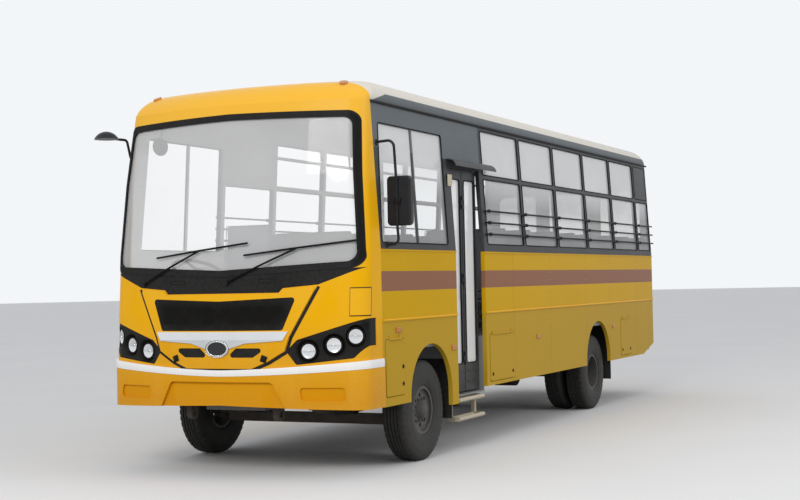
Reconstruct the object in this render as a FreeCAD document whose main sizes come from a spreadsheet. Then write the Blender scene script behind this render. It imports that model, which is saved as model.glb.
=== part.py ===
import FreeCAD, Part
import Sketcher
import math
import os
import re
from types import SimpleNamespace

# School bus, about nine metres long, with its engine ahead of the front axle.
# X points to the bus's left, where its entrance door is, Y to its rear and Z up.
# Every piece is drawn with Y measured from the front axle, and its placement then
# shifts it so that the origin lies under the middle of the whole vehicle.

Vector = FreeCAD.Vector
doc = FreeCAD.newDocument("SchoolBus")

# Driving dimensions, in millimetres and degrees.
SIZES = (
    # Stance
    ("wheelbase", 4850, "front axle to rear axle"),
    ("half_width", 1190, "middle to the outside of the lower side panels"),
    ("nose", 1480, "front axle to the front surface at the middle"),
    ("tail", 2500, "rear axle to the rear wall"),
    ("tyre_radius", 430, "tyre, standing on the road"),
    ("tyre_width", 230, "tyre across its sides"),
    ("front_track_half", 1015, "middle to the middle of a front tyre"),
    ("rear_track_half", 995, "middle to the middle of an outer rear tyre"),
    ("twin_spacing", 262, "outer to inner rear tyre"),
    ("rim_radius", 206, "bead seat of the tyres"),
    ("shoulder_drop", 12, "shoulder of a tyre below its crown"),
    ("rim_well", 24, "thickness of the rim's bed and flange"),
    ("disc_sheet", 12, "disc of a wheel"),
    ("front_dish", 62, "tyre's middle out to the front discs' face"),
    ("disc_radius", 158, "outer edge of the disc's flat"),
    ("twin_joint", 42, "twin tyres' middle to where their discs meet the rim"),
    ("hub_radius", 84, "hub"),
    ("hub_proud", 42, "hub out from the disc"),
    ("hub_back", 60, "hub in from the disc"),
    ("hub_cap_radius", 58, "hub cap"),
    ("hand_ring", 128, "axle to the hand holes in the disc"),
    ("hand_radius", 19, "hand hole"),
    ("spindle_length", 150, "front wheel spindle"),
    # Body shell
    ("shell_base", 430, "lowest height of the shell before it is trimmed"),
    ("nose_top", 1100, "height where the nose starts to lean back"),
    ("belt", 1800, "height of the belt below the windows"),
    ("brow", 2400, "height part way up the windscreen"),
    ("gutter", 3000, "height of the roof gutter"),
    ("roof_rise", 220, "gutter to the crown of the roof"),
    ("brow_half_width", 1155, "middle to the outside at the brow"),
    ("gutter_half_width", 1120, "middle to the outside at the gutter"),
    ("belt_lean", 55, "nose set back at the belt"),
    ("brow_lean", 120, "nose set back at the brow"),
    ("gutter_lean", 229, "nose set back at the gutter"),
    ("roof_side_inset", 620, "gutter to the edge of the flat crown, sideways"),
    ("roof_front_inset", 950, "gutter to the edge of the flat crown, at the front"),
    ("roof_rear_inset", 560, "gutter to the edge of the flat crown, at the rear"),
    ("nose_bow", 3200, "plan radius of the front"),
    ("corner", 170, "plan radius of the corners"),
    ("wall", 40, "thickness of the body walls"),
    ("seam", 930, "front axle forward to the seam of the front panel"),
    ("rear_seam", 90, "rear wall forward to its seam with the side panels"),
    ("feature_back", 1040, "front axle forward to the rearmost cut in the front panel"),
    # Side panels
    ("skirt", 535, "height of the side panels' lower edge"),
    ("front_skirt", 434, "height of the edge between front wheel and door"),
    ("tail_skirt", 690, "height of the edge at the rear corner"),
    ("tail_skirt_run", 650, "length of the rising edge at the rear"),
    ("arch_radius", 434, "front wheel arch"),
    ("arch_height", 565, "height of the front arch's centre"),
    ("front_arch_shift", 25, "front axle back to the front arch's centre"),
    ("rear_arch_radius", 452, "rear wheel arch"),
    ("rear_arch_height", 572, "height of the rear arch's centre"),
    ("rear_arch_shift", 55, "rear axle forward to the rear arch's centre"),
    ("rail_height", 1228, "height of the rub rail on the side"),
    ("rail_proud", 7, "rub rail out from the panel"),
    ("rail_width", 26, "rub rail from edge to edge"),
    ("belt_rail_width", 14, "belt rail above the panels"),
    # Entrance door
    ("door_front", 600, "front axle back to the door opening"),
    ("door_rear", 1290, "front axle back to the far side of the door opening"),
    ("door_top", 2560, "height of the top of the door opening"),
    ("door_sill", 500, "height of the bottom of the door opening"),
    ("leaf_face", 1110, "middle to the outer face of the closed door leaves"),
    ("leaf_thickness", 30, "door leaf"),
    ("leaf_gap", 10, "gap round the door leaves"),
    ("leaf_gap_low", 20, "gap between the door leaves and the sill"),
    ("leaf_stile", 42, "frame of a door leaf beside its glass"),
    ("leaf_hinge_inset", 50, "edge of the front leaf to its pivot pins"),
    ("leaf_pin_radius", 10, "pivot pin of the front leaf"),
    ("header", 34, "header over the door leaves"),
    ("fold_inset", 300, "ends of the leaves to their hinges"),
    ("fold_proud", 8, "hinge axis of the leaves out from their face"),
    ("fold_barrel", 10, "hinge barrels between the leaves"),
    ("fold_plate", 34, "hinge plate on a leaf, lengthwise"),
    ("leaf_glass_low", 250, "bottom of a door leaf to its glass"),
    ("leaf_glass_top", 90, "top of a door leaf to its glass"),
    ("leaf_corner", 30, "corner radius of the glass in a door leaf"),
    # Side windows
    ("window_low", 1866, "height of the bottom of the side windows"),
    ("window_top", 2955, "height of the top of the side windows"),
    ("window_rail", 2510, "height of the rail across the side windows"),
    ("window_rail_width", 34, "rail across the side windows"),
    ("window_corner", 22, "corner radius of the side windows"),
    ("first_bay", 1354, "front axle back to the first window pillar"),
    ("bay_pitch", 1046, "from one window pillar to the next"),
    ("pillar_width", 58, "window pillar"),
    ("last_bay_width", 560, "last window of each side"),
    ("cab_window_front", 900, "front axle forward to the cab's side window"),
    ("cab_window_lean", 70, "cab window's front edge set back at its top"),
    ("cab_window_rear", 500, "front axle back to the end of the cab's side window"),
    ("cab_window_low", 1850, "height of the bottom of the cab's side window"),
    ("cab_window_top", 2830, "height of the top of the cab's side window"),
    ("driver_bay_front", 420, "front axle back to the right side's first bay"),
    ("driver_window_rear", 360, "front axle back to the end of the driver's window"),
    ("glass", 6, "glass pane"),
    ("glass_inset", 12, "glass in from the outside of the frame"),
    ("bar_radius", 9, "guard bar across the windows"),
    ("bar_post", 6, "post that carries the guard bars"),
    ("bar_stand", 34, "guard bar out from the window frame"),
    ("bar_low", 1965, "height of the lowest guard bar"),
    ("bar_pitch", 110, "from one guard bar to the next"),
    ("hood_depth", 95, "hood over the door, outwards"),
    ("hood_rise", 62, "hood over the door, from edge to top"),
    ("hood_front", 530, "front axle back to the door hood"),
    ("hood_rear", 1515, "front axle back to the end of the door hood"),
    ("hood_thickness", 5, "sheet of the door hood"),
    # Front panel
    ("strip_low", 835, "height of the seam between bumper and front panel, middle"),
    ("strip_rise", 60, "rise of that seam towards the sides"),
    ("bumper_low", 578, "height of the bumper's edge at the middle"),
    ("bumper_drop", 46, "drop of the bumper's edge towards the sides"),
    ("bumper_proud", 18, "bumper out from the front surface"),
    ("bumper_thickness", 46, "bumper shell"),
    ("recess_depth", 26, "recess in the bumper"),
    ("recess_top_half", 472, "upper half width of the bumper's recess"),
    ("recess_low_half", 652, "lower half width of the bumper's recess"),
    ("recess_top", 765, "height of the top of the recess"),
    ("fog_inner", 700, "middle to the inside of the lamp pocket in the bumper"),
    ("fog_outer", 1060, "middle to the outside of the lamp pocket in the bumper"),
    ("fog_low", 622, "height of the bottom of the lamp pocket"),
    ("fog_top", 722, "height of the top of the lamp pocket"),
    ("fog_depth", 14, "lamp pocket in the bumper"),
    ("seal_top", 2925, "height of the windscreen seal at the middle"),
    ("seal_corner_drop", 20, "drop of the seal towards its corners"),
    ("seal_top_half", 1098, "middle to the seal's upper corner"),
    ("seal_low_half", 1182, "middle to the seal's lower corner"),
    ("seal_low", 1600, "height of the lower edge of the seal at the middle"),
    ("seal_low_rise", 56, "rise of that edge towards the corners"),
    ("seal_width", 52, "windscreen seal, seen from the front"),
    ("seal_corner", 95, "corner radius of the windscreen seal"),
    ("seal_depth", 30, "windscreen seal, from front to back"),
    ("seal_proud", 5, "windscreen seal out from the front panel"),
    ("cowl_side_half", 838, "middle to the bend of the cowl's lower edge"),
    ("cowl_side_low", 1526, "height of that bend"),
    ("cowl_step_half", 556, "middle to the step of the cowl's lower edge"),
    ("cowl_step_top", 1503, "height of the upper end of the step"),
    ("cowl_step_run", 33, "width of the step"),
    ("cowl_low", 1468, "height of the cowl's lower edge at the middle"),
    ("cowl_depth", 34, "cowl, from front to back"),
    # Bonnet panel
    ("bonnet_gap", 6, "front panel to the inside of the bonnet panel"),
    ("bonnet_skin", 10, "bonnet panel"),
    ("bonnet_edge", 8, "bonnet panel short of the cowl and the lamps"),
    ("bonnet_waist_half", 626, "middle to the waist of the bonnet panel"),
    ("bonnet_waist", 1120, "height of the waist"),
    ("bonnet_hip_half", 590, "middle to the hip of the bonnet panel"),
    ("bonnet_hip", 1010, "height of the hip"),
    ("bonnet_foot_half", 300, "half width of the bonnet panel's foot"),
    ("bonnet_foot", 872, "height of the foot"),
    ("bonnet_bend_half", 452, "middle to the bend above the foot"),
    ("bonnet_bend", 930, "height of that bend"),
    ("bonnet_hinge_height", 1560, "height of the bonnet panel's hinge axis"),
    ("bonnet_hinge_back", 95, "nose back to the bonnet panel's hinge axis"),
    ("bonnet_arm_half", 200, "middle to the middle of a bonnet arm"),
    ("arm_swing", 142, "bonnet's hinge axis to the middle of its arms"),
    ("arm_depth", 12, "bonnet arm, front to back"),
    ("arm_bend", 57, "bonnet arm back from straight down, degrees"),
    ("arm_end", 32, "bonnet arm forward from straight down, degrees"),
    ("barrel_radius", 8, "hinge barrels of bonnet and flaps"),
    ("barrel_length", 40, "one hinge barrel"),
    ("grille_top_half", 672, "middle to the grille's upper corner"),
    ("grille_top", 1432, "height of the grille's upper corner"),
    ("grille_dip", 26, "dip of the grille's upper edge at the middle"),
    ("grille_low_half", 566, "middle to the grille's lower corner"),
    ("grille_low", 1172, "height of the grille's lower edge"),
    ("grille_corner", 24, "corner radius of the grille"),
    ("mesh_depth", 7, "grille mesh, from front to back"),
    ("vent_top", 1034, "height of the lower vents' upper edge"),
    ("vent_low", 960, "height of the lower vents' lower edge"),
    ("vent_outer", 432, "middle to the lower vents' outer corner"),
    ("vent_low_outer", 318, "middle to the bend of the lower vents"),
    ("vent_inner", 168, "middle to the lower vents' inner corner"),
    ("vent_low_inner", 84, "middle to the lower vents' inner bend"),
    ("opening_lap", 12, "opening in the front panel, in from the bonnet's edge"),
    ("bar_top", 1164, "height of the bright bar's upper edge"),
    ("bar_end_half", 616, "middle to the bright bar's end"),
    ("bar_end_low", 1092, "height of the bright bar's lower corner"),
    ("bar_end_run", 44, "slope of the bright bar's end"),
    ("bar_bend_half", 250, "middle to the bend of the bright bar"),
    ("bar_bend", 1072, "height of the bright bar's bend"),
    ("bar_proud", 10, "bright bar out from the bonnet panel"),
    ("emblem_height", 1030, "height of the bare oval on the bright bar"),
    ("emblem_half_width", 112, "bare oval, sideways"),
    ("emblem_half_height", 70, "bare oval, upwards"),
    # Lamps
    ("lamp_tip_half", 586, "middle to the inner tip of a lamp housing"),
    ("lamp_tip", 1007, "height of the tip"),
    ("lamp_top_half", 676, "middle to the bend above the tip"),
    ("lamp_top", 1096, "height of that bend"),
    ("lamp_outer_top", 1268, "height of the housing's outer corner"),
    ("lamp_outer_low", 1085, "height of the housing's outer lower corner"),
    ("lamp_low_half", 668, "middle to the bend below the tip"),
    ("lamp_low", 900, "height of that bend"),
    ("lamp_heel_half", 1110, "middle to the heel of the housing"),
    ("lamp_heel", 948, "height of the heel"),
    ("lamp_depth", 70, "lamp housing, from front to back"),
    ("lens_radius", 62, "lamp lens"),
    ("lens_depth", 26, "lamp lens, from front to back"),
    ("lens_set", 28, "lens in from the front surface"),
    ("cup_radius", 80, "pocket round a lamp lens"),
    ("cup_depth", 40, "pocket round a lamp lens"),
    ("lens_one", 762, "middle to the inner lens"),
    ("lens_two", 962, "middle to the second lens"),
    ("lens_three", 1128, "middle to the outer lens"),
    ("lens_one_height", 1006, "height of the inner lens"),
    ("lens_two_height", 1050, "height of the second lens"),
    ("lens_three_height", 1117, "height of the outer lens"),
    ("lens_one_turn", 12, "inner lens turned outwards, degrees"),
    ("lens_two_turn", 20, "second lens turned outwards, degrees"),
    ("lens_three_turn", 40, "outer lens turned outwards, degrees"),
    # Chassis
    ("rail_centre", 410, "middle to the middle of a frame rail"),
    ("rail_breadth", 70, "frame rail, sideways"),
    ("rail_depth", 200, "frame rail, upwards"),
    ("rail_base", 640, "height of the frame rails' lower edge"),
    ("rail_web", 9, "sheet of the frame rails"),
    ("rail_front", 1330, "front axle forward to the front of the rails"),
    ("rail_rear", 2380, "rear axle back to the end of the rails"),
    ("member_depth", 140, "cross member, upwards"),
    ("member_breadth", 90, "cross member, lengthwise"),
    ("eye_radius", 26, "hole of a towing eye"),
    ("eye_outer", 52, "outside of a towing eye"),
    ("eye_length", 50, "towing eye, sideways"),
    ("eye_inset", 80, "end of the rail back to the towing eye's hole"),
    ("eye_drop", 145, "towing eye's hole below the rail"),
    ("axle_drop", 85, "wheel centre down to the front beam's middle"),
    ("axle_depth", 90, "front axle beam, upwards"),
    ("axle_breadth", 80, "front axle beam, lengthwise"),
    ("kingpin", 905, "middle to the kingpins"),
    ("kingpin_radius", 18, "kingpin"),
    ("boss_radius", 45, "boss of the front axle round the kingpin"),
    ("boss_half", 62, "boss of the front axle, half its height"),
    ("pin_half", 118, "kingpin, half its length"),
    ("spindle_radius", 32, "wheel spindle"),
    ("fork_plate", 30, "fork of the knuckle"),
    ("fork_gap", 6, "boss of the axle to the knuckle's fork"),
    ("tube_radius", 62, "rear axle tube"),
    ("diff_radius", 175, "rear axle's middle"),
    ("diff_width", 260, "rear axle's middle, sideways"),
    ("diff_nose", 262, "rear axle forward to the propeller shaft's end"),
    ("diff_nose_radius", 72, "nose of the rear axle"),
    ("leaf_breadth", 70, "leaf spring, sideways"),
    ("leaf_stack", 60, "leaf spring at its seat"),
    ("leaf_end", 16, "leaf spring at its ends"),
    ("front_spring_half", 640, "front spring, half its length"),
    ("rear_spring_half", 720, "rear spring, half its length"),
    ("spring_sag", 70, "ends of a spring above its seat"),
    ("shaft_radius", 45, "propeller shaft"),
    ("joint_radius", 66, "coupling of the propeller shaft"),
    ("shaft_start", 610, "height of the propeller shaft's front end"),
    ("engine_length", 900, "engine block, lengthwise"),
    ("engine_width", 560, "engine block, sideways"),
    ("engine_base", 520, "height of the engine block's lower face"),
    ("engine_top", 1150, "height of the engine block's upper face"),
    ("engine_front", 1240, "front axle forward to the engine block"),
    ("tank_length", 1150, "fuel tank, lengthwise"),
    ("tank_width", 520, "fuel tank, sideways"),
    ("tank_height", 330, "fuel tank, upwards"),
    ("tank_base", 480, "height of the fuel tank's lower face"),
    ("tank_front", 1700, "front axle back to the fuel tank"),
    ("tank_corner", 70, "corner radius of the fuel tank"),
    ("flap_thickness", 8, "mud flap"),
    ("flap_width", 470, "rear mud flap, sideways"),
    ("flap_low", 310, "height of a mud flap's lower edge"),
    ("flap_back", 520, "axle back to its mud flap"),
    # Floor
    ("floor_top", 1010, "height of the floor"),
    ("floor_depth", 40, "floor"),
    ("bearer_breadth", 60, "floor bearer, lengthwise"),
    ("floor_front", 1030, "front axle forward to the front of the floor"),
    ("tunnel_half", 330, "engine cover, half its width"),
    ("tunnel_top", 1320, "height of the engine cover"),
    ("tunnel_rear", 250, "front axle forward to the end of the engine cover"),
    ("well_inner", 470, "middle to the inner end of the entrance steps"),
    ("well_tread", 745, "middle to the riser between the entrance steps"),
    ("well_sheet", 14, "sheet of the entrance steps"),
    ("well_step", 255, "rise from one entrance step to the next"),
    # Foot step under the door
    ("foot_tube", 19, "tube radius of the foot step"),
    ("foot_top", 472, "height of the foot step's upper tread"),
    ("foot_low", 303, "height of the foot step's lower tread"),
    ("foot_front", 640, "front axle back to the foot step"),
    ("foot_rear", 1240, "front axle back to the end of the foot step"),
    ("foot_face", 1180, "middle to the outer tube of the foot step"),
    ("foot_width", 110, "tread of the foot step, sideways"),
    # Service flaps
    ("lid_proud", 4, "service flap out from the side panel"),
    ("lid_thickness", 22, "service flap"),
    ("lid_gap", 6, "gap round a service flap"),
    ("lid_hinge", 8, "service flap's hinge axis out from the side panel"),
    ("lid_hinge_inset", 60, "end of a service flap to its hinge"),
    ("lid_plate", 34, "plate of a flap's hinge, upwards"),
    ("lid_front_start", 880, "front axle forward to the front flap"),
    ("lid_front_end", 535, "front axle forward to the end of the front flap"),
    ("lid_front_low", 612, "height of the front flap's lower edge"),
    ("lid_front_top", 1070, "height of the front flap's upper edge"),
    ("lid_a_start", 1372, "front axle back to the battery flap"),
    ("lid_a_end", 2020, "front axle back to the end of the battery flap"),
    ("lid_b_start", 5700, "front axle back to the rear flap"),
    ("lid_b_end", 6150, "front axle back to the end of the rear flap"),
    ("lid_low", 575, "height of the lower edge of both flaps"),
    ("lid_top", 1018, "height of the upper edge of both flaps"),
    # Rear
    ("exit_half", 360, "half width of the rear emergency door"),
    ("exit_low", 1060, "height of the bottom of the emergency door"),
    ("exit_top", 2760, "height of the top of the emergency door"),
    ("exit_gap", 8, "gap round the emergency door"),
    ("exit_window_low", 1840, "height of the bottom of its window"),
    ("exit_window_edge", 80, "edge of the door to its window"),
    ("exit_hinge", 12, "hinge axis of the emergency door behind the rear wall"),
    ("exit_barrel", 14, "hinge barrels of the emergency door"),
    ("exit_plate", 60, "plate of the emergency door's hinges, sideways"),
    ("exit_hinge_inset", 200, "end of the emergency door to its hinges"),
    ("rear_window_inner", 450, "middle to the fixed rear windows"),
    ("rear_window_outer", 1010, "middle to the outside of the fixed rear windows"),
    ("rear_bumper_height", 130, "rear bumper, upwards"),
    ("rear_bumper_depth", 60, "rear bumper, lengthwise"),
    ("rear_bumper_half", 1080, "half width of the rear bumper"),
    ("rear_bumper_low", 560, "height of the rear bumper's lower edge"),
    ("tail_lamp_half", 1080, "middle to a tail lamp's outside"),
    ("tail_lamp_width", 150, "tail lamp, sideways"),
    ("tail_lamp_height", 320, "tail lamp, upwards"),
    ("tail_lamp_low", 980, "height of a tail lamp's lower edge"),
    ("tail_lamp_depth", 24, "tail lamp, lengthwise"),
    # Mirrors and wipers
    ("mirror_reach", 1410, "middle to the outside of the left mirror head"),
    ("mirror_width", 210, "left mirror head, sideways"),
    ("mirror_height", 400, "left mirror head, upwards"),
    ("mirror_depth", 60, "mirror head, lengthwise"),
    ("mirror_low", 1985, "height of the bottom of the left mirror head"),
    ("mirror_ahead", 765, "front axle forward to the left mirror head"),
    ("arm_radius", 11, "tube of a mirror arm"),
    ("arm_top", 2660, "height of the left mirror's upper bracket"),
    ("arm_low", 1836, "height of the left mirror's lower bracket"),
    ("arm_top_ahead", 872, "front axle forward to the left mirror's upper bracket"),
    ("arm_low_ahead", 806, "front axle forward to the left mirror's lower bracket"),
    ("convex_height", 2830, "height of the right mirror head"),
    ("convex_radius", 115, "right mirror head"),
    ("convex_reach", 1325, "middle to the outside of the right mirror head"),
    ("convex_ahead", 1270, "front axle forward to the right mirror head"),
    ("convex_foot_height", 2640, "height of the right mirror's bracket"),
    ("convex_foot_ahead", 975, "front axle forward to the right mirror's bracket"),
    ("wiper_radius", 8, "wiper arm"),
    ("wiper_stand", 12, "wiper out from the front surface"),
    ("wiper_foot_one", 794, "middle to the right wiper's spindle"),
    ("wiper_foot_two", 75, "middle to the left wiper's spindle"),
    ("wiper_foot_height", 1556, "height of the wiper spindles"),
    ("wiper_arm_run", 600, "wiper spindle to its blade, sideways"),
    ("wiper_arm_rise", 262, "wiper spindle to its blade, upwards"),
    ("wiper_blade_half", 450, "wiper blade, half its length"),
    ("wiper_blade_rise", 49, "wiper blade, rise over half its length"),
    ("roof_lamp_half", 905, "middle to a roof marker lamp"),
    ("roof_lamp_ahead", 965, "front axle forward to a roof marker lamp"),
    ("roof_lamp_radius", 34, "roof marker lamp"),
    ("roof_lamp_proud", 16, "roof marker lamp out from the roof"),
    ("marker_height", 940, "height of the side markers"),
    ("marker_length", 100, "side marker, lengthwise"),
    ("marker_width", 45, "side marker, upwards"),
    ("marker_proud", 12, "side marker out from the panel"),
    ("turn_ahead", 638, "front axle forward to the side turn lamp"),
    ("turn_height", 1143, "height of the side turn lamp"),
    # Cabin
    ("dash_top", 1592, "height of the dashboard"),
    ("dash_shelf", 1573, "height of the underside of the dashboard's shelf"),
    ("dash_front", 1190, "front axle forward to the dashboard's panel"),
    ("dash_low", 1290, "height of the dashboard's lower edge"),
    ("driver_side", 700, "middle to the driver's place"),
    ("wheel_rim_radius", 225, "steering wheel"),
    ("wheel_rim_tube", 15, "rim of the steering wheel"),
    ("wheel_height", 1660, "height of the steering wheel's middle"),
    ("wheel_ahead", 690, "front axle forward to the steering wheel's middle"),
    ("wheel_tilt", 25, "steering wheel's tilt from level, degrees"),
    ("column_radius", 22, "steering column"),
    ("column_socket", 12, "wall of the socket that the steering column turns in"),
    ("socket_length", 90, "socket of the steering column, along the column"),
    ("seat_width", 900, "passenger bench, sideways"),
    ("seat_depth", 400, "passenger bench, lengthwise"),
    ("seat_pad", 90, "seat cushion"),
    ("seat_height", 430, "floor to the top of the seat cushion"),
    ("seat_back", 620, "top of the cushion to the top of the back"),
    ("seat_pitch", 730, "from one bench to the next"),
    ("seat_lean", 70, "seat back's lean over its height"),
    ("seat_wall_gap", 25, "bench to the body wall"),
    ("left_first_seat", 1560, "front axle back to the first left bench"),
    ("right_first_seat", 830, "front axle back to the first right bench"),
    ("leg_tube", 16, "tube radius of the bench legs"),
    ("leg_inset", 70, "end of the bench to its legs"),
    ("driver_width", 500, "driver's seat, sideways"),
    ("driver_seat_ahead", 330, "front axle forward to the driver's seat"),
    ("driver_pad_height", 1480, "height of the driver's cushion"),
    ("grab_height", 2720, "height of the grab rails"),
    ("grab_half", 560, "middle to a grab rail"),
    ("grab_radius", 15, "grab rail"),
    ("drop_radius", 11, "drop that hangs a grab rail from the roof"),
    ("drop_inset", 40, "end of a grab rail to its first drop"),
    ("grab_front", 300, "front axle back to the grab rails"),
    ("grab_rear", 6700, "front axle back to the end of the grab rails"),
    ("drop_pitch", 1600, "from one drop of a grab rail to the next"),
    # Working values
    ("reach", 400, "overrun of every cut"),
    ("seat_gap", 0.3, "curved face to its seat"),
)

# Shares of the roof's rise, with how far the roof has drawn in by then.
RISE_SHARES = (0.46, 0.69, 0.83, 0.92, 1.0)
SIDE_INSET_SHARES = (0.035, 0.116, 0.22, 0.44, 1.0)
END_INSET_SHARES = (0.094, 0.19, 0.33, 0.54, 1.0)
ROOF_CORNER_SHARE = 1.2

CONVEX_CUT_SHARE = 0.42
SHAFT_JOINT_SHARE = 0.42
RIM_SHARE = 0.78
TREAD_SHARE = 0.66
SHOULDER_SHARE = 0.74
BULGE_SHARE = 0.93
BEAD_SHARE = 0.9

LEFT_BENCHES = 8
RIGHT_BENCHES = 9
WINDOW_BAYS = 6
HAND_HOLES = 8
GUARD_BARS = 3

sheet = doc.addObject("Spreadsheet::Sheet", "Sizes")
for row, (alias, value, note) in enumerate(SIZES, start=1):
    sheet.set(f"A{row}", alias)
    sheet.set(f"B{row}", str(value))
    sheet.set(f"C{row}", note)
    sheet.setAlias(f"B{row}", alias)
doc.recompute()
S = SimpleNamespace(**{alias: float(sheet.get(alias)) for alias, value, note in SIZES})

# Places that follow from the sizes, in a sheet of formulas of its own.
PLACES = (
    ("foremost", "nose + bonnet_gap + bonnet_skin + bar_proud"),
    ("rearmost", "wheelbase + tail + rear_bumper_depth"),
    ("middle_shift", "(nose + bonnet_gap + bonnet_skin + bar_proud - wheelbase - tail - rear_bumper_depth) / 2"),
    ("rear_wall", "wheelbase + tail"),
    ("side_rear", "wheelbase + tail - rear_seam"),
    ("rail_top", "rail_base + rail_depth"),
    ("floor_base", "floor_top - floor_depth"),
    ("twin_dish", "twin_spacing / 2 - disc_sheet - seat_gap"),
    ("boss_sweep", "boss_radius + 5 * fork_gap"),
    ("inner_half", "half_width - wall"),
    ("leaf_low", "door_sill + leaf_gap_low"),
    ("leaf_high", "door_top - leaf_gap"),
    ("leaf_inner", "leaf_face - leaf_thickness"),
    ("leaf_start", "door_front + leaf_gap"),
    ("leaf_end_two", "door_rear - leaf_gap"),
    ("leaf_middle", "(door_front + door_rear) / 2"),
    ("leaf_pin", "leaf_face - leaf_thickness / 2"),
)
WORD = re.compile(r"[a-z][a-z0-9_]*")
HOME = {alias: "Sizes" for alias, value, note in SIZES}


def bound(text):
    """Give every named size in a formula the sheet that holds it."""
    return WORD.sub(lambda word: f"{HOME[word.group()]}.{word.group()}" if word.group() in HOME else word.group(), text)


places = doc.addObject("Spreadsheet::Sheet", "Places")
for row, (alias, formula) in enumerate(PLACES, start=1):
    places.set(f"A{row}", alias)
    places.set(f"B{row}", "=" + bound(formula))
    places.setAlias(f"B{row}", alias)
doc.recompute()
P = SimpleNamespace(**{alias: float(places.get(alias)) for alias, formula in PLACES})
HOME.update({alias: "Places" for alias, formula in PLACES})

SUB_PARTS = []
ALONG_X = FreeCAD.Rotation(Vector(0, 1, 0), 90)
ALONG_Y = FreeCAD.Rotation(Vector(1, 0, 0), -90)
ALONG_Z = FreeCAD.Rotation()


# Helpers for primitives whose sizes are formulas.

def bind(item, **formulas):
    """Bind properties of a document object to formulas in named sizes."""
    for name, formula in formulas.items():
        item.setExpression(name.replace("__", "."), bound(formula))
    return item


def put(item, x="0", y="0", z="0"):
    """Bind where a document object stands."""
    for axis, formula in (("x", x), ("y", y), ("z", z)):
        item.setExpression(f"Placement.Base.{axis}", bound(formula))
    return item


def block(name, x, y, z):
    """A box between two formulas along each axis."""
    item = doc.addObject("Part::Box", name)
    bind(item, Length=f"({x[1]}) - ({x[0]})", Width=f"({y[1]}) - ({y[0]})", Height=f"({z[1]}) - ({z[0]})")
    return put(item, x[0], y[0], z[0])


def rod(name, axis, start, length, radius):
    """A round bar along one axis."""
    item = doc.addObject("Part::Cylinder", name)
    item.Placement = FreeCAD.Placement(Vector(), axis)
    bind(item, Height=length, Radius=radius)
    return put(item, *start)


def fuse(name, items):
    item = doc.addObject("Part::MultiFuse", name)
    item.Shapes = items
    return item


def group(name, items):
    item = doc.addObject("Part::Compound", name)
    item.Links = items
    return item


def cut(name, base, tool):
    item = doc.addObject("Part::Cut", name)
    item.Base = base
    item.Tool = tool
    return item


def common(name, base, tool):
    item = doc.addObject("Part::MultiCommon", name)
    item.Shapes = [base, tool]
    return item


def shape(name, solid):
    """A document object for a form that Part's own functions make."""
    item = doc.addObject("Part::Feature", name)
    item.Shape = solid
    return item


def hand_in(item, label):
    """Name a finished sub-part and set it over the middle of the vehicle."""
    item.Label = label
    place = item.Placement.Base
    item.setExpression("Placement.Base.y", bound(f"middle_shift + {place.y}" if place.y else "middle_shift"))
    SUB_PARTS.append(item)
    return item


def origin_plane(body, role):
    return next(item for item in body.Origin.OriginFeatures if item.Role == role)


def sketch_on(body, name, role):
    sketch = body.newObject("Sketcher::SketchObject", name)
    sketch.AttachmentSupport = [(origin_plane(body, role), "")]
    sketch.MapMode = "FlatFace"
    return sketch


# Helpers for outlines that are rounded at their corners.

def from_front(x, z):
    return Vector(x, 0, z)


def from_side(y, z):
    return Vector(0, y, z)


def from_above(x, y):
    return Vector(x, y, 0)


def rounded(points, radii, lift):
    """A closed wire through the points, each corner rounded by its radius."""
    count = len(points)
    corners = [lift(*point) for point in points]
    if not isinstance(radii, (list, tuple)):
        radii = [radii] * count
    starts, ends, arcs = [], [], []
    for i, corner in enumerate(corners):
        back = corners[i - 1] - corner
        ahead = corners[(i + 1) % count] - corner
        turn = math.pi - back.getAngle(ahead)
        room = min(back.Length, ahead.Length) / 2
        radius = min(radii[i], 0.96 * room / math.tan(turn / 2)) if turn > 1e-6 else 0
        run = radius * math.tan(turn / 2)
        back.normalize()
        ahead.normalize()
        start, end = corner + back * run, corner + ahead * run
        starts.append(start)
        ends.append(end)
        if radius > 0:
            inward = (back + ahead).normalize()
            middle = corner + inward * (radius / math.cos(turn / 2) - radius)
            arcs.append(Part.Arc(start, middle, end).toShape())
        else:
            arcs.append(None)
    edges = []
    for i in range(count):
        if arcs[i] is not None:
            edges.append(arcs[i])
        following = starts[(i + 1) % count]
        if ends[i].distanceToPoint(following) > 1e-6:
            edges.append(Part.LineSegment(ends[i], following).toShape())
    return Part.Wire(edges)


def prism(wire, direction):
    return Part.Face(wire).extrude(direction)


def front_cut(points, radii, back=None):
    """A rounded outline seen from the front, run through the nose from the front."""
    back = S.feature_back if back is None else back
    wire = rounded(points, radii, from_front)
    wire.translate(Vector(0, -P.foremost - S.reach, 0))
    return prism(wire, Vector(0, P.foremost + S.reach - back, 0))


def side_cut(points, radii, side, inner=0):
    """A rounded outline seen from the side, run through one side wall."""
    wire = rounded(points, radii, from_side)
    wire.translate(Vector(side * inner, 0, 0))
    return prism(wire, Vector(side * (S.half_width + S.reach - inner), 0, 0))


def rear_cut(points, radii):
    """A rounded outline seen from behind, run through the rear wall."""
    wire = rounded(points, radii, from_front)
    wire.translate(Vector(0, P.rear_wall - S.reach, 0))
    return prism(wire, Vector(0, S.reach * 2, 0))


def box_between(low, high):
    return Part.makeBox(high[0] - low[0], high[1] - low[1], high[2] - low[2], Vector(*low))


def rectangle(low_u, high_u, low_v, high_v):
    return [(low_u, low_v), (high_u, low_v), (high_u, high_v), (low_u, high_v)]


# The body's outer form: plan outlines at several heights, lofted, with an inset for
# each layer of the wall.

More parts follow.
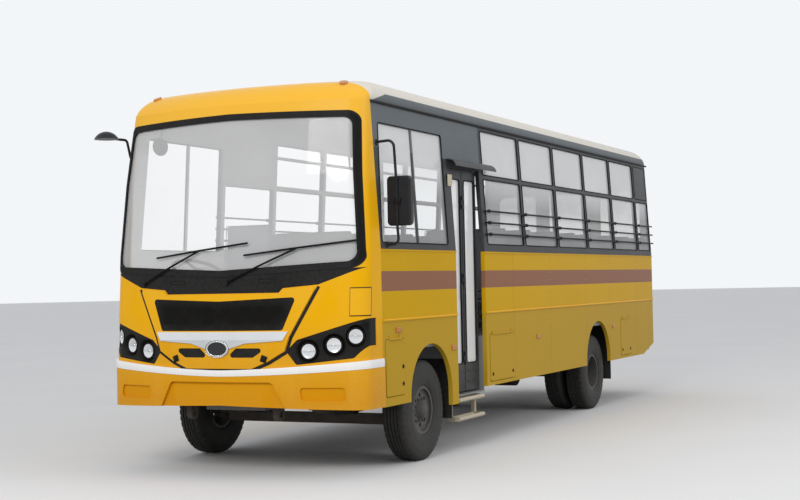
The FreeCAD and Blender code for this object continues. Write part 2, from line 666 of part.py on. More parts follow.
def plan_outline(height, half, front, rear, bow, corner):
    """Plan outline at one height: bowed front, round corners, straight sides and back."""
    front_end = (half - corner) / (1 - corner / bow)
    lean = front_end / bow
    slope = math.sqrt(1 - lean * lean)
    front_back = front + bow - bow * slope
    centre_x = front_end - corner * lean
    centre_y = front_back + corner * slope
    halfway = Vector(1 + lean, -slope, 0).normalize()
    diagonal = math.sqrt(0.5)

    def at(x, y):
        return Vector(x, y, height)

    def arc(a, b, c):
        return Part.Arc(a, b, c).toShape()

    def line(a, b):
        return Part.LineSegment(a, b).toShape()

    rear_start = rear - corner
    rear_half = half - corner
    edges = [
        arc(at(-front_end, front_back), at(0, front), at(front_end, front_back)),
        arc(at(front_end, front_back), at(centre_x + corner * halfway.x, centre_y + corner * halfway.y), at(half, centre_y)),
        line(at(half, centre_y), at(half, rear_start)),
        arc(at(half, rear_start), at(rear_half + corner * diagonal, rear_start + corner * diagonal), at(rear_half, rear)),
        line(at(rear_half, rear), at(-rear_half, rear)),
        arc(at(-rear_half, rear), at(-rear_half - corner * diagonal, rear_start + corner * diagonal), at(-half, rear_start)),
        line(at(-half, rear_start), at(-half, centre_y)),
        arc(at(-half, centre_y), at(-centre_x - corner * halfway.x, centre_y + corner * halfway.y), at(-front_end, front_back)),
    ]
    return Part.Wire(edges)


def body_form(inset, base_drop=0):
    """The closed outer form of the body, drawn in by an inset."""
    bow = S.nose_bow - inset
    corner = S.corner - inset
    rear = P.rear_wall - inset
    nose = -S.nose + inset
    levels = (
        (S.shell_base - base_drop, S.half_width, 0),
        (S.nose_top, S.half_width, 0),
        (S.belt, S.half_width, S.belt_lean),
        (S.brow, S.brow_half_width, S.brow_lean),
        (S.gutter, S.gutter_half_width, S.gutter_lean),
    )
    walls = [plan_outline(z, half - inset, nose + lean, rear, bow, corner) for z, half, lean in levels]
    roof = [walls[-1]]
    for rise, side, end in zip(RISE_SHARES, SIDE_INSET_SHARES, END_INSET_SHARES):
        roof.append(plan_outline(
            S.gutter + rise * (S.roof_rise - inset),
            S.gutter_half_width - inset - side * S.roof_side_inset,
            nose + S.gutter_lean + end * S.roof_front_inset,
            rear - end * S.roof_rear_inset,
            bow, ROOF_CORNER_SHARE * corner))
    lower = Part.makeLoft(walls, True, True)
    shoulder = Part.makeLoft(roof[:-1], True, False)
    crown = Part.makeLoft(roof[-2:], True, True)
    return lower.fuse([shoulder, crown])


LIMIT = S.half_width + S.reach
SKY = S.gutter + S.roof_rise + S.reach
ZONES = {
    "nose": ((-LIMIT, -P.foremost - S.reach, 0), (LIMIT, -S.seam, SKY)),
    "left": ((0, -S.seam, 0), (LIMIT, P.side_rear, S.gutter)),
    "right": ((-LIMIT, -S.seam, 0), (0, P.side_rear, S.gutter)),
    "roof": ((-LIMIT, -S.seam, S.gutter), (LIMIT, P.rear_wall + S.reach, SKY)),
    "tail": ((-LIMIT, P.side_rear, S.tail_skirt), (LIMIT, P.rear_wall + S.reach, S.gutter)),
}
KEPT = {}


def form(inset, zone=None, base_drop=0):
    """The outer form drawn in by an inset, whole or within one zone of the body."""
    key = (inset, zone, base_drop)
    if key not in KEPT:
        if zone is None:
            KEPT[key] = body_form(inset, base_drop)
        else:
            KEPT[key] = form(inset, None, base_drop).common(box_between(*ZONES[zone]))
    return KEPT[key]


def layer(outer, inner, zone):
    """The part of the wall between two insets within one zone, open at the bottom."""
    key = (outer, inner, zone, "layer")
    if key not in KEPT:
        KEPT[key] = form(outer, zone).cut(form(inner, zone, S.reach))
    return KEPT[key]


def side_zone(side, start, end, low, high):
    """A stretch of one side of the body."""
    near, far = sorted((0, side * LIMIT))
    return box_between((near, start, low), (far, end, high))


def side_name(side):
    return "left" if side > 0 else "right"


def one(solid):
    """The solid itself where a result holds a single one."""
    solids = solid.Solids
    return solids[0] if len(solids) == 1 else Part.makeCompound(solids)


# Outlines of the front, from the middle of the top round the left half.

def largest(result):
    """The main solid of a cut that also leaves thin offcuts."""
    return max(result.Solids, key=lambda solid: solid.Volume)


def half_outline(points):
    """Close a left half outline with its mirror image."""
    return list(points) + [(-x, z) for x, z in reversed(points) if x > 0]


def seal_outline(shrink=0):
    return half_outline([
        (0, S.seal_top - shrink),
        (S.seal_top_half - shrink, S.seal_top - S.seal_corner_drop - shrink),
        (S.seal_low_half - shrink, S.seal_low + S.seal_low_rise + shrink),
        (0, S.seal_low + shrink),
    ])


def cowl_outline():
    return half_outline([
        (0, S.seal_low),
        (S.seal_low_half, S.seal_low + S.seal_low_rise),
        (S.cowl_side_half, S.cowl_side_low),
        (S.cowl_step_half, S.cowl_step_top),
        (S.cowl_step_half - S.cowl_step_run, S.cowl_low),
        (0, S.cowl_low),
    ])


def bonnet_outline(shrink=0):
    edge = S.bonnet_edge + shrink
    return half_outline([
        (0, S.cowl_low - edge),
        (S.cowl_step_half - S.cowl_step_run, S.cowl_low - edge),
        (S.cowl_step_half, S.cowl_step_top - edge),
        (S.cowl_side_half - edge, S.cowl_side_low - edge),
        (S.bonnet_waist_half - edge, S.bonnet_waist),
        (S.bonnet_hip_half - edge, S.bonnet_hip),
        (S.bonnet_bend_half - edge, S.bonnet_bend + shrink),
        (S.bonnet_foot_half - shrink, S.bonnet_foot + shrink),
        (0, S.bonnet_foot + shrink),
    ])


def grille_outline(grow=0):
    return half_outline([
        (0, S.grille_top - S.grille_dip + grow),
        (S.grille_top_half + grow, S.grille_top + grow),
        (S.grille_low_half + grow, S.grille_low - grow),
        (0, S.grille_low - grow),
    ])


def vent_outline(side, grow=0):
    return [
        (side * (S.vent_outer + grow), S.vent_top + grow),
        (side * (S.vent_inner - grow), S.vent_top + grow),
        (side * (S.vent_low_inner - grow), S.vent_low - grow),
        (side * (S.vent_low_outer + grow), S.vent_low - grow),
    ]


def lamp_outline(side, shrink=0):
    return [(side * x, z) for x, z in (
        (S.lamp_tip_half + shrink, S.lamp_tip),
        (S.lamp_top_half + shrink, S.lamp_top - shrink),
        (S.half_width + S.wall, S.lamp_outer_top - shrink),
        (S.half_width + S.wall, S.lamp_outer_low + shrink),
        (S.lamp_heel_half, S.lamp_heel + shrink),
        (S.lamp_low_half + shrink, S.lamp_low + shrink),
    )]


def strip_edge(grow):
    """Region below the curved seam between bumper and front panel."""
    return half_outline([
        (0, S.strip_low + grow),
        (LIMIT, S.strip_low + S.strip_rise * LIMIT / S.half_width + grow),
        (LIMIT, 0),
        (0, 0),
    ])


# Hinges: barrels in a row on one axis, by turns on the piece that moves and on the one
# that carries it.

def barrels(start, run, lengths, radius):
    """Two lists of barrels along an axis: the moving ones and the fixed ones."""
    moving, fixed = [], []
    place = start
    direction = Vector(*run).normalize()
    for i, length in enumerate(lengths):
        (moving if i % 2 else fixed).append((place, length))
        place = place + direction * (length + S.seat_gap)

    def row(spots, size, spare):
        return [Part.makeCylinder(size, length + 2 * spare, spot - direction * spare, direction) for spot, length in spots]

    return (row(moving, radius, 0), row(fixed, radius, 0),
            row(moving, radius + S.seat_gap, S.seat_gap / 2), row(fixed, radius + S.seat_gap, S.seat_gap / 2))


# Front of the body.

def front_panel():
    """Moulded front with the windscreen pillars and the front cap of the roof."""
    shell = layer(0, S.wall, "nose")
    tools = [
        front_cut(strip_edge(0), 0, S.seam - S.reach),
        front_cut(seal_outline(), S.seal_corner),
        front_cut(cowl_outline(), 0),
        front_cut(bonnet_outline(S.opening_lap), S.grille_corner),
        front_cut(lamp_outline(1), S.grille_corner),
        front_cut(lamp_outline(-1), S.grille_corner),
    ]
    return hand_in(shape("FrontPanel", largest(shell.cut(tools))), "front_panel")


def front_bumper():
    outer = layer(-S.bumper_proud, S.bumper_thickness - S.bumper_proud, "nose")
    region = front_cut(half_outline([
        (0, S.bumper_low),
        (LIMIT, S.bumper_low - S.bumper_drop),
        (LIMIT, S.strip_low + S.strip_rise * LIMIT / S.half_width),
        (0, S.strip_low),
    ]), 0, S.seam)
    skin = outer.common(region)
    recess = front_cut(half_outline([
        (0, S.recess_top),
        (S.recess_top_half, S.recess_top),
        (S.recess_low_half, S.shell_base),
        (0, S.shell_base),
    ]), S.seal_corner / 2)
    sunk = layer(-S.bumper_proud - S.wall, S.recess_depth - S.bumper_proud, "nose")
    skin = skin.cut(sunk.common(recess))
    shallow = layer(-S.bumper_proud - S.wall, S.fog_depth - S.bumper_proud, "nose")
    for side in (1, -1):
        pocket = front_cut([(side * x, z) for x, z in (
            (S.fog_inner, S.fog_top), (S.fog_outer - S.fog_depth, S.fog_top),
            (S.fog_outer, S.fog_low), (S.fog_inner + S.fog_depth, S.fog_low))], S.grille_corner)
        skin = skin.cut(shallow.common(pocket))
    rear = box_between(
        (-S.rear_bumper_half, P.rear_wall, S.rear_bumper_low),
        (S.rear_bumper_half, P.rear_wall + S.rear_bumper_depth, S.rear_bumper_low + S.rear_bumper_height))
    uprights = [edge for edge in rear.Edges
                if abs(edge.tangentAt(edge.FirstParameter).z) > 0.9 and edge.CenterOfMass.y > P.rear_wall + 1]
    rear = rear.makeFillet(S.rear_bumper_depth * 0.6, uprights)
    brackets = [box_between(
        (side * S.rail_centre - S.rail_breadth / 2, S.wheelbase + S.rail_rear, S.rear_bumper_low),
        (side * S.rail_centre + S.rail_breadth / 2, P.rear_wall, S.rear_bumper_low + S.rear_bumper_height))
        for side in (1, -1)]
    rear = rear.fuse(brackets).removeSplitter()
    return hand_in(shape("Bumpers", Part.makeCompound([one(skin), one(rear)])), "bumpers")


def cowl():
    skin = layer(0, S.cowl_depth, "nose").common(front_cut(cowl_outline(), 0))
    return hand_in(shape("Cowl", one(skin)), "cowl")


def windscreen():
    seal = layer(-S.seal_proud, S.seal_depth - S.seal_proud, "nose").common(front_cut(seal_outline(), S.seal_corner))
    hole = front_cut(seal_outline(S.seal_width), S.seal_corner - S.seal_width / 3)
    hand_in(shape("WindscreenSeal", one(seal.cut(hole))), "windscreen_seal")
    pane = layer(S.glass_inset, S.glass_inset + S.glass, "nose").common(hole)
    return hand_in(shape("Windscreen", one(pane)), "windscreen")


def bonnet_barrels():
    """Barrels of both bonnet hinges: a moving one between two fixed ones on each side."""
    sets = [[], [], [], []]
    for side in (1, -1):
        start = Vector(side * S.bonnet_arm_half - 1.5 * S.barrel_length - S.seat_gap, -S.nose + S.bonnet_hinge_back,
                       S.bonnet_hinge_height)
        made = barrels(start, (1, 0, 0), (S.barrel_length,) * 3, S.barrel_radius)
        for kept, new in zip(sets, made):
            kept += new
    return sets


def bonnet_arm(side):
    """Curved arm that carries the bonnet panel round the edge of the front panel."""
    axis_y, axis_z = -S.nose + S.bonnet_hinge_back, S.bonnet_hinge_height
    low, high = math.radians(-S.arm_bend), math.radians(S.arm_end)
    inner, outer = S.arm_swing - S.arm_depth / 2, S.arm_swing + S.arm_depth / 2

    def at(angle, radius):
        return Vector(0, axis_y - radius * math.sin(angle), axis_z - radius * math.cos(angle))

    middle = (low + high) / 2
    band = Part.Wire([
        Part.Arc(at(low, inner), at(middle, inner), at(high, inner)).toShape(),
        Part.makeLine(at(high, inner), at(high, outer)),
        Part.Arc(at(high, outer), at(middle, outer), at(low, outer)).toShape(),
        Part.makeLine(at(low, outer), at(low, inner))])
    spread = S.arm_depth / S.arm_swing
    spoke = Part.makePolygon([at(low, 0), at(low, outer), at(low + spread, outer), at(low + math.pi / 2, S.arm_depth), at(low, 0)])
    solid = Part.Face(band).extrude(Vector(S.barrel_length, 0, 0))
    solid = solid.fuse(Part.Face(spoke).extrude(Vector(S.barrel_length, 0, 0)))
    solid.translate(Vector(side * S.bonnet_arm_half - S.barrel_length / 2, 0, 0))
    return solid


def bonnet():
    """Lift-up panel with the grille, seated over the front panel."""
    inner = -S.bonnet_gap
    outer = inner - S.bonnet_skin
    skin = layer(outer, inner, "nose").common(front_cut(bonnet_outline(), S.grille_corner))
    holes = [front_cut(grille_outline(), S.grille_corner)]
    holes += [front_cut(vent_outline(side), S.grille_corner) for side in (1, -1)]
    skin = skin.cut(holes)
    moving, fixed, around_moving, around_fixed = bonnet_barrels()
    for side, barrel in zip((1, -1), moving):
        skin = skin.fuse([bonnet_arm(side), barrel])
    hand_in(shape("BonnetPanel", one(skin)), "bonnet_panel")

    sheet_layer = layer(inner - S.mesh_depth, inner, "nose")
    panes = [one(sheet_layer.common(hole)) for hole in holes]
    hand_in(shape("Grille", Part.makeCompound(panes)), "grille")

    bar = front_cut(half_outline([
        (0, S.bar_top), (S.bar_end_half, S.bar_top), (S.bar_end_half - S.bar_end_run, S.bar_end_low),
        (S.bar_bend_half, S.bar_bend), (S.emblem_half_width, S.emblem_height), (0, S.emblem_height)]), 0)
    oval = Part.Ellipse(Vector(), S.emblem_half_width, S.emblem_half_height).toShape()
    oval.rotate(Vector(), Vector(1, 0, 0), 90)
    oval.translate(Vector(0, -P.foremost - S.reach, S.emblem_height))
    oval = prism(Part.Wire([oval]), Vector(0, P.foremost + S.reach - S.feature_back, 0))
    proud = layer(outer - S.bar_proud, outer, "nose")
    return hand_in(shape("BrightBar", one(proud.common(bar.fuse(oval)))), "bright_bar")


def lens_places():
    yield S.lens_one, S.lens_one_height, S.lens_one_turn
    yield S.lens_two, S.lens_two_height, S.lens_two_turn
    yield S.lens_three, S.lens_three_height, S.lens_three_turn


def surface_y(x, z):
    """Where the front surface lies at a place seen from the front."""
    line = Part.makeLine(Vector(x, -P.foremost - S.reach, z), Vector(x, -S.seam, z))
    inside = line.common(form(0))
    return inside.BoundBox.YMin


def lamps():
    housings, lenses = [], []
    body = layer(S.glass, S.lamp_depth, "nose")
    for side in (1, -1):
        housing = body.common(front_cut(lamp_outline(side), S.grille_corner))
        for x, z, turn in lens_places():
            face = Vector(side * x, surface_y(side * x, z), z)
            outward = Vector(side * math.sin(math.radians(turn)), -math.cos(math.radians(turn)), 0)
            seat = face - outward * (S.lens_set + S.lens_depth)
            cup = Part.makeCone(S.lens_radius, S.cup_radius + S.cup_depth, S.cup_depth * 2, seat, outward)
            housing = housing.cut(cup)
            lens = Part.makeCylinder(S.lens_radius, S.lens_depth, seat, outward)
            dome = lens.makeFillet(S.lens_depth * 0.6, [max(lens.Edges, key=lambda e: e.CenterOfMass.dot(outward) if e.isClosed() else -1e9)])
            lenses.append(dome)
        housings.append(one(housing))
    hand_in(shape("LampHousings", Part.makeCompound(housings)), "lamp_housings")
    return hand_in(shape("LampLenses", Part.makeCompound(lenses)), "lamp_lenses")


# Sides of the body.

def arch(centre, height, radius):
    """The round-topped opening over a wheel, seen from the side."""
    low = 0
    points = [Vector(0, centre - radius, low), Vector(0, centre - radius, height),
              Vector(0, centre, height + radius), Vector(0, centre + radius, height), Vector(0, centre + radius, low)]
    edges = [
        Part.LineSegment(points[0], points[1]).toShape(),
        Part.Arc(points[1], points[2], points[3]).toShape(),
        Part.LineSegment(points[3], points[4]).toShape(),
        Part.LineSegment(points[4], points[0]).toShape(),
    ]
    wire = Part.Wire(edges)
    wire.translate(Vector(-LIMIT, 0, 0))
    return prism(wire, Vector(LIMIT * 2, 0, 0))


def skirt_edge():
    """Everything below the side panels' lower edge."""
    points = [
        (-P.foremost - S.reach, 0), (-P.foremost - S.reach, S.skirt),
        (S.front_arch_shift, S.skirt), (S.front_arch_shift, S.front_skirt),
        (S.door_rear, S.front_skirt), (S.door_rear, S.skirt),
        (P.rear_wall - S.tail_skirt_run, S.skirt), (P.rear_wall, S.tail_skirt),
        (P.rear_wall + S.reach, S.tail_skirt), (P.rear_wall + S.reach, 0),
    ]
    wire = rounded(points, 0, from_side)
    wire.translate(Vector(-LIMIT, 0, 0))
    return prism(wire, Vector(LIMIT * 2, 0, 0))


def lid_box(side, start, end, low, high, gap):
    return side_cut(rectangle(start - gap, end + gap, low - gap, high + gap), S.leaf_corner, side, S.half_width / 2)


LIDS = (
    ("flap_front", -S.lid_front_start, -S.lid_front_end, S.lid_front_low, S.lid_front_top),
    ("flap_battery", S.lid_a_start, S.lid_a_end, S.lid_low, S.lid_top),
    ("flap_rear", S.lid_b_start, S.lid_b_end, S.lid_low, S.lid_top),
)


def lid_barrels(start, end, high):
    """Barrels along the upper edge of a service flap."""
    moving_length = end - start - 2 * S.lid_hinge_inset - 2 * S.barrel_length - 2 * S.seat_gap
    place = Vector(S.half_width + S.lid_hinge, start + S.lid_hinge_inset, high)
    return barrels(place, (0, 1, 0), (S.barrel_length, moving_length, S.barrel_length), S.barrel_radius)


def side_panels():
    below = skirt_edge()
    arches = [arch(S.front_arch_shift, S.arch_height, S.arch_radius),
              arch(S.wheelbase - S.rear_arch_shift, S.rear_arch_height, S.rear_arch_radius)]
    for side, label in ((1, "side_panel_left"), (-1, "side_panel_right")):
        zone = side_zone(side, -S.seam, P.side_rear, S.shell_base, S.belt)
        rail_layer = layer(-S.rail_proud, 0, side_name(side))
        panel = layer(0, S.wall, side_name(side)).common(zone).cut([below] + arches)
        rail = rail_layer.common(side_zone(
            side, -S.seam, P.side_rear, S.rail_height - S.rail_width / 2, S.rail_height + S.rail_width / 2))
        belt_rail = rail_layer.common(side_zone(side, -S.seam, P.side_rear, S.belt - S.belt_rail_width, S.belt))
        panel = panel.fuse([rail, belt_rail])
        if side > 0:
            doorway = box_between((0, S.door_front, 0), (LIMIT, S.door_rear, SKY))
            lids = [lid_box(side, start, end, low, high, S.lid_gap) for label_, start, end, low, high in LIDS]
            panel = panel.cut([doorway] + lids)
            for label_, start, end, low, high in LIDS:
                moving, fixed, around_moving, around_fixed = lid_barrels(start, end, high)
                for barrel in fixed:
                    box = barrel.BoundBox
                    plate = box_between((S.half_width, box.YMin, high), (S.half_width + S.lid_hinge, box.YMax, high + S.lid_plate))
                    panel = panel.fuse([plate, barrel])
        hand_in(shape("Side" + str(side).replace("-", "R"), one(panel)), label)


def lids():
    sheet_layer = layer(-S.lid_proud, S.lid_thickness - S.lid_proud, "left")
    for label, start, end, low, high in LIDS:
        moving, fixed, around_moving, around_fixed = lid_barrels(start, end, high)
        lid = sheet_layer.common(lid_box(1, start, end, low, high, 0)).cut(around_fixed).fuse(moving)
        hand_in(shape(label.title().replace("_", ""), one(lid)), label)


def bays(side):
    """Start and end of each window bay along one side."""
    if side < 0:
        yield S.driver_bay_front, S.first_bay - S.pillar_width / 2
    for i in range(WINDOW_BAYS - 1):
        start = S.first_bay + i * S.bay_pitch + S.pillar_width / 2
        yield start, start + S.bay_pitch - S.pillar_width
    last = S.first_bay + (WINDOW_BAYS - 1) * S.bay_pitch + S.pillar_width / 2
    yield last, last + S.last_bay_width


def window_holes(side):
    """Openings of the side windows, seen from the side."""
    cab_rear = S.cab_window_rear - S.pillar_width if side > 0 else S.driver_window_rear
    holes = [[(-S.cab_window_front, S.cab_window_low), (cab_rear, S.cab_window_low), (cab_rear, S.cab_window_top),
              (-S.cab_window_front + S.cab_window_lean, S.cab_window_top)]]
    for start, end in bays(side):
        holes.append(rectangle(start, end, S.window_low, S.window_rail - S.window_rail_width / 2))
        holes.append(rectangle(start, end, S.window_rail + S.window_rail_width / 2, S.window_top))
    return [side_cut(hole, S.window_corner, side, S.half_width / 2) for hole in holes]


def door_hood():
    """Curved sheet that keeps rain off the entrance."""
    outer = S.gutter_half_width + (S.half_width - S.gutter_half_width) * (S.gutter - S.door_top) / (S.gutter - S.belt)
    inner = outer - S.wall / 2
    top = Vector(inner, S.hood_front, S.door_top + S.hood_rise)
    shoulder = Vector(outer + S.hood_depth * 0.72, S.hood_front, S.door_top + S.hood_rise * 0.78)
    lip = Vector(outer + S.hood_depth, S.hood_front, S.door_top)
    drop = Vector(0, 0, -S.hood_thickness)
    pull = Vector(-S.hood_thickness, 0, 0)
    outside = Part.Arc(top, shoulder, lip).toShape()
    inside = Part.Arc(top + drop, shoulder + drop + pull, lip + pull).toShape()
    ends = [Part.makeLine(lip, lip + pull), Part.makeLine(top + drop, top)]
    profile = Part.Wire(Part.__sortEdges__([outside, ends[0], inside, ends[1]]))
    return prism(profile, Vector(0, S.hood_rear - S.hood_front, 0))


def window_frames():
    panes = []
    for side, label in ((1, "window_frame_left"), (-1, "window_frame_right")):
        zone = side_zone(side, -S.seam, P.side_rear, S.belt, S.gutter)
        holes = window_holes(side)
        frame = layer(0, S.wall, side_name(side)).common(zone).cut(holes)
        pane_layer = layer(S.glass_inset, S.glass_inset + S.glass, side_name(side))
        if side > 0:
            doorway = box_between((0, S.door_front, 0), (LIMIT, S.door_rear, S.door_top))
            header = box_between((P.leaf_inner - S.wall / 2, S.door_front - S.header, S.door_top),
                                 (frame_face(S.door_top) - S.wall / 2, S.door_rear + S.header, S.door_top + S.header))
            header = header.common(form(S.wall / 2, "left"))
            pin = Part.makeCylinder(S.leaf_pin_radius + S.seat_gap, S.header, Vector(
                P.leaf_pin, P.leaf_start + S.leaf_hinge_inset, S.door_top - S.header / 2 + S.seat_gap))
            hood = door_hood().cut(form(S.glass_inset / 2, "left"))
            frame = frame.cut(doorway).fuse([hood, header]).cut(pin)
        hand_in(shape("Frame" + str(side).replace("-", "R"), one(frame)), label)
        panes += pane_layer.common(Part.makeCompound(holes)).Solids
    hand_in(shape("SideWindows", Part.makeCompound(panes)), "side_windows")


def frame_face(height):
    """Middle to the outside of the window frames at one height."""
    if height < S.brow:
        share = (height - S.belt) / (S.brow - S.belt)
        return S.half_width + share * (S.brow_half_width - S.half_width)
    share = (height - S.brow) / (S.gutter - S.brow)
    return S.brow_half_width + share * (S.gutter_half_width - S.brow_half_width)


def guard_bars():
    """Three bars across the passenger windows on each side, on posts at the pillars."""
    sets = []
    for side in (1, -1):
        spans = list(bays(side))
        start, end = spans[0][0] - S.pillar_width / 2, spans[-1][1]
        for i in range(GUARD_BARS):
            height = S.bar_low + i * S.bar_pitch
            foot_x = frame_face(height - S.bar_post)
            out = foot_x + S.bar_stand
            bar = Part.makeCylinder(
                S.bar_radius, end + 2 * S.bar_radius - start, Vector(side * out, start, height), Vector(0, 1, 0))
            posts = []
            feet = [max(span[0] - S.pillar_width / 2, start + S.bar_radius) for span in spans]
            for foot in feet + [end + S.bar_radius]:
                posts.append(Part.makeCylinder(
                    S.bar_post, S.bar_stand, Vector(side * foot_x, foot, height), Vector(side, 0, 0)))
            sets.append(one(bar.fuse(posts)))
    return hand_in(shape("GuardBars", Part.makeCompound(sets)), "guard_bars")


def roof():
    return hand_in(shape("Roof", one(layer(0, S.wall, "roof"))), "roof")


# Back of the body.

def exit_outline(gap):
    return rectangle(-S.exit_half - gap, S.exit_half + gap, S.exit_low - gap, S.exit_top + gap)


def exit_window():
    edge = S.exit_window_edge
    return rectangle(-S.exit_half + edge, S.exit_half - edge, S.exit_window_low, S.exit_top - edge)


def rear_wall():
    wall = layer(0, S.wall, "tail")
    pane_layer = layer(S.glass_inset, S.glass_inset + S.glass, "tail")
    panes = []
    cuts = [rear_cut(exit_outline(S.exit_gap), S.window_corner)]
    for side in (1, -1):
        hole = rear_cut(rectangle(*sorted((side * S.rear_window_inner, side * S.rear_window_outer)),
                                  S.exit_window_low, S.exit_top - S.exit_window_edge), S.seal_corner)
        cuts.append(hole)
        panes.append(one(pane_layer.common(hole)))
    body = wall.cut(cuts)
    leaf = wall.common(rear_cut(exit_outline(0), S.window_corner)).cut(rear_cut(exit_window(), S.window_corner * 2))
    for height in (S.exit_low + S.exit_hinge_inset, (S.exit_low + S.exit_top) / 2, S.exit_top - S.exit_hinge_inset):
        start = Vector(-S.exit_half, P.rear_wall + S.exit_hinge, height - 1.5 * S.barrel_length - S.seat_gap)
        moving, fixed, around_moving, around_fixed = barrels(start, (0, 0, 1), (S.barrel_length,) * 3, S.exit_barrel)
        leaf = leaf.cut(around_fixed).fuse(moving)
        for barrel in fixed:
            box = barrel.BoundBox
            plate = box_between((-S.exit_half - S.exit_plate, P.rear_wall, box.ZMin), (-S.exit_half, P.rear_wall + S.exit_hinge, box.ZMax))
            body = body.fuse([plate, barrel])
    hand_in(shape("RearWall", one(body)), "rear_wall")
    hand_in(shape("RearWindows", Part.makeCompound(panes)), "rear_windows")
    hand_in(shape("RearDoor", one(leaf)), "rear_door")
    hole = rear_cut(exit_window(), S.window_corner * 2)
    return hand_in(shape("RearDoorGlass", one(pane_layer.common(hole))), "rear_door_glass")


def tail_lamps():
    cases = []
    for side in (1, -1):
        near, far = sorted((side * S.tail_lamp_half, side * (S.tail_lamp_half - S.tail_lamp_width)))
        case = box_between((near, P.rear_wall, S.tail_lamp_low),
                           (far, P.rear_wall + S.tail_lamp_depth, S.tail_lamp_low + S.tail_lamp_height))
        outer = [edge for edge in case.Edges if edge.CenterOfMass.y > P.rear_wall + S.tail_lamp_depth - 1e-3]
        case = case.makeFillet(S.tail_lamp_depth / 2, outer)
        cases.append(case)
    return hand_in(shape("TailLamps", Part.makeCompound([one(case) for case in cases])), "tail_lamps")


def marker_lamps():
    """Orange side markers, side turn lamps and the two lamps on the front cap of the roof."""
    cases = []
    rows = [(S.door_front - S.marker_length, S.marker_height),
            (S.lid_a_end + S.bay_pitch * 0.66, S.marker_height),
            (S.wheelbase + S.flap_back + S.marker_width / 2, S.marker_height),
            (-S.turn_ahead, S.turn_height)]
    for side in (1, -1):
        for middle, height in rows:
            near, far = sorted((side * S.half_width, side * (S.half_width + S.marker_proud)))
            case = box_between((near, middle - S.marker_length / 2, height - S.marker_width / 2),
                               (far, middle + S.marker_length / 2, height + S.marker_width / 2))
            outer = [edge for edge in case.Edges if abs(edge.CenterOfMass.x) > S.half_width + S.marker_proud - 1e-3]
            cases.append(case.makeFillet(S.marker_proud / 2, outer))
        foot = Vector(side * S.roof_lamp_half, -S.roof_lamp_ahead, S.gutter)
        post = Part.makeCylinder(S.roof_lamp_radius, S.roof_rise, foot)
        skin = layer(-S.roof_lamp_proud, 0, "nose").common(post)
        cases.append(one(skin))
    return hand_in(shape("MarkerLamps", Part.makeCompound(cases)), "marker_lamps")


# Entrance door.

def fold_barrels():
    """Barrels of the hinge between the two leaves, at three heights."""
    sets = [[], [], [], []]
    heights = (P.leaf_low + S.fold_inset, (P.leaf_low + P.leaf_high) / 2, P.leaf_high - S.fold_inset)
    for height in heights:
        start = Vector(S.leaf_face + S.fold_proud, P.leaf_middle, height - 1.5 * S.barrel_length - S.seat_gap)
        made = barrels(start, (0, 0, 1), (S.barrel_length,) * 3, S.fold_barrel)
        for kept, new in zip(sets, made):
            kept += new
    return sets


def door_leaf(label, start, end, own, others, side):
    """One leaf of the folding door, with its tall glass and its hinge barrels."""
    pad = box_between((P.leaf_inner, start, P.leaf_low), (S.leaf_face, end, P.leaf_high))
    outline = rectangle(start + S.leaf_stile, end - S.leaf_stile, P.leaf_low + S.leaf_glass_low, P.leaf_high - S.leaf_glass_top)
    hole = side_cut(outline, S.leaf_corner, 1, P.leaf_inner - S.wall)
    leaf = pad.cut([hole] + others)
    for barrel in own:
        box = barrel.BoundBox
        near, far = sorted((P.leaf_middle, P.leaf_middle + side * S.fold_plate))
        leaf = leaf.fuse([box_between((S.leaf_face, near, box.ZMin), (S.leaf_face + S.fold_proud, far, box.ZMax)), barrel])
    if side < 0:
        pivot = Vector(P.leaf_pin, start + S.leaf_hinge_inset, S.door_sill - S.well_sheet)
        leaf = leaf.fuse([
            Part.makeCylinder(S.leaf_pin_radius, P.leaf_low - pivot.z, pivot),
            Part.makeCylinder(S.leaf_pin_radius, S.door_top + S.header / 2 - P.leaf_high, Vector(pivot.x, pivot.y, P.leaf_high))])
    hand_in(shape(label.title().replace("_", ""), one(leaf)), label)
    middle = (P.leaf_inner + S.leaf_face) / 2
    sheet_zone = box_between((middle - S.glass / 2, start, P.leaf_low), (middle + S.glass / 2, end, P.leaf_high))
    hand_in(shape(label.title().replace("_", "") + "Glass", one(sheet_zone.common(hole))), label + "_glass")


def entrance_door():
    front, rear, around_front, around_rear = fold_barrels()
    door_leaf("door_leaf_front", P.leaf_start, P.leaf_middle - S.leaf_gap / 2, front, around_rear, -1)
    door_leaf("door_leaf_rear", P.leaf_middle + S.leaf_gap / 2, P.leaf_end_two, rear, around_front, 1)


# Chassis.

def channel(name, side):
    """One frame rail: a channel open towards the middle."""
    outside = f"{side} * (rail_centre + rail_breadth / 2)"
    inside = f"{side} * (rail_centre - rail_breadth / 2)"
    low, high = (inside, outside) if side > 0 else (outside, inside)
    full = block(name, (low, high), ("-rail_front", "wheelbase + rail_rear"), ("rail_base", "rail_top"))
    hollow_x = (f"{low} - rail_web", f"{high} - rail_web") if side > 0 else (f"{low} + rail_web", f"{high} + rail_web")
    hollow = block(name + "_hollow", hollow_x, ("-rail_front - reach", "wheelbase + rail_rear + reach"),
                   ("rail_base + rail_web", "rail_top - rail_web"))
    return cut(name + "_channel", full, hollow)


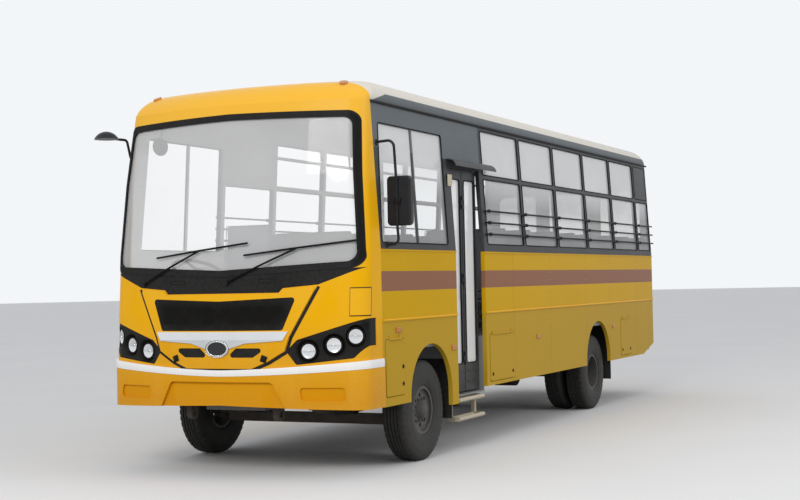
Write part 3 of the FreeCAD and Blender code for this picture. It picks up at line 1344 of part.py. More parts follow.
def cross_members():
    """Bars between the frame rails."""
    members = []
    stations = ("-rail_front + member_breadth / 2", "-engine_front + engine_length + member_breadth", "tank_front",
                "wheelbase / 2 + tank_length", "wheelbase - rear_spring_half - member_breadth",
                "wheelbase + rear_spring_half + member_breadth", "wheelbase + rail_rear - member_breadth / 2")
    for i, station in enumerate(stations):
        members.append(block(
            f"member_{i}", ("-rail_centre - rail_breadth / 2 + rail_web", "rail_centre + rail_breadth / 2 - rail_web"),
            (f"{station} - member_breadth / 2", f"{station} + member_breadth / 2"),
            ("(rail_base + rail_top - member_depth) / 2", "(rail_base + rail_top + member_depth) / 2")))
    return hand_in(group("CrossMembers", members), "cross_members")


def chassis():
    """Two frame rails with their towing eyes and the hangers of the springs."""
    rails = [channel("rail_left", 1), channel("rail_right", -1)]
    eyes = []
    for end, outward in (("-rail_front", -1), ("wheelbase + rail_rear", 1)):
        for side in (1, -1):
            name = f"eye_{outward}_{side}".replace("-", "m")
            y_eye = f"{end} - ({outward}) * eye_inset"
            x_eye = f"{side} * rail_centre - eye_length / 2"
            z_eye = "rail_base - eye_drop"
            ring = rod(name + "_ring", ALONG_X, (x_eye, y_eye, z_eye), "eye_length", "eye_outer")
            tongue = block(name + "_tongue", (x_eye, x_eye + " + eye_length"),
                           (f"{y_eye} - eye_outer", f"{y_eye} + eye_outer"), (z_eye, "rail_base"))
            solid = fuse(name + "_solid", [ring, tongue])
            bore = rod(name + "_bore", ALONG_X, (f"{x_eye} - reach / 2", y_eye, z_eye), "eye_length + reach", "eye_radius")
            eyes.append(cut(name, solid, bore))
    hangers = []
    for axle, half, label in (("0", "front_spring_half", "front"), ("wheelbase", "rear_spring_half", "rear")):
        for side in (1, -1):
            for end in (-1, 1):
                station = f"{axle} + {end} * {half}"
                hangers.append(block(
                    f"hanger_{label}_{side}_{end}".replace("-", "m"),
                    (f"{side} * rail_centre - leaf_breadth / 2", f"{side} * rail_centre + leaf_breadth / 2"),
                    (f"{station} - leaf_stack", f"{station} + leaf_stack"),
                    (spring_top(label), "rail_base")))
    return hand_in(fuse("ChassisFrame", rails + eyes + hangers), "chassis_frame")


def spring_seat(label):
    """Height of the spring's underside on its axle."""
    if label == "front":
        return "tyre_radius - axle_drop + axle_depth / 2"
    return "tyre_radius + tube_radius + seat_gap"


def spring_top(label):
    return f"{spring_seat(label)} + spring_sag + leaf_end"


def springs():
    """Leaf springs: thick at the seat, thin and raised at the ends."""
    leaves = []
    for axle, half, label in ((0, S.front_spring_half, "front"), (S.wheelbase, S.rear_spring_half, "rear")):
        seat = S.tyre_radius - S.axle_drop + S.axle_depth / 2
        if label == "rear":
            seat = S.tyre_radius + S.tube_radius + S.seat_gap
        ends = seat + S.spring_sag
        flat = S.leaf_stack
        for side in (1, -1):
            x = side * S.rail_centre - S.leaf_breadth / 2
            top = Part.Arc(Vector(x, axle - half, ends + S.leaf_end), Vector(x, axle, seat + S.leaf_stack),
                           Vector(x, axle + half, ends + S.leaf_end)).toShape()
            low_left = Part.Arc(
                Vector(x, axle - half, ends), Vector(x, axle - half / 2, seat + S.spring_sag / 4),
                Vector(x, axle - flat, seat)).toShape()
            low_right = Part.Arc(
                Vector(x, axle + flat, seat), Vector(x, axle + half / 2, seat + S.spring_sag / 4),
                Vector(x, axle + half, ends)).toShape()
            lines = [Part.makeLine(Vector(x, axle - flat, seat), Vector(x, axle + flat, seat)),
                     Part.makeLine(Vector(x, axle - half, ends), Vector(x, axle - half, ends + S.leaf_end)),
                     Part.makeLine(Vector(x, axle + half, ends), Vector(x, axle + half, ends + S.leaf_end))]
            profile = Part.Wire(Part.__sortEdges__([top, low_left, low_right] + lines))
            leaves.append(prism(profile, Vector(S.leaf_breadth, 0, 0)))
    return hand_in(shape("LeafSprings", Part.makeCompound(leaves)), "leaf_springs")


def front_axle():
    """Beam axle with a raised end at each kingpin."""
    middle = "tyre_radius - axle_drop"
    beam = block("axle_beam", ("-kingpin + boss_radius / 2", "kingpin - boss_radius / 2"),
                 ("-axle_breadth / 2", "axle_breadth / 2"),
                 (f"{middle} - axle_depth / 2", f"{middle} + axle_depth / 2"))
    pieces = [beam]
    bores = []
    for side in (1, -1):
        tag = "left" if side > 0 else "right"
        inner = "kingpin - 2 * boss_sweep" if side > 0 else "-kingpin - boss_radius / 2"
        outer = "kingpin + boss_radius / 2" if side > 0 else "-kingpin + 2 * boss_sweep"
        pieces.append(block(f"axle_rise_{tag}", (inner, outer), ("-axle_breadth / 2", "axle_breadth / 2"),
                            (f"{middle} - axle_depth / 2", "tyre_radius + boss_half")))
        pieces.append(rod(f"axle_boss_{tag}", ALONG_Z, (f"{side} * kingpin", "0", "tyre_radius - boss_half"),
                          "2 * boss_half", "boss_radius"))
        bores.append(rod(f"axle_bore_{tag}", ALONG_Z, (f"{side} * kingpin", "0", "tyre_radius - axle_drop - reach / 2"),
                         "reach", "kingpin_radius + seat_gap"))
    solid = fuse("axle_solid", pieces)
    trims = []
    for side in (1, -1):
        tag = "left" if side > 0 else "right"
        x = ("kingpin - boss_sweep", "kingpin + reach") if side > 0 else ("-kingpin - reach", "-kingpin + boss_sweep")
        trims.append(block(f"axle_trim_{tag}", x, ("-axle_breadth", "axle_breadth"),
                           ("0", "tyre_radius - boss_half")))
    return hand_in(cut("FrontAxle", solid, group("axle_cuts", bores + trims)), "front_axle")


def knuckle(side):
    """Forked knuckle with its kingpin and the wheel spindle."""
    tag = "left" if side > 0 else "right"
    pin = rod(f"pin_{tag}", ALONG_Z, (f"{side} * kingpin", "0", "tyre_radius - pin_half"), "2 * pin_half", "kingpin_radius")
    forks = []
    for level, low, high in (("upper", "tyre_radius + boss_half + fork_gap", "tyre_radius + boss_half + fork_gap + fork_plate"),
                             ("lower", "tyre_radius - boss_half - fork_gap - fork_plate", "tyre_radius - boss_half - fork_gap")):
        near, far = ("kingpin - boss_radius", "kingpin + boss_radius + fork_gap + fork_plate")
        x = (near, far) if side > 0 else (f"-({far})", f"-({near})")
        forks.append(block(f"fork_{level}_{tag}", x, ("-boss_radius", "boss_radius"), (low, high)))
    near, far = ("kingpin + boss_radius + fork_gap", "kingpin + boss_radius + fork_gap + fork_plate")
    x = (near, far) if side > 0 else (f"-({far})", f"-({near})")
    web = block(f"web_{tag}", x, ("-boss_radius", "boss_radius"),
                ("tyre_radius - boss_half - fork_gap - fork_plate", "tyre_radius + boss_half + fork_gap + fork_plate"))
    root = "kingpin + boss_radius + fork_gap"
    start = root if side > 0 else f"-({root} + spindle_length)"
    spindle = rod(f"spindle_{tag}", ALONG_X, (start, "0", "tyre_radius"), "spindle_length", "spindle_radius")
    return hand_in(fuse(f"Knuckle{tag.title()}", [pin, web, spindle] + forks), f"knuckle_{tag}")


def rear_axle():
    half = "(rear_track_half - twin_spacing / 2 - hub_back - fork_gap)"
    tube = rod("rear_tube", ALONG_X, (f"-{half}", "wheelbase", "tyre_radius"), f"2 * {half}", "tube_radius")
    stub = rod("rear_stub", ALONG_X, ("-rear_track_half", "wheelbase", "tyre_radius"), "2 * rear_track_half", "spindle_radius")
    centre = rod("rear_centre", ALONG_X, ("-diff_width / 2", "wheelbase", "tyre_radius"), "diff_width", "diff_radius")
    nose = rod("rear_nose", ALONG_Y, ("0", "wheelbase - diff_nose", "tyre_radius"), "diff_nose", "diff_nose_radius")
    seats = [block(f"rear_seat_{tag}", (f"{side} * rail_centre - leaf_breadth / 2", f"{side} * rail_centre + leaf_breadth / 2"),
                   ("wheelbase - leaf_stack", "wheelbase + leaf_stack"),
                   ("tyre_radius", "tyre_radius + tube_radius + seat_gap")) for side, tag in ((1, "left"), (-1, "right"))]
    return hand_in(fuse("RearAxle", [tube, stub, centre, nose] + seats), "rear_axle")


def propeller_shaft():
    start = Vector(0, -S.engine_front + S.engine_length, S.shaft_start)
    end = Vector(0, S.wheelbase - S.diff_nose, S.tyre_radius)
    run = end - start
    tube = Part.makeCylinder(S.shaft_radius, run.Length, start, run)
    joint = Part.makeCylinder(S.joint_radius, S.shaft_radius, start + run * SHAFT_JOINT_SHARE, run)
    ends = box_between((-LIMIT, start.y, 0), (LIMIT, end.y, SKY))
    return hand_in(shape("PropellerShaft", one(tube.fuse(joint).common(ends).removeSplitter())), "propeller_shaft")


def engine():
    mass = block("engine_block", ("-engine_width / 2", "engine_width / 2"),
                 ("-engine_front", "-engine_front + engine_length"), ("engine_base", "engine_top"))
    return hand_in(group("Engine", [mass]), "engine")


def fuel_tank():
    """Tank on the right rail, in two straps."""
    outer = "-rail_centre - rail_breadth / 2"
    tank = block("tank_block", (f"{outer} - tank_width", outer), ("tank_front", "tank_front + tank_length"),
                 ("tank_base", "tank_base + tank_height"))
    soft = doc.addObject("Part::Fillet", "tank_soft")
    soft.Base = tank
    doc.recompute()
    edges = [i + 1 for i, edge in enumerate(tank.Shape.Edges)
             if abs(edge.tangentAt(edge.FirstParameter).y) > 0.9]
    soft.Edges = [(i, S.tank_corner, S.tank_corner) for i in edges]
    return hand_in(soft, "fuel_tank")


def mud_flaps():
    """Flaps behind the wheels: the front pair under a floor bearer, the rear pair under the floor."""
    flaps = []
    for axle, label, top in (("0", "front", "rail_top"), ("wheelbase", "rear", "floor_base")):
        for side in (1, -1):
            outer = f"{side} * inner_half"
            inner = f"{side} * (inner_half - flap_width)"
            x = (inner, outer) if side > 0 else (outer, inner)
            flaps.append(block(f"mud_{label}_{side_name(side)}", x,
                               (f"{axle} + flap_back", f"{axle} + flap_back + flap_thickness"), ("flap_low", top)))
    return hand_in(group("MudFlaps", flaps), "mud_flaps")


# Floor and entrance.

def column_socket():
    """Socket on the floor that the steering column turns in."""
    down, foot = column_line()
    outer = S.column_radius + S.column_socket
    tube = Part.makeCylinder(outer, S.socket_length + S.reach, foot - down * S.socket_length, down)
    bore = Part.makeCylinder(S.column_radius + S.seat_gap, S.socket_length + S.reach, foot, -down)
    below = box_between((-LIMIT, -P.foremost, -S.reach), (LIMIT, P.rear_wall, S.floor_top))
    return shape("column_socket", one(tube.cut(bore).cut(below)))


def floor():
    """Floor with its bearers, the engine cover and the entrance steps."""
    inside = box_between((-LIMIT, -S.floor_front, P.floor_base), (LIMIT, P.rear_wall, S.floor_top))
    plate = shape("floor_plate", form(S.wall).common(inside))
    well = block("floor_well", ("well_inner", "inner_half"), ("door_front", "door_rear"),
                 ("floor_base - reach", "floor_top + reach"))
    pit = block("floor_pit", ("-tunnel_half", "tunnel_half"), ("-floor_front", "-tunnel_rear"),
                ("floor_base - reach", "floor_top + reach"))
    open_plate = cut("floor_open", plate, group("floor_holes", [well, pit]))
    cover = cut("engine_cover",
                block("cover_outer", ("-tunnel_half - well_sheet", "tunnel_half + well_sheet"),
                      ("-seam", "-tunnel_rear + well_sheet"), ("floor_base", "tunnel_top")),
                block("cover_inner", ("-tunnel_half", "tunnel_half"), ("-floor_front", "-tunnel_rear"),
                      ("floor_base - reach", "tunnel_top - well_sheet")))
    bearers = []
    stations = ("-seam + bearer_breadth / 2", "-tunnel_rear", "door_front - bearer_breadth", "door_rear + bearer_breadth",
                "door_rear + bay_pitch", "door_rear + 2 * bay_pitch", "wheelbase - rear_spring_half - 2 * bearer_breadth",
                "wheelbase + rear_spring_half + 2 * bearer_breadth", "rear_wall - wall - bearer_breadth")
    for i, station in enumerate(stations):
        half = "rail_centre + rail_breadth" if i == 1 else "inner_half"
        low = "rail_top"
        bearers.append(block(f"bearer_{i}", (f"-({half})", half),
                             (f"{station} - bearer_breadth / 2", f"{station} + bearer_breadth / 2"), (low, "floor_base")))
    clear = block("bearer_clear", ("-tunnel_half", "tunnel_half"), ("-floor_front", "-tunnel_rear"), ("rail_top", "floor_base"))
    below = box_between((-LIMIT, -S.floor_front - S.reach, P.rail_top), (LIMIT, P.rear_wall, P.floor_base))
    within = shape("bearer_room", form(S.wall).common(below))
    frame = cut("bearer_frame", common("bearer_trim", fuse("bearer_all", bearers), within), clear)
    steps = []
    steps.append(block("step_low", ("well_tread", "inner_half"), ("door_front", "door_rear"),
                       ("door_sill - well_sheet", "door_sill")))
    steps.append(block("step_riser", ("well_tread", "well_tread + well_sheet"), ("door_front", "door_rear"),
                       ("door_sill - well_sheet", "door_sill + well_step")))
    steps.append(block("step_mid", ("well_inner", "well_tread + well_sheet"), ("door_front", "door_rear"),
                       ("door_sill + well_step - well_sheet", "door_sill + well_step")))
    steps.append(block("step_back", ("well_inner", "well_inner + well_sheet"), ("door_front", "door_rear"),
                       ("door_sill + well_step - well_sheet", "floor_top")))
    for edge, low, high in (("front", "door_front - well_sheet", "door_front"), ("rear", "door_rear", "door_rear + well_sheet")):
        steps.append(block(f"step_cheek_{edge}", ("well_tread", "inner_half"), (low, high),
                           ("door_sill - well_sheet", "floor_top")))
        steps.append(block(f"step_cheek_inner_{edge}", ("well_inner", "well_tread + well_sheet"), (low, high),
                           ("door_sill + well_step - well_sheet", "floor_top")))
    solid = fuse("floor_solid", [open_plate, cover, frame, column_socket()] + steps)
    bore = rod("floor_bore", ALONG_Z, ("leaf_pin", "leaf_start + leaf_hinge_inset", "door_sill - reach / 2"), "reach",
               "leaf_pin_radius + seat_gap")
    return hand_in(cut("Floor", solid, bore), "floor")


def foot_step():
    """Two treads of round tube, the lower one hung on rods, under the door."""
    tubes = []
    for level, height in (("top", "foot_top"), ("low", "foot_low")):
        for row, out in (("outer", "foot_face - foot_tube"), ("inner", "foot_face - foot_width")):
            tubes.append(rod(f"foot_{level}_{row}", ALONG_Y, (out, "foot_front", f"{height} - foot_tube"),
                             "foot_rear - foot_front", "foot_tube"))
    for end, station in (("front", "foot_front"), ("rear", "foot_rear - 2 * foot_tube")):
        for level, height in (("top", "foot_top"), ("low", "foot_low")):
            tubes.append(block(f"foot_cheek_{level}_{end}", ("foot_face - foot_width", "foot_face - foot_tube"),
                               (station, f"{station} + 2 * foot_tube"), (f"{height} - 2 * foot_tube", height)))
        tubes.append(block(f"foot_hanger_{end}", ("foot_face - foot_width - foot_tube", "foot_face - foot_width + foot_tube"),
                           (station, f"{station} + 2 * foot_tube"), ("foot_low - foot_tube", "door_sill - well_sheet")))
    return hand_in(fuse("FootStep", tubes), "foot_step")


# Wheels.

def revolved(name, corners):
    """A body turned about X from corners given as (along X, radius) formulas."""
    body = doc.addObject("PartDesign::Body", name)
    sketch = sketch_on(body, name + "_profile", "XY_Plane")
    count = len(corners)
    numbers = [(number(a), number(b)) for a, b in corners]
    for i in range(count):
        a, b = numbers[i], numbers[(i + 1) % count]
        sketch.addGeometry(Part.LineSegment(Vector(a[0], a[1], 0), Vector(b[0], b[1], 0)), False)
    for i in range(count):
        sketch.addConstraint(Sketcher.Constraint("Coincident", i, 2, (i + 1) % count, 1))
    for i, (along, radius) in enumerate(corners):
        for kind, formula, value in (("DistanceX", along, numbers[i][0]), ("DistanceY", radius, numbers[i][1])):
            index = sketch.addConstraint(Sketcher.Constraint(kind, -1, 1, i, 1, value))
            sketch.setExpression(f"Constraints[{index}]", bound(formula))
    turn = body.newObject("PartDesign::Revolution", name + "_turn")
    turn.Profile = sketch
    turn.ReferenceAxis = (sketch, ["H_Axis"])
    turn.Angle = 360
    body.Tip = turn
    return body


def number(formula):
    """The present value of a formula in named sizes."""
    return float(places.evalExpression(bound(formula)))


def tyre(name):
    """Tyre with a flat crown, rounded shoulders and bulging sides."""
    half = "tyre_width / 2"
    bulge = "(tyre_radius + rim_radius) / 2"
    side = [
        (f"{half} * {TREAD_SHARE}", "tyre_radius"),
        (f"{half} * {SHOULDER_SHARE}", "tyre_radius - shoulder_drop / 3"),
        (f"{half} * {BULGE_SHARE}", "tyre_radius - shoulder_drop * 2"),
        (half, bulge),
        (f"{half} * {BEAD_SHARE}", "rim_radius + shoulder_drop"),
        (f"{half} * {RIM_SHARE}", "rim_radius"),
    ]
    return revolved(name, side + [(f"-({along})", radius) for along, radius in reversed(side)])


def disc(name, face, joint, hub=True):
    """Steel disc rim with hand holes; face and joint are measured from the tyre's middle."""
    half = f"tyre_width * {RIM_SHARE} / 2"
    bed = "rim_radius - rim_well"
    back = f"{face} - disc_sheet"
    corners = [(f"-({half})", "rim_radius - seat_gap"), (half, "rim_radius - seat_gap"), (half, bed), (joint, bed),
               (face, "disc_radius"), (face, "hub_radius")]
    if hub:
        corners += [
            (f"{face} + hub_proud", "hub_cap_radius"), (f"{face} + hub_proud", "spindle_radius + seat_gap"),
            (f"{back} - hub_back", "spindle_radius + seat_gap"), (f"{back} - hub_back", "hub_cap_radius"),
            (back, "hub_cap_radius"), (back, "disc_radius")]
    else:
        corners += [(back, "hub_radius"), (back, "disc_radius")]
    corners += [(f"{joint} - 2 * disc_sheet", bed), (f"-({half})", bed)]
    body = revolved(name, corners)
    doc.recompute()
    whole = body.Shape.Volume
    sketch = sketch_on(body, name + "_hand", "YZ_Plane")
    circle = sketch.addGeometry(Part.Circle(Vector(0, S.hand_ring, 0), Vector(0, 0, 1), S.hand_radius), False)
    ring = sketch.addConstraint(Sketcher.Constraint("DistanceY", -1, 1, circle, 3, S.hand_ring))
    sketch.setExpression(f"Constraints[{ring}]", bound("hand_ring"))
    sketch.addConstraint(Sketcher.Constraint("PointOnObject", circle, 3, -2))
    width = sketch.addConstraint(Sketcher.Constraint("Radius", circle, S.hand_radius))
    sketch.setExpression(f"Constraints[{width}]", bound("hand_radius"))
    pocket = body.newObject("PartDesign::Pocket", name + "_hole")
    pocket.Profile = sketch
    pocket.Type = "ThroughAll"
    pocket.Midplane = True
    doc.recompute()
    pattern = body.newObject("PartDesign::PolarPattern", name + "_holes")
    pattern.Originals = [pocket]
    pattern.Axis = (sketch, ["N_Axis"])
    pattern.Angle = 360
    pattern.Occurrences = HAND_HOLES
    body.Tip = pattern
    doc.recompute()
    if body.Shape.Volume >= whole:
        raise ValueError(f"{name} has no hand holes")
    return body


HALF_TURN = FreeCAD.Placement(Vector(), FreeCAD.Rotation(Vector(0, 0, 1), 180))


def wheels():
    """Front wheels with one tyre, rear wheels with two on one hub."""
    for tag, side in (("left", 1), ("right", -1)):
        tyre_item = tyre(f"TyreFront_{tag}")
        put(tyre_item, f"{side} * front_track_half", "middle_shift", "tyre_radius")
        tyre_item.Label = f"tyre_front_{tag}"
        rim_item = disc(f"RimFront_{tag}", "front_dish", "front_dish + disc_sheet / 2")
        if side < 0:
            rim_item.Placement = HALF_TURN
        put(rim_item, f"{side} * front_track_half", "middle_shift", "tyre_radius")
        rim_item.Label = f"rim_front_{tag}"
        SUB_PARTS.extend([tyre_item, rim_item])

        tyres, rims = [], []
        for i, centre in enumerate(("rear_track_half", "rear_track_half - twin_spacing")):
            one_tyre = tyre(f"TyreRear_{tag}_{i}")
            put(one_tyre, f"{side} * ({centre})", "wheelbase", "tyre_radius")
            tyres.append(one_tyre)
        outer_rim = disc(f"RimRear_{tag}", "-twin_dish", "-twin_joint")
        if side < 0:
            outer_rim.Placement = HALF_TURN
        put(outer_rim, f"{side} * rear_track_half", "wheelbase", "tyre_radius")
        inner_rim = disc(f"RimInner_{tag}", "-twin_dish", "-twin_joint", hub=False)
        if side > 0:
            inner_rim.Placement = HALF_TURN
        put(inner_rim, f"{side} * (rear_track_half - twin_spacing)", "wheelbase", "tyre_radius")
        hand_in(group(f"TyresRear_{tag}", tyres), f"tyres_rear_{tag}")
        hand_in(group(f"RimsRear_{tag}", [outer_rim, inner_rim]), f"rims_rear_{tag}")


# Mirrors, wipers and the cabin.

def pipe(points, radius, bend):
    """A round tube through points, with an arc at each bend."""
    edges = []
    start = points[0]
    for i in range(1, len(points) - 1):
        back = points[i - 1] - points[i]
        ahead = points[i + 1] - points[i]
        turn = math.pi - back.getAngle(ahead)
        room = min(back.Length, ahead.Length) * 0.45
        arc_radius = min(bend, room / math.tan(turn / 2))
        run = arc_radius * math.tan(turn / 2)
        back.normalize()
        ahead.normalize()
        a, c = points[i] + back * run, points[i] + ahead * run
        middle = points[i] + (back + ahead).normalize() * (arc_radius / math.cos(turn / 2) - arc_radius)
        edges.append(Part.LineSegment(start, a).toShape())
        edges.append(Part.Arc(a, middle, c).toShape())
        start = c
    edges.append(Part.LineSegment(start, points[-1]).toShape())
    path = Part.Wire(edges)
    ring = Part.Wire([Part.Circle(points[0], points[1] - points[0], radius).toShape()])
    return path.makePipeShell([ring], True, False, 2)


def mirrors():
    """Tall mirror on a long bent tube at the left, round mirror ahead of the right pillar."""
    pieces = []
    x_out = S.mirror_reach - S.mirror_width
    head = box_between((x_out, -S.mirror_ahead - S.mirror_depth, S.mirror_low),
                       (S.mirror_reach, -S.mirror_ahead, S.mirror_low + S.mirror_height))
    uprights = [edge for edge in head.Edges if abs(edge.tangentAt(edge.FirstParameter).y) > 0.9]
    head = head.makeFillet(S.mirror_width / 6, uprights)
    front = [edge for edge in head.Edges if abs(edge.CenterOfMass.y + S.mirror_ahead + S.mirror_depth) < 1e-3]
    head = head.makeFillet(S.mirror_depth / 4, front)
    spine = x_out + S.mirror_width * 0.45
    ahead = -S.mirror_ahead - S.mirror_depth - S.arm_radius / 2
    arm = pipe([
        Vector(frame_face(S.arm_top) - S.wall / 2, -S.arm_top_ahead, S.arm_top),
        Vector(spine, -S.arm_top_ahead, S.arm_top + S.arm_radius),
        Vector(spine, ahead, S.mirror_low + S.mirror_height * 0.8),
        Vector(spine, ahead, S.mirror_low - S.arm_radius),
        Vector(spine, -S.arm_low_ahead, S.arm_low),
        Vector(frame_face(S.arm_low) - S.wall / 2, -S.arm_low_ahead, S.arm_low),
    ], S.arm_radius, S.mirror_width / 4)
    feet = []
    for height, foot_y in ((S.arm_top, -S.arm_top_ahead), (S.arm_low, -S.arm_low_ahead)):
        start = Vector(frame_face(height) - S.arm_radius, foot_y, height)
        feet.append(Part.makeCylinder(S.arm_radius * 2.4, S.arm_radius * 2, start, Vector(1, 0, 0)))
    pieces.append(one(arm.fuse([head] + feet).cut(form(0, "left"))))

    cap_radius = S.convex_radius * math.sqrt(1 - CONVEX_CUT_SHARE ** 2)
    x_head = -(S.convex_reach - cap_radius)
    rim_height = S.convex_height - S.convex_radius * (1 - CONVEX_CUT_SHARE) / 2
    bowl = Part.makeSphere(S.convex_radius, Vector(x_head, -S.convex_ahead, rim_height - S.convex_radius * CONVEX_CUT_SHARE))
    slab = box_between((-LIMIT - S.reach, -P.foremost - S.reach, rim_height), (0, 0, S.convex_height + S.convex_radius))
    bowl = bowl.common(slab)
    foot_x = -frame_face(S.convex_foot_height)
    arm = pipe([
        Vector(foot_x + S.wall / 2, -S.convex_foot_ahead, S.convex_foot_height),
        Vector(foot_x - S.arm_radius * 4, -S.convex_foot_ahead, S.convex_foot_height),
        Vector(foot_x - S.arm_radius * 4, -S.convex_foot_ahead - S.convex_radius / 2, S.convex_height - S.convex_radius * 0.2),
        Vector(x_head, -S.convex_ahead, S.convex_height - S.convex_radius * 0.2),
    ], S.arm_radius, S.convex_radius / 3)
    foot = Part.makeCylinder(S.arm_radius * 2.4, S.arm_radius * 2,
                             Vector(foot_x + S.arm_radius, -S.convex_foot_ahead, S.convex_foot_height), Vector(-1, 0, 0))
    pieces.append(one(arm.fuse([bowl, foot]).cut(form(0, "nose"))))
    return hand_in(shape("Mirrors", Part.makeCompound(pieces)), "mirrors")


def wipers():
    """Two wipers parked low on the windscreen, both leaning to the left."""
    pieces = []
    for foot in (-S.wiper_foot_one, S.wiper_foot_two):
        tip_x, tip_z = foot + S.wiper_arm_run, S.wiper_foot_height + S.wiper_arm_rise
        stand = S.wiper_radius + S.wiper_stand

        def on_glass(x, z):
            return Vector(x, surface_y(x, z) - stand, z)

        base = on_glass(foot, S.wiper_foot_height)
        arm = pipe([base, on_glass((foot + tip_x) / 2, (S.wiper_foot_height + tip_z) / 2) - Vector(0, stand / 2, 0),
                    on_glass(tip_x, tip_z)], S.wiper_radius, S.wiper_arm_run)
        blade = pipe([
            on_glass(tip_x - S.wiper_blade_half, tip_z - S.wiper_blade_rise),
            on_glass(tip_x, tip_z),
            on_glass(tip_x + S.wiper_blade_half, tip_z + S.wiper_blade_rise)], S.wiper_radius, S.wiper_blade_half * 4)
        pivot = Part.makeCylinder(S.wiper_radius * 2.2, stand * 2.2, base - Vector(0, stand * 0.6, 0), Vector(0, 1, 0))
        pieces.append(one(arm.fuse([blade, pivot]).cut(form(0, "nose"))))
    return hand_in(shape("Wipers", Part.makeCompound(pieces)), "wipers")


def dashboard():
    """Shelf under the windscreen, with the panel behind it and the blocks of the bonnet's hinges."""
    shelf = form(S.wall, "nose").common(box_between((-LIMIT, -P.foremost, S.dash_shelf), (LIMIT, -S.seam, S.dash_top)))
    panel = form(S.wall, "nose").common(box_between((-LIMIT, -S.dash_front, S.dash_low), (LIMIT, -S.seam, S.dash_shelf)))
    moving, fixed, around_moving, around_fixed = bonnet_barrels()
    blocks = []
    for barrel in fixed:
        box = barrel.BoundBox
        blocks.append(box_between((box.XMin, box.Center.y - S.barrel_radius, box.Center.z), (box.XMax, box.Center.y + S.barrel_radius, S.dash_shelf)))
    return hand_in(shape("Dashboard", one(shelf.fuse([panel] + blocks + fixed))), "dashboard")


def column_line():
    """Direction of the steering column, and the middle of its lower end just over the floor."""
    tilt = math.radians(S.wheel_tilt)
    centre = Vector(-S.driver_side, -S.wheel_ahead, S.wheel_height)
    down = Vector(0, -math.sin(tilt), -math.cos(tilt))
    end_height = S.floor_top + S.column_radius * math.sin(tilt) + S.seat_gap
    return down, centre + down * ((S.wheel_height - end_height) / math.cos(tilt))


def steering_wheel():
    """Rim with three spokes on a column that runs down to its socket on the floor."""
    down, foot = column_line()
    centre = Vector(-S.driver_side, -S.wheel_ahead, S.wheel_height)
    rim = Part.makeTorus(S.wheel_rim_radius, S.wheel_rim_tube, centre, down)
    hub = Part.makeCylinder(S.column_radius * 2.2, S.wheel_rim_tube * 3, centre - down * S.wheel_rim_tube, down)
    column = Part.makeCylinder(S.column_radius, (foot - centre).Length, centre, down)
    spokes = []
    across = Vector(1, 0, 0)
    for turn in (90, 210, 330):
        direction = FreeCAD.Rotation(down, turn).multVec(across)
        spokes.append(Part.makeCylinder(S.wheel_rim_tube * 0.8, S.wheel_rim_radius, centre, direction))
    solid = rim.fuse([hub, column] + spokes)
    return hand_in(shape("SteeringWheel", one(solid)), "steering_wheel")


def bench(near, far, start):
    """Cushion and back of one bench, seen from the side."""
    low = S.floor_top + S.seat_height - S.seat_pad
    high = S.floor_top + S.seat_height
    points = [
        (start, low), (start + S.seat_depth + S.seat_pad, low),
        (start + S.seat_depth + S.seat_pad + S.seat_lean, high + S.seat_back),
        (start + S.seat_depth + S.seat_lean, high + S.seat_back),
        (start + S.seat_depth, high), (start, high),
    ]
    wire = rounded(points, [S.seat_pad / 3, S.seat_pad / 3, S.seat_pad / 3, S.seat_pad / 3, 0, S.seat_pad / 3], from_side)
    wire.translate(Vector(near, 0, 0))
    return prism(wire, Vector(far - near, 0, 0))


def bench_frame(near, far, start):
    """Cross bar under a cushion on two legs."""
    low = S.floor_top + S.seat_height - S.seat_pad
    middle = start + S.seat_depth / 2
    bar = box_between((near + S.leg_inset, middle - S.leg_tube, low - 2 * S.leg_tube), (far - S.leg_inset, middle + S.leg_tube, low))
    legs = []
    for x in (near + S.leg_inset, far - S.leg_inset - 2 * S.leg_tube):
        legs.append(box_between((x, middle - S.seat_depth / 3, S.floor_top), (x + 2 * S.leg_tube, middle + S.seat_depth / 3, S.floor_top + S.leg_tube)))
        legs.append(box_between((x, middle - S.leg_tube, S.floor_top), (x + 2 * S.leg_tube, middle + S.leg_tube, low)))
    return one(bar.fuse(legs).removeSplitter())


def seats():
    frames = []
    for side, count, first, label in ((1, LEFT_BENCHES, S.left_first_seat, "seats_left"),
                                      (-1, RIGHT_BENCHES, S.right_first_seat, "seats_right")):
        near, far = sorted((side * (P.inner_half - S.seat_wall_gap), side * (P.inner_half - S.seat_wall_gap - S.seat_width)))
        benches = [bench(near, far, first + i * S.seat_pitch) for i in range(count)]
        frames += [bench_frame(near, far, first + i * S.seat_pitch) for i in range(count)]
        hand_in(shape(label.title().replace("_", ""), Part.makeCompound(benches)), label)
    near, far = -S.driver_side - S.driver_width / 2, -S.driver_side + S.driver_width / 2
    driver = bench(near, far, -S.driver_seat_ahead)
    driver.translate(Vector(0, 0, S.driver_pad_height - S.floor_top - S.seat_height))
    hand_in(shape("DriverSeat", driver), "driver_seat")
    pedestal = box_between((near + S.leg_inset, -S.driver_seat_ahead + S.leg_inset, S.floor_top),
                           (far - S.leg_inset, -S.driver_seat_ahead + S.seat_depth - S.leg_inset, S.driver_pad_height - S.seat_pad))
    frames.append(pedestal)
    return hand_in(shape("SeatFrames", Part.makeCompound(frames)), "seat_frames")


def ceiling(x, y):
    """Height of the roof's inner face over a place on the floor."""
    line = Part.makeLine(Vector(x, y, S.grab_height), Vector(x, y, SKY))
    return line.common(form(S.wall, "roof")).BoundBox.ZMax


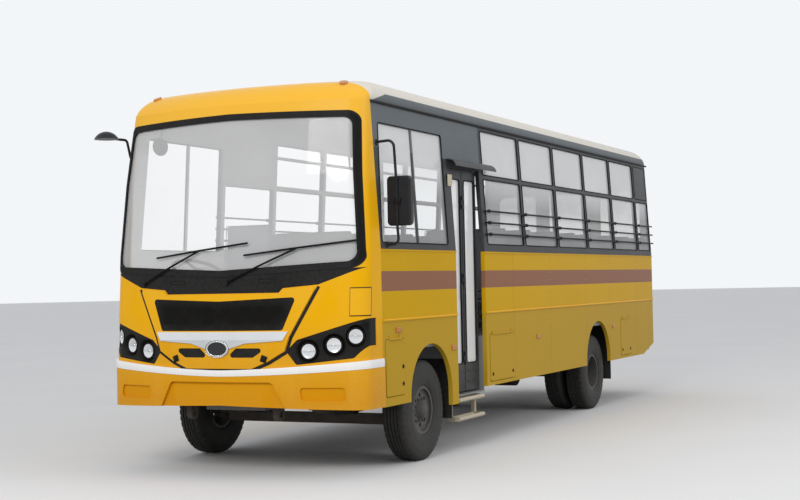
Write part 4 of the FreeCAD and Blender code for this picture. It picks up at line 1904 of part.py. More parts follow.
def grab_rails():
    """A rail along each side of the aisle, hung from the roof on drops."""
    rails = []
    count = int((S.grab_rear - S.grab_front) / S.drop_pitch) + 1
    length = (count - 1) * S.drop_pitch + 2 * S.drop_inset
    for side in (1, -1):
        rail = Part.makeCylinder(S.grab_radius, length, Vector(side * S.grab_half, S.grab_front, S.grab_height), Vector(0, 1, 0))
        drops = []
        for i in range(count):
            foot = Vector(side * S.grab_half, S.grab_front + S.drop_inset + i * S.drop_pitch, S.grab_height)
            top = ceiling(side * (S.grab_half + S.drop_radius), foot.y)
            drops.append(Part.makeCylinder(S.drop_radius, top - S.grab_height, foot))
        rails.append(one(rail.fuse(drops)))
    return hand_in(shape("GrabRails", Part.makeCompound(rails)), "grab_rails")


def build():
    front_panel()
    front_bumper()
    cowl()
    windscreen()
    bonnet()
    lamps()
    side_panels()
    lids()
    window_frames()
    guard_bars()
    roof()
    rear_wall()
    tail_lamps()
    marker_lamps()
    entrance_door()
    floor()
    foot_step()
    chassis()
    cross_members()
    springs()
    front_axle()
    knuckle(1)
    knuckle(-1)
    rear_axle()
    propeller_shaft()
    engine()
    fuel_tank()
    mud_flaps()
    wheels()
    mirrors()
    wipers()
    dashboard()
    steering_wheel()
    seats()
    grab_rails()


def check_and_write():
    """Stop at any failed object, then write one file for each sub-part."""
    doc.recompute()
    for item in doc.Objects:
        if "Invalid" in item.State or "Error" in item.State:
            raise ValueError(f"{item.Name} failed: {item.State}")
    os.makedirs("parts", exist_ok=True)
    for item in SUB_PARTS:
        solid = item.Shape
        if solid.isNull() or not solid.isValid() or not solid.Solids:
            raise ValueError(f"{item.Label} has no valid solid")
        solid.exportStep(f"parts/{item.Label}.step")
        print(item.Label, len(solid.Solids), round(solid.Volume / 1e9, 5))


build()
check_and_write()
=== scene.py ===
# %% [markdown]
# # A school bus, dressed in Blender
# The solids of this bus come ready made, at their real size. This lesson gives them
# their paint, glass and rubber, and adds the small things that a solid model leaves
# out: tread, wheel nuts, latches, mesh, seals, dials and padded benches. It loads the
# model first, because every later piece is placed by the model's own boxes.

# %% Load the bus
import bpy
import bmesh
from math import asin, cos, pi, radians, sin, sqrt
from mathutils import Matrix, Vector


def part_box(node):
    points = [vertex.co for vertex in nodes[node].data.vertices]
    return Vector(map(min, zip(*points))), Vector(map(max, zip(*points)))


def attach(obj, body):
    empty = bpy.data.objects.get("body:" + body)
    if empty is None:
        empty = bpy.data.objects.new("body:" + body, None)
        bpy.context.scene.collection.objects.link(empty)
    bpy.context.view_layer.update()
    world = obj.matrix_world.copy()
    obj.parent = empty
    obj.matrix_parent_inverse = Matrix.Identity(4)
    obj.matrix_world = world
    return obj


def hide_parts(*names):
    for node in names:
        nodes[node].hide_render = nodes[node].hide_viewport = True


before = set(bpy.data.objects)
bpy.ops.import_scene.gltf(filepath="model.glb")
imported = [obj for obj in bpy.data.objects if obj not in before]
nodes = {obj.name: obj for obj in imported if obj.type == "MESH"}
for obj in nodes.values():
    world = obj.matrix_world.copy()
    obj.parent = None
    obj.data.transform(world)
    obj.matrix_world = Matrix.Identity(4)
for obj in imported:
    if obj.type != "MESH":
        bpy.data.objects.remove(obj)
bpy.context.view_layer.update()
AXLE = -2.952            # the front axle, along Y
REAR_AXLE = AXLE + 4.85
WHEEL_CENTRE = 0.43

# %% [markdown]
# ## Small tools for making meshes
# Most small parts of a bus are pressed, bent or turned, so a few helpers make nearly
# all of them: a rounded slab, a turned profile, a tube along points and a skin between
# rings of points. Each one builds its mesh in code, so its size stays exact. The last
# step gives the mesh its finish and hands it to the body that it moves with.

# %% Mesh helpers
SHARP_ANGLE = radians(38)


def place_mesh(name, build, body, finish, smooth=True, outward=False):
    """Turn a bmesh into an object with one finish that rides on a body."""
    mesh = bpy.data.meshes.new(name)
    if outward:
        bmesh.ops.recalc_face_normals(build, faces=build.faces)
    build.normal_update()
    build.to_mesh(mesh)
    build.free()
    piece = bpy.data.objects.new(name, mesh)
    bpy.context.collection.objects.link(piece)
    mesh.materials.append(finish)
    if smooth:
        for face in mesh.polygons:
            face.use_smooth = True
        mesh.set_sharp_from_angle(angle=SHARP_ANGLE)
    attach(piece, body)
    return piece


def add_box(build, low, high, bevel=0.002, segments=2, turn=None):
    """A box with rounded edges, added to a bmesh."""
    made = bmesh.ops.create_cube(build, size=1.0)["verts"]
    middle = (Vector(low) + Vector(high)) / 2
    size = Vector(high) - Vector(low)
    for vert in made:
        vert.co = Vector((vert.co.x * size.x, vert.co.y * size.y, vert.co.z * size.z))
    edges = list({edge for vert in made for edge in vert.link_edges})
    cut = bmesh.ops.bevel(build, geom=edges, offset=min(bevel, min(size) * 0.45), segments=segments,
                          affect="EDGES", profile=0.5)
    made = {vert for face in cut["faces"] for vert in face.verts} | {vert for vert in made if vert.is_valid}
    for vert in made:
        vert.co = (turn @ vert.co if turn else vert.co) + middle


def circle_angles(count, first=0.0):
    """Equal steps round a full circle."""
    return [first + 2 * pi * k / count for k in range(count)]


def skin(build, rings, around=True, flip=False, ends=False):
    """Faces between neighbouring rings of points; flip turns them the other way round."""
    count = len(rings[0])
    for first, second in zip(rings, rings[1:]):
        for k in range(count if around else count - 1):
            ahead = (k + 1) % count
            if flip:
                build.faces.new((first[k], first[ahead], second[ahead], second[k]))
            else:
                build.faces.new((first[k], second[k], second[ahead], first[ahead]))
    if ends:
        build.faces.new(rings[0])
        build.faces.new(list(reversed(rings[-1])))


def add_turned(build, profile, centre, axis, steps=32):
    """A profile of (along, radius) pairs turned about an axis."""
    axis = Vector(axis).normalized()
    side = axis.orthogonal().normalized()
    other = axis.cross(side)
    rings = []
    for angle in circle_angles(steps):
        out = side * cos(angle) + other * sin(angle)
        rings.append([build.verts.new(Vector(centre) + axis * along + out * radius) for along, radius in profile])
    skin(build, rings + rings[:1], around=False)
    bmesh.ops.remove_doubles(build, verts=[vert for ring in rings for vert in ring], dist=1e-6)


def add_tube(build, points, radius, sides=10, closed=False):
    """A round tube through points; each ring stands square to the run."""
    points = [Vector(point) for point in points]
    rings = []
    count = len(points)
    up = None
    for i, point in enumerate(points):
        back = points[i - 1] if (i or closed) else point
        ahead = points[(i + 1) % count] if (i < count - 1 or closed) else point
        run = (ahead - back).normalized()
        if up is None:
            up = run.orthogonal().normalized()
        up = (up - run * up.dot(run)).normalized()
        other = run.cross(up)
        rings.append([build.verts.new(point + (up * cos(a) + other * sin(a)) * radius)
                      for a in circle_angles(sides)])
    skin(build, rings + rings[:1] if closed else rings, flip=True)
    if not closed:
        build.faces.new(list(reversed(rings[0])))
        build.faces.new(rings[-1])


print("mesh helpers ready")

# %% [markdown]
# ## Where the front surface lies
# The front of the bus is bowed, and it leans back above the grille. Anything that sits
# on it must follow that surface, or it floats at one end and sinks in at the other. A
# short function gives the surface's depth for a place seen from the front, from the same
# radii and leans that the solids use.

# %% Surface of the front
NOSE, BOW, GUTTER = -1.480, 3.2, 3.000      # the foremost point, the bow's radius, the gutter's height
HALF_WIDTH, CORNER = 1.190, 0.170           # half the width over the panels, the corners' radius
LEANS = ((0.43, 0.0), (1.10, 0.0), (1.80, 0.055), (2.40, 0.120), (3.00, 0.229))
SIDE_LEANS = ((0.0, HALF_WIDTH), (1.8, HALF_WIDTH), (2.4, 1.155), (GUTTER, 1.120))
CORNER_EDGE = (HALF_WIDTH - CORNER) / (1 - CORNER / BOW)    # where the bow meets the corner


def lean_at(z):
    """How far the nose leans back at a height."""
    for (low, first), (high, second) in zip(LEANS, LEANS[1:]):
        if z <= high:
            return first + (second - first) * max(0.0, (z - low) / (high - low))
    return LEANS[-1][1]


def front_y(x, z, proud=0.0):
    """Depth of the front surface at x and z, a little proud of it if asked."""
    drop = BOW - sqrt(BOW * BOW - min(abs(x), CORNER_EDGE) ** 2)
    if abs(x) > CORNER_EDGE:
        slope = CORNER_EDGE / BOW
        centre_x = CORNER_EDGE - CORNER * slope
        centre_y = drop + CORNER * sqrt(1 - slope * slope)
        drop = centre_y - sqrt(max(0.0, CORNER ** 2 - (abs(x) - centre_x) ** 2))
    return AXLE + NOSE + drop + lean_at(z) - proud


def on_front(x, z, proud=0.0):
    """A point on the front surface."""
    return Vector((x, front_y(x, z, proud), z))


def side_x(z, proud=0.0):
    """Half width of the body at a height."""
    for (low, first), (high, second) in zip(SIDE_LEANS, SIDE_LEANS[1:]):
        if z <= high:
            return first + (second - first) * (z - low) / (high - low) + proud
    return SIDE_LEANS[-1][1] + proud


def side_point(side, y, z, proud=0.0):
    """A point on a side, with its length measured from the front axle."""
    return Vector((side * side_x(z, proud), AXLE + y, z))


def rounded_loop(left, right, low, high, radius, corner_steps=4):
    """Corner points of a rounded rectangle."""
    loop = []
    for across, up, start in ((right - radius, high - radius, 0), (left + radius, high - radius, 90),
                              (left + radius, low + radius, 180), (right - radius, low + radius, 270)):
        for step in range(corner_steps + 1):
            angle = radians(start + 90 * step / corner_steps)
            loop.append((across + radius * cos(angle), up + radius * sin(angle)))
    return loop


print("front surface at the middle", round(front_y(0, 1.0), 3))

# %% [markdown]
# ## Shader groups that several finishes share
# Road dust, paint grain, worn edges and woven cloth turn up on many pieces. Each is
# built once as a node group with named inputs, so that a finish only states how much
# of it there is. A fifth group finds the faces that look into the cabin. Groups put out
# masks and heights; the shader itself stays in each material, where its plain values can
# be read and changed.

# %% Shader groups
def new_group(name, inputs, outputs):
    """A shader node group with named number sockets: its tree and its two ends."""
    tree = bpy.data.node_groups.new(name, "ShaderNodeTree")
    for label, value in inputs.items():
        socket = tree.interface.new_socket(name=label, in_out="INPUT", socket_type="NodeSocketFloat")
        socket.default_value = value
    for label in outputs:
        tree.interface.new_socket(name=label, in_out="OUTPUT", socket_type="NodeSocketFloat")
    return tree, tree.nodes.new("NodeGroupInput").outputs, tree.nodes.new("NodeGroupOutput").inputs


def set_input(tree, socket, value):
    """Link an input to another node, or type a plain value into it."""
    if hasattr(value, "is_output"):
        tree.links.new(value, socket)
    else:
        socket.default_value = value


def new_node(tree, kind, inputs):
    """A node of some kind with its inputs linked or set."""
    node = tree.nodes.new(kind)
    for label, value in inputs.items():
        set_input(tree, node.inputs[label], value)
    return node


def math_node(tree, operation, *values, clamp=False):
    """One Math node with its inputs linked or set."""
    node = new_node(tree, "ShaderNodeMath", dict(enumerate(values)))
    node.operation = operation
    node.use_clamp = clamp
    return node.outputs[0]


def math_function(operation):
    """A short name for one operation of the Math node."""
    return lambda tree, first, second, clamp=False: math_node(tree, operation, first, second, clamp=clamp)


plus, minus, times, larger = (math_function(name) for name in ("ADD", "SUBTRACT", "MULTIPLY", "MAXIMUM"))


def ramp(tree, high, low, span):
    """Zero where two values are equal, one where the first is a span or more above the second."""
    return math_node(tree, "DIVIDE", minus(tree, high, low), span, clamp=True)


def opposite(tree, mask):
    """One where the mask is zero, and zero where it is one."""
    return minus(tree, 1.0, mask)


def object_place(tree):
    """Object coordinates: they are the bus's own metres and move with a piece."""
    return tree.nodes.new("ShaderNodeTexCoord").outputs["Object"]


def split_letters(tree, vector):
    """A vector's X, Y and Z."""
    return new_node(tree, "ShaderNodeSeparateXYZ", {0: vector}).outputs


def object_xyz(tree):
    """The object coordinates split into their three letters."""
    return split_letters(tree, object_place(tree))


def noise(tree, scale, detail=3.0, roughness=0.5, vector=None):
    """Cloudy noise on the object coordinates or on a vector of its own."""
    return new_node(tree, "ShaderNodeTexNoise", {"Scale": scale, "Detail": detail, "Roughness": roughness,
                                                 "Vector": vector or object_place(tree)}).outputs["Fac"]


def build_road_dust():
    """Dust that lies thickest low down and fades by a height."""
    tree, start, end = new_group("RoadDust", {"Top": 1.0, "Amount": 0.3, "Scale": 6.0}, ("Mask",))
    share = math_node(tree, "DIVIDE", object_xyz(tree)["Z"], start["Top"])
    patchy = times(tree, minus(tree, 1.0, share, clamp=True), noise(tree, start["Scale"], 6.0))
    tree.links.new(times(tree, patchy, start["Amount"], clamp=True), end["Mask"])
    return tree


def build_paint_grain():
    """The fine ripple of sprayed paint, and broad waves of thin sheet."""
    tree, start, end = new_group("PaintGrain", {"Fine": 0.5, "Waves": 0.5}, ("Height",))
    fine = times(tree, noise(tree, 180.0, 2.0), start["Fine"])
    waves = times(tree, noise(tree, 2.2, 1.0), start["Waves"])
    tree.links.new(plus(tree, fine, waves), end["Height"])
    return tree


def build_edge_wear():
    """A mask of the outer edges, broken up as real wear is."""
    tree, start, end = new_group("EdgeWear", {"Reach": 0.5, "Amount": 0.5}, ("Mask",))
    shape = tree.nodes.new("ShaderNodeNewGeometry")
    raised = minus(tree, shape.outputs["Pointiness"], 0.5)
    raised = times(tree, raised, start["Reach"], clamp=True)
    broken = times(tree, raised, noise(tree, 35.0, 5.0, 0.7))
    tree.links.new(times(tree, broken, start["Amount"], clamp=True), end["Mask"])
    return tree


def build_cloth_weave():
    """Crossing threads of a seat cover."""
    tree, start, end = new_group("ClothWeave", {"Threads": 300.0}, ("Height", "Mask"))
    xyz = object_xyz(tree)
    waves = []
    for letter in ("X", "Z"):
        along = plus(tree, xyz[letter], xyz["Y"])
        turns = times(tree, along, start["Threads"])
        waves.append(math_node(tree, "SINE", turns))
    cloth = times(tree, waves[0], waves[1])
    tree.links.new(cloth, end["Height"])
    tree.links.new(times(tree, plus(tree, cloth, 1.0), 0.5), end["Mask"])
    return tree


def build_inside_face():
    """A mask of the faces that look into the cabin: across, along and up weigh the directions."""
    tree, start, end = new_group("InsideFace", {"Across": 1.0, "Along": 0.0, "Up": 0.0}, ("Mask",))
    xyz = object_xyz(tree)
    normal = split_letters(tree, tree.nodes.new("ShaderNodeTexCoord").outputs["Normal"])
    inward = {"Z": times(tree, normal["Z"], -1.0)}
    for letter in ("X", "Y"):
        side = math_node(tree, "SIGN", xyz[letter])
        inward[letter] = times(tree, times(tree, normal[letter], side), -1.0)
    weighed = [times(tree, inward[letter], start[weight])
               for letter, weight in (("X", "Across"), ("Y", "Along"), ("Z", "Up"))]
    most = larger(tree, larger(tree, weighed[0], weighed[1]), weighed[2])
    tree.links.new(times(tree, minus(tree, most, 0.4), 8.0, clamp=True), end["Mask"])
    return tree


DUST, GRAIN, WEAR, WEAVE = build_road_dust(), build_paint_grain(), build_edge_wear(), build_cloth_weave()
INSIDE = build_inside_face()
print("shader groups", [tree.name for tree in (DUST, GRAIN, WEAR, WEAVE, INSIDE)])

# %% [markdown]
# ## The finishes
# A finish starts from one Principled shader. Its plain numbers, such as roughness or
# coat, are typed on the shader, and only what varies over the surface comes in by a
# link. A small helper mixes two colours by a mask, because nearly every finish here
# is a base colour with dust, wear or a stripe laid over it.

# %% Finish helpers
def new_finish(name, rough=0.5, metallic=0.0, coat=0.0, specular=0.5):
    """A material with its tree and its shader."""
    finish = bpy.data.materials.new(name)
    finish.use_nodes = True
    tree = finish.node_tree
    shader = tree.nodes["Principled BSDF"]
    for label, value in (("Roughness", rough), ("Metallic", metallic), ("Coat Weight", coat),
                         ("Specular IOR Level", specular)):
        shader.inputs[label].default_value = value
    return finish, tree, shader


def use_group(tree, group, **values):
    """One use of a group with its inputs set."""
    node = tree.nodes.new("ShaderNodeGroup")
    node.node_tree = group
    for label, value in values.items():
        node.inputs[label].default_value = value
    return node.outputs


def blend_colour(tree, mask, first, second):
    """Mix two colours, each a tuple or a socket, by a mask."""
    node = tree.nodes.new("ShaderNodeMix")
    node.data_type = "RGBA"
    for index, value in ((0, mask), (6, first), (7, second)):
        set_input(tree, node.inputs[index], (*value, 1.0) if isinstance(value, tuple) else value)
    return node.outputs[2]


def band_mask(tree, value, low, high, soft=0.001):
    """One inside a range of a coordinate and zero outside."""
    return times(tree, ramp(tree, value, low, soft), ramp(tree, high, value, soft))


ABOVE_ROOF = 4.0


def line_cabin(tree, tone, across=1.0, along=0.0, up=0.0, low=1.05):
    """Lay the pale grey lining over the faces that look into the cabin."""
    inner = use_group(tree, INSIDE, Across=across, Along=along, Up=up)["Mask"]
    inner = times(tree, inner, band_mask(tree, object_xyz(tree)["Z"], low, ABOVE_ROOF, 0.01))
    lining = blend_colour(tree, noise(tree, 3.0, 3.0), (0.78, 0.78, 0.77), (0.84, 0.84, 0.83))
    return blend_colour(tree, inner, tone, lining)


def bump(tree, shader, height, strength, distance=0.002):
    """A small relief on the shader's normal."""
    node = new_node(tree, "ShaderNodeBump", {"Strength": strength, "Distance": distance, "Height": height})
    tree.links.new(node.outputs["Normal"], shader.inputs["Normal"])


def map_range(tree, mask, low, high):
    """A value that runs between two others by a mask."""
    return new_node(tree, "ShaderNodeMapRange", {"To Min": low, "To Max": high, "Value": mask}).outputs[0]


def vary_rough(tree, shader, mask, low, high):
    """Roughness that runs between two values by a mask."""
    tree.links.new(map_range(tree, mask, low, high), shader.inputs["Roughness"])


def link_colour(tree, shader, colour):
    """The shader's base colour from a socket."""
    tree.links.new(colour, shader.inputs["Base Color"])


print("finish helpers ready")

# %% [markdown]
# ### Bus yellow
# The front of the bus is a warm amber; its sides are a plainer yellow with a
# mauve-brown stripe below the windows and a slightly paler skirt. The stripe could be a
# separate strip of mesh, but it is paint on the real bus, so it is a band of the same
# material, read from the object's own coordinates. It then runs unbroken over every
# panel and flap. Thin dark lines mark where two sheets of the side meet.

# %% Bus yellow
def make_front_yellow():
    """The amber of the front, with a painted sky reflection that makes the cap paler, and deeper at the foot."""
    finish, tree, shader = new_finish("front_yellow_painted_light", specular=0.05)
    xyz = object_xyz(tree)
    tone = blend_colour(tree, noise(tree, 1.4, 2.0), (0.88, 0.43, 0.001), (0.93, 0.48, 0.002))
    # painted sky reflection: the amber turns paler towards the cap
    tone = blend_colour(tree, ramp(tree, xyz["Z"], 2.2, 0.9), tone, (0.93, 0.51, 0.055))
    tone = blend_colour(tree, ramp(tree, 1.30, xyz["Z"], 0.70), tone, (0.72, 0.30, 0.001))
    dust = use_group(tree, DUST, Top=1.2, Amount=0.16, Scale=9.0)["Mask"]
    colour = blend_colour(tree, dust, tone, (0.36, 0.25, 0.12))
    worn = use_group(tree, WEAR, Reach=6.0, Amount=0.25)["Mask"]
    colour = blend_colour(tree, worn, colour, (0.97, 0.66, 0.18))
    colour = line_cabin(tree, colour, along=1.0, up=1.0, low=1.62)
    link_colour(tree, shader, colour)
    vary_rough(tree, shader, dust, 0.26, 0.62)
    bump(tree, shader, use_group(tree, GRAIN, Fine=0.15, Waves=1.0)["Height"], 0.18, 0.004)
    return finish


SEAMS = (2.030, 3.130, 4.350, 5.255, 6.420)     # behind the front axle
STRIPE = (1.460, 1.623)
BEAD_HEIGHT = 1.228                             # the paler skirt ends here


def make_side_yellow():
    """The yellow of the sides with its stripe, paler skirt and sheet lines."""
    finish, tree, shader = new_finish("side_yellow", specular=0.03)
    xyz = object_xyz(tree)
    tone = blend_colour(tree, noise(tree, 0.8, 2.0), (0.66, 0.375, 0.003), (0.72, 0.42, 0.005))
    low = band_mask(tree, xyz["Z"], 0.0, BEAD_HEIGHT, 0.02)
    tone = blend_colour(tree, low, tone, (0.56, 0.345, 0.022))
    stripe = band_mask(tree, xyz["Z"], *STRIPE)
    tone = blend_colour(tree, stripe, tone, (0.32, 0.147, 0.087))
    lines = None
    for seam in SEAMS:
        line = band_mask(tree, xyz["Y"], AXLE + seam - 0.002, AXLE + seam + 0.002)
        lines = line if lines is None else larger(tree, lines, line)
    tone = blend_colour(tree, lines, tone, (0.10, 0.06, 0.02))
    dust = use_group(tree, DUST, Top=1.4, Amount=0.11, Scale=5.0)["Mask"]
    tone = blend_colour(tree, dust, tone, (0.30, 0.24, 0.15))
    tone = line_cabin(tree, tone, along=1.0)
    link_colour(tree, shader, tone)
    vary_rough(tree, shader, dust, 0.30, 0.70)
    height = minus(tree, use_group(tree, GRAIN, Fine=0.15, Waves=1.6)["Height"], lines)
    bump(tree, shader, height, 0.25, 0.004)
    return finish


FRONT_YELLOW, SIDE_YELLOW = make_front_yellow(), make_side_yellow()
print("yellow", FRONT_YELLOW.name, SIDE_YELLOW.name)

# %% [markdown]
# ### Roof, frames, black parts and metal
# The roof sheet is a greyish white with rain streaks. The window frames are dark
# grey paint, the trim black moulding, and each has its own grain and dust. One function
# makes all the plain ones, so a new finish is a line of numbers.

# %% Roof and painted metal
def make_painted(name, first, second, rough, dust_top, dust_amount, fine=0.3, waves=0.6, coat=0.0,
                 specular=0.12, dust_colour=(0.25, 0.23, 0.20), metallic=0.0, wear=0.25,
                 wear_colour=(0.45, 0.45, 0.45)):
    """Painted or moulded surface: two tones, dust, worn edges and a fine grain."""
    finish, tree, shader = new_finish(name, coat=coat, metallic=metallic, specular=specular)
    tone = blend_colour(tree, noise(tree, 7.0, 4.0), first, second)
    dust = use_group(tree, DUST, Top=dust_top, Amount=dust_amount, Scale=11.0)["Mask"]
    tone = blend_colour(tree, dust, tone, dust_colour)
    worn = use_group(tree, WEAR, Reach=5.0, Amount=wear)["Mask"]
    link_colour(tree, shader, blend_colour(tree, worn, tone, wear_colour))
    vary_rough(tree, shader, dust, rough, min(1.0, rough + 0.35))
    bump(tree, shader, use_group(tree, GRAIN, Fine=fine, Waves=waves)["Height"], 0.25, 0.002)
    return finish


def make_roof_white():
    """The roof's greyish white with streaks and a dark cove at the gutter."""
    finish, tree, shader = new_finish("roof_white", specular=0.12)
    xyz = object_xyz(tree)
    stretch = new_node(tree, "ShaderNodeMapping", {"Scale": (1.0, 9.0, 1.0), "Vector": object_place(tree)})
    streaks = noise(tree, 1.6, 5.0, 0.6, stretch.outputs[0])
    tone = blend_colour(tree, streaks, (0.80, 0.75, 0.66), (0.70, 0.665, 0.60))
    taper = ramp(tree, xyz["Y"], AXLE - 0.93, 0.30)
    edge = plus(tree, times(tree, taper, 0.082), GUTTER - 0.004)
    tone = blend_colour(tree, ramp(tree, edge, xyz["Z"], 0.003), tone, (0.125, 0.140, 0.150))
    tone = line_cabin(tree, tone, up=1.0, along=1.0)
    link_colour(tree, shader, tone)
    vary_rough(tree, shader, streaks, 0.30, 0.55)
    bump(tree, shader, use_group(tree, GRAIN, Fine=0.1, Waves=1.4)["Height"], 0.2, 0.004)
    return finish


def make_frame_grey():
    """Dark frames between the windows, paler sheet over the cab window and the door."""
    finish, tree, shader = new_finish("frame_grey", specular=0.12)
    xyz = object_xyz(tree)
    tone = blend_colour(tree, noise(tree, 7.0, 4.0), (0.036, 0.038, 0.040), (0.050, 0.052, 0.055))
    sheet = times(tree, band_mask(tree, xyz["Y"], AXLE - 1.0, AXLE + 1.325),
                      band_mask(tree, xyz["Z"], 2.62, GUTTER + 0.01, 0.004))
    tone = blend_colour(tree, sheet, tone, (0.118, 0.135, 0.145))
    worn = use_group(tree, WEAR, Reach=5.0, Amount=0.2)["Mask"]
    tone = blend_colour(tree, worn, tone, (0.40, 0.40, 0.40))
    link_colour(tree, shader, line_cabin(tree, tone))
    vary_rough(tree, shader, noise(tree, 3.0, 2.0), 0.34, 0.50)
    bump(tree, shader, use_group(tree, GRAIN, Fine=0.3, Waves=0.6)["Height"], 0.25, 0.002)
    return finish


ROOF_WHITE = make_roof_white()
FRAME_GREY = make_frame_grey()
PLATE_WHITE = make_painted("plate_white", (0.72, 0.72, 0.70), (0.64, 0.64, 0.62), 0.40, 1.4, 0.15)
TRIM_BLACK = make_painted("trim_black", (0.005, 0.005, 0.005), (0.009, 0.008, 0.007), 0.42, 1.4, 0.06, fine=1.0,
                          specular=0.05, wear=0.12)
RUBBER_BLACK = make_painted("rubber_black", (0.008, 0.008, 0.008), (0.014, 0.014, 0.014), 0.62, 1.6, 0.06, fine=0.6,
                            specular=0.05, wear=0.10)
DOOR_BLACK = make_painted("door_black", (0.012, 0.013, 0.015), (0.022, 0.023, 0.026), 0.36, 1.3, 0.14, coat=0.05)
CHASSIS_BLACK = make_painted("chassis_black", (0.018, 0.018, 0.018), (0.035, 0.033, 0.030), 0.60, 1.2, 0.75,
                             fine=1.2, wear=0.4, wear_colour=(0.18, 0.12, 0.08))
WHEEL_STEEL = make_painted("wheel_steel", (0.050, 0.050, 0.052), (0.085, 0.083, 0.080), 0.48, 0.9, 0.55,
                           fine=0.8, wear=0.5, wear_colour=(0.30, 0.28, 0.25))
STEP_BEIGE = make_painted("step_beige", (0.58, 0.50, 0.36), (0.66, 0.58, 0.43), 0.45, 0.9, 0.45)
ENGINE_GREY = make_painted("engine_grey", (0.10, 0.10, 0.10), (0.17, 0.165, 0.155), 0.65, 1.6, 0.45, fine=2.0,
                           metallic=0.6)
FLOOR_GREY = make_painted("floor_grey", (0.23, 0.23, 0.235), (0.30, 0.30, 0.30), 0.62, 1.5, 0.25, fine=1.0)
DASH_GREY = make_painted("dash_grey", (0.38, 0.38, 0.385), (0.46, 0.46, 0.46), 0.60, 2.2, 0.10, fine=1.4)
SEAT_STEEL = make_painted("seat_steel", (0.42, 0.42, 0.42), (0.52, 0.52, 0.52), 0.32, 1.6, 0.15, metallic=0.9)
BRIGHT_METAL = make_painted("bright_metal", (0.72, 0.73, 0.74), (0.80, 0.81, 0.82), 0.16, 1.2, 0.12,
                            metallic=1.0, wear=0.1)
SILVER_TRIM = make_painted("silver_trim", (0.94, 0.93, 0.91), (0.97, 0.965, 0.95), 0.28, 1.2, 0.06,
                           metallic=0.15, wear=0.1)


OVAL_HEIGHT = 1.030                             # the middle of the bright bar
OVAL_HALF, PAINTED_HALF = (0.110, 0.068), (0.105, 0.064)


def make_oval_bar():
    """The bright bar, with a dark oval painted in the middle and a painted shadow line round the ring."""
    finish, tree, shader = new_finish("oval_bar", rough=0.2, metallic=1.0)
    xyz = object_xyz(tree)
    across = math_node(tree, "DIVIDE", xyz["X"], PAINTED_HALF[0])
    upward = math_node(tree, "DIVIDE", minus(tree, xyz["Z"], OVAL_HEIGHT), PAINTED_HALF[1])
    reach = plus(tree, math_node(tree, "POWER", across, 2.0), math_node(tree, "POWER", upward, 2.0))
    metal = blend_colour(tree, noise(tree, 6.0, 4.0), (0.70, 0.71, 0.72), (0.82, 0.83, 0.84))
    # painted shadow: a thin dark line where the ring meets the bar
    outline = band_mask(tree, reach, 0.97, 1.12, 0.03)
    dark = larger(tree, outline, opposite(tree, ramp(tree, reach, 0.70, 0.03)))
    link_colour(tree, shader, blend_colour(tree, dark, metal, (0.012, 0.012, 0.014)))
    vary_rough(tree, shader, dark, 0.20, 0.35)
    tree.links.new(opposite(tree, dark), shader.inputs["Metallic"])
    bump(tree, shader, times(tree, dark, -1.0), 0.6, 0.002)
    return finish


OVAL_BAR = make_oval_bar()
print("materials so far", len(bpy.data.materials))

# %% [markdown]
# ### Glass, lenses and tyres
# The windscreen and windows look pale and milky in daylight, because they reflect the
# sky. A pale film on each pane's outer face is that sky reflection painted on, and the
# pane's other faces stay clear, so the film is counted once. Lenses are clear or
# coloured mouldings with fine flutes. A tyre is black when new and turns brown-grey with
# dust on its sides, with the tread a little cleaner.

# %% Glass, lenses and tyres
UPPER_PANES = (2.25, 0.30)                      # where the film grows, and over what height


def add_flutes(tree, shader, along, count):
    """Upright flutes as a relief: a sine of a coordinate."""
    ribs = math_node(tree, "SINE", times(tree, along, count))
    bump(tree, shader, ribs, 0.35, 0.001)


def make_glass(name, tint, sky_reflection, alpha, rough=0.03, top_alpha=None, across=1.0, along=0.0):
    """A thin pane whose outer face carries a cloudy film of painted sky reflection, which may grow milkier in the
    upper panes.
    """
    finish, tree, shader = new_finish(name, rough=rough, specular=0.4)
    shader.inputs["IOR"].default_value = 1.45
    cloud = noise(tree, 1.3, 3.0)
    # the pale film colour is a painted reflection of the sky
    link_colour(tree, shader, blend_colour(tree, cloud, tint, sky_reflection))
    reflection_alpha = map_range(tree, cloud, alpha - 0.06, alpha + 0.08)
    if top_alpha:
        rise = ramp(tree, object_xyz(tree)["Z"], *UPPER_PANES)
        reflection_alpha = plus(tree, reflection_alpha, times(tree, rise, top_alpha - alpha))
    inner = use_group(tree, INSIDE, Across=across, Along=along)["Mask"]
    behind = tree.nodes.new("ShaderNodeNewGeometry").outputs["Backfacing"]
    outside = opposite(tree, larger(tree, inner, behind))
    tree.links.new(times(tree, reflection_alpha, outside), shader.inputs["Alpha"])
    return finish


def make_lens(name, tint, coat=0.6, alpha=1.0):
    """A moulded lens with upright flutes."""
    finish, tree, shader = new_finish(name, rough=0.12, coat=coat)
    shader.inputs["Alpha"].default_value = alpha
    xyz = object_xyz(tree)
    dark = tuple(value * 0.72 for value in tint)
    link_colour(tree, shader, blend_colour(tree, noise(tree, 20.0, 2.0), tint, dark))
    add_flutes(tree, shader, plus(tree, xyz["X"], xyz["Y"]), 260.0)
    return finish


TAIL_LINES = (1.082, 1.196)                     # where the tail lamp's colours meet


def make_tail_lens():
    """One moulding in three colours by height: reversing white, red, and orange on top."""
    finish, tree, shader = new_finish("tail_lens", rough=0.14, coat=0.5)
    xyz = object_xyz(tree)
    low_line, high_line = TAIL_LINES
    top = band_mask(tree, xyz["Z"], high_line, 2.0)
    foot = band_mask(tree, xyz["Z"], 0.0, low_line)
    tone = blend_colour(tree, top, (0.50, 0.012, 0.010), (0.80, 0.22, 0.012))
    link_colour(tree, shader, blend_colour(tree, foot, tone, (0.74, 0.74, 0.72)))
    add_flutes(tree, shader, xyz["X"], 300.0)
    return finish


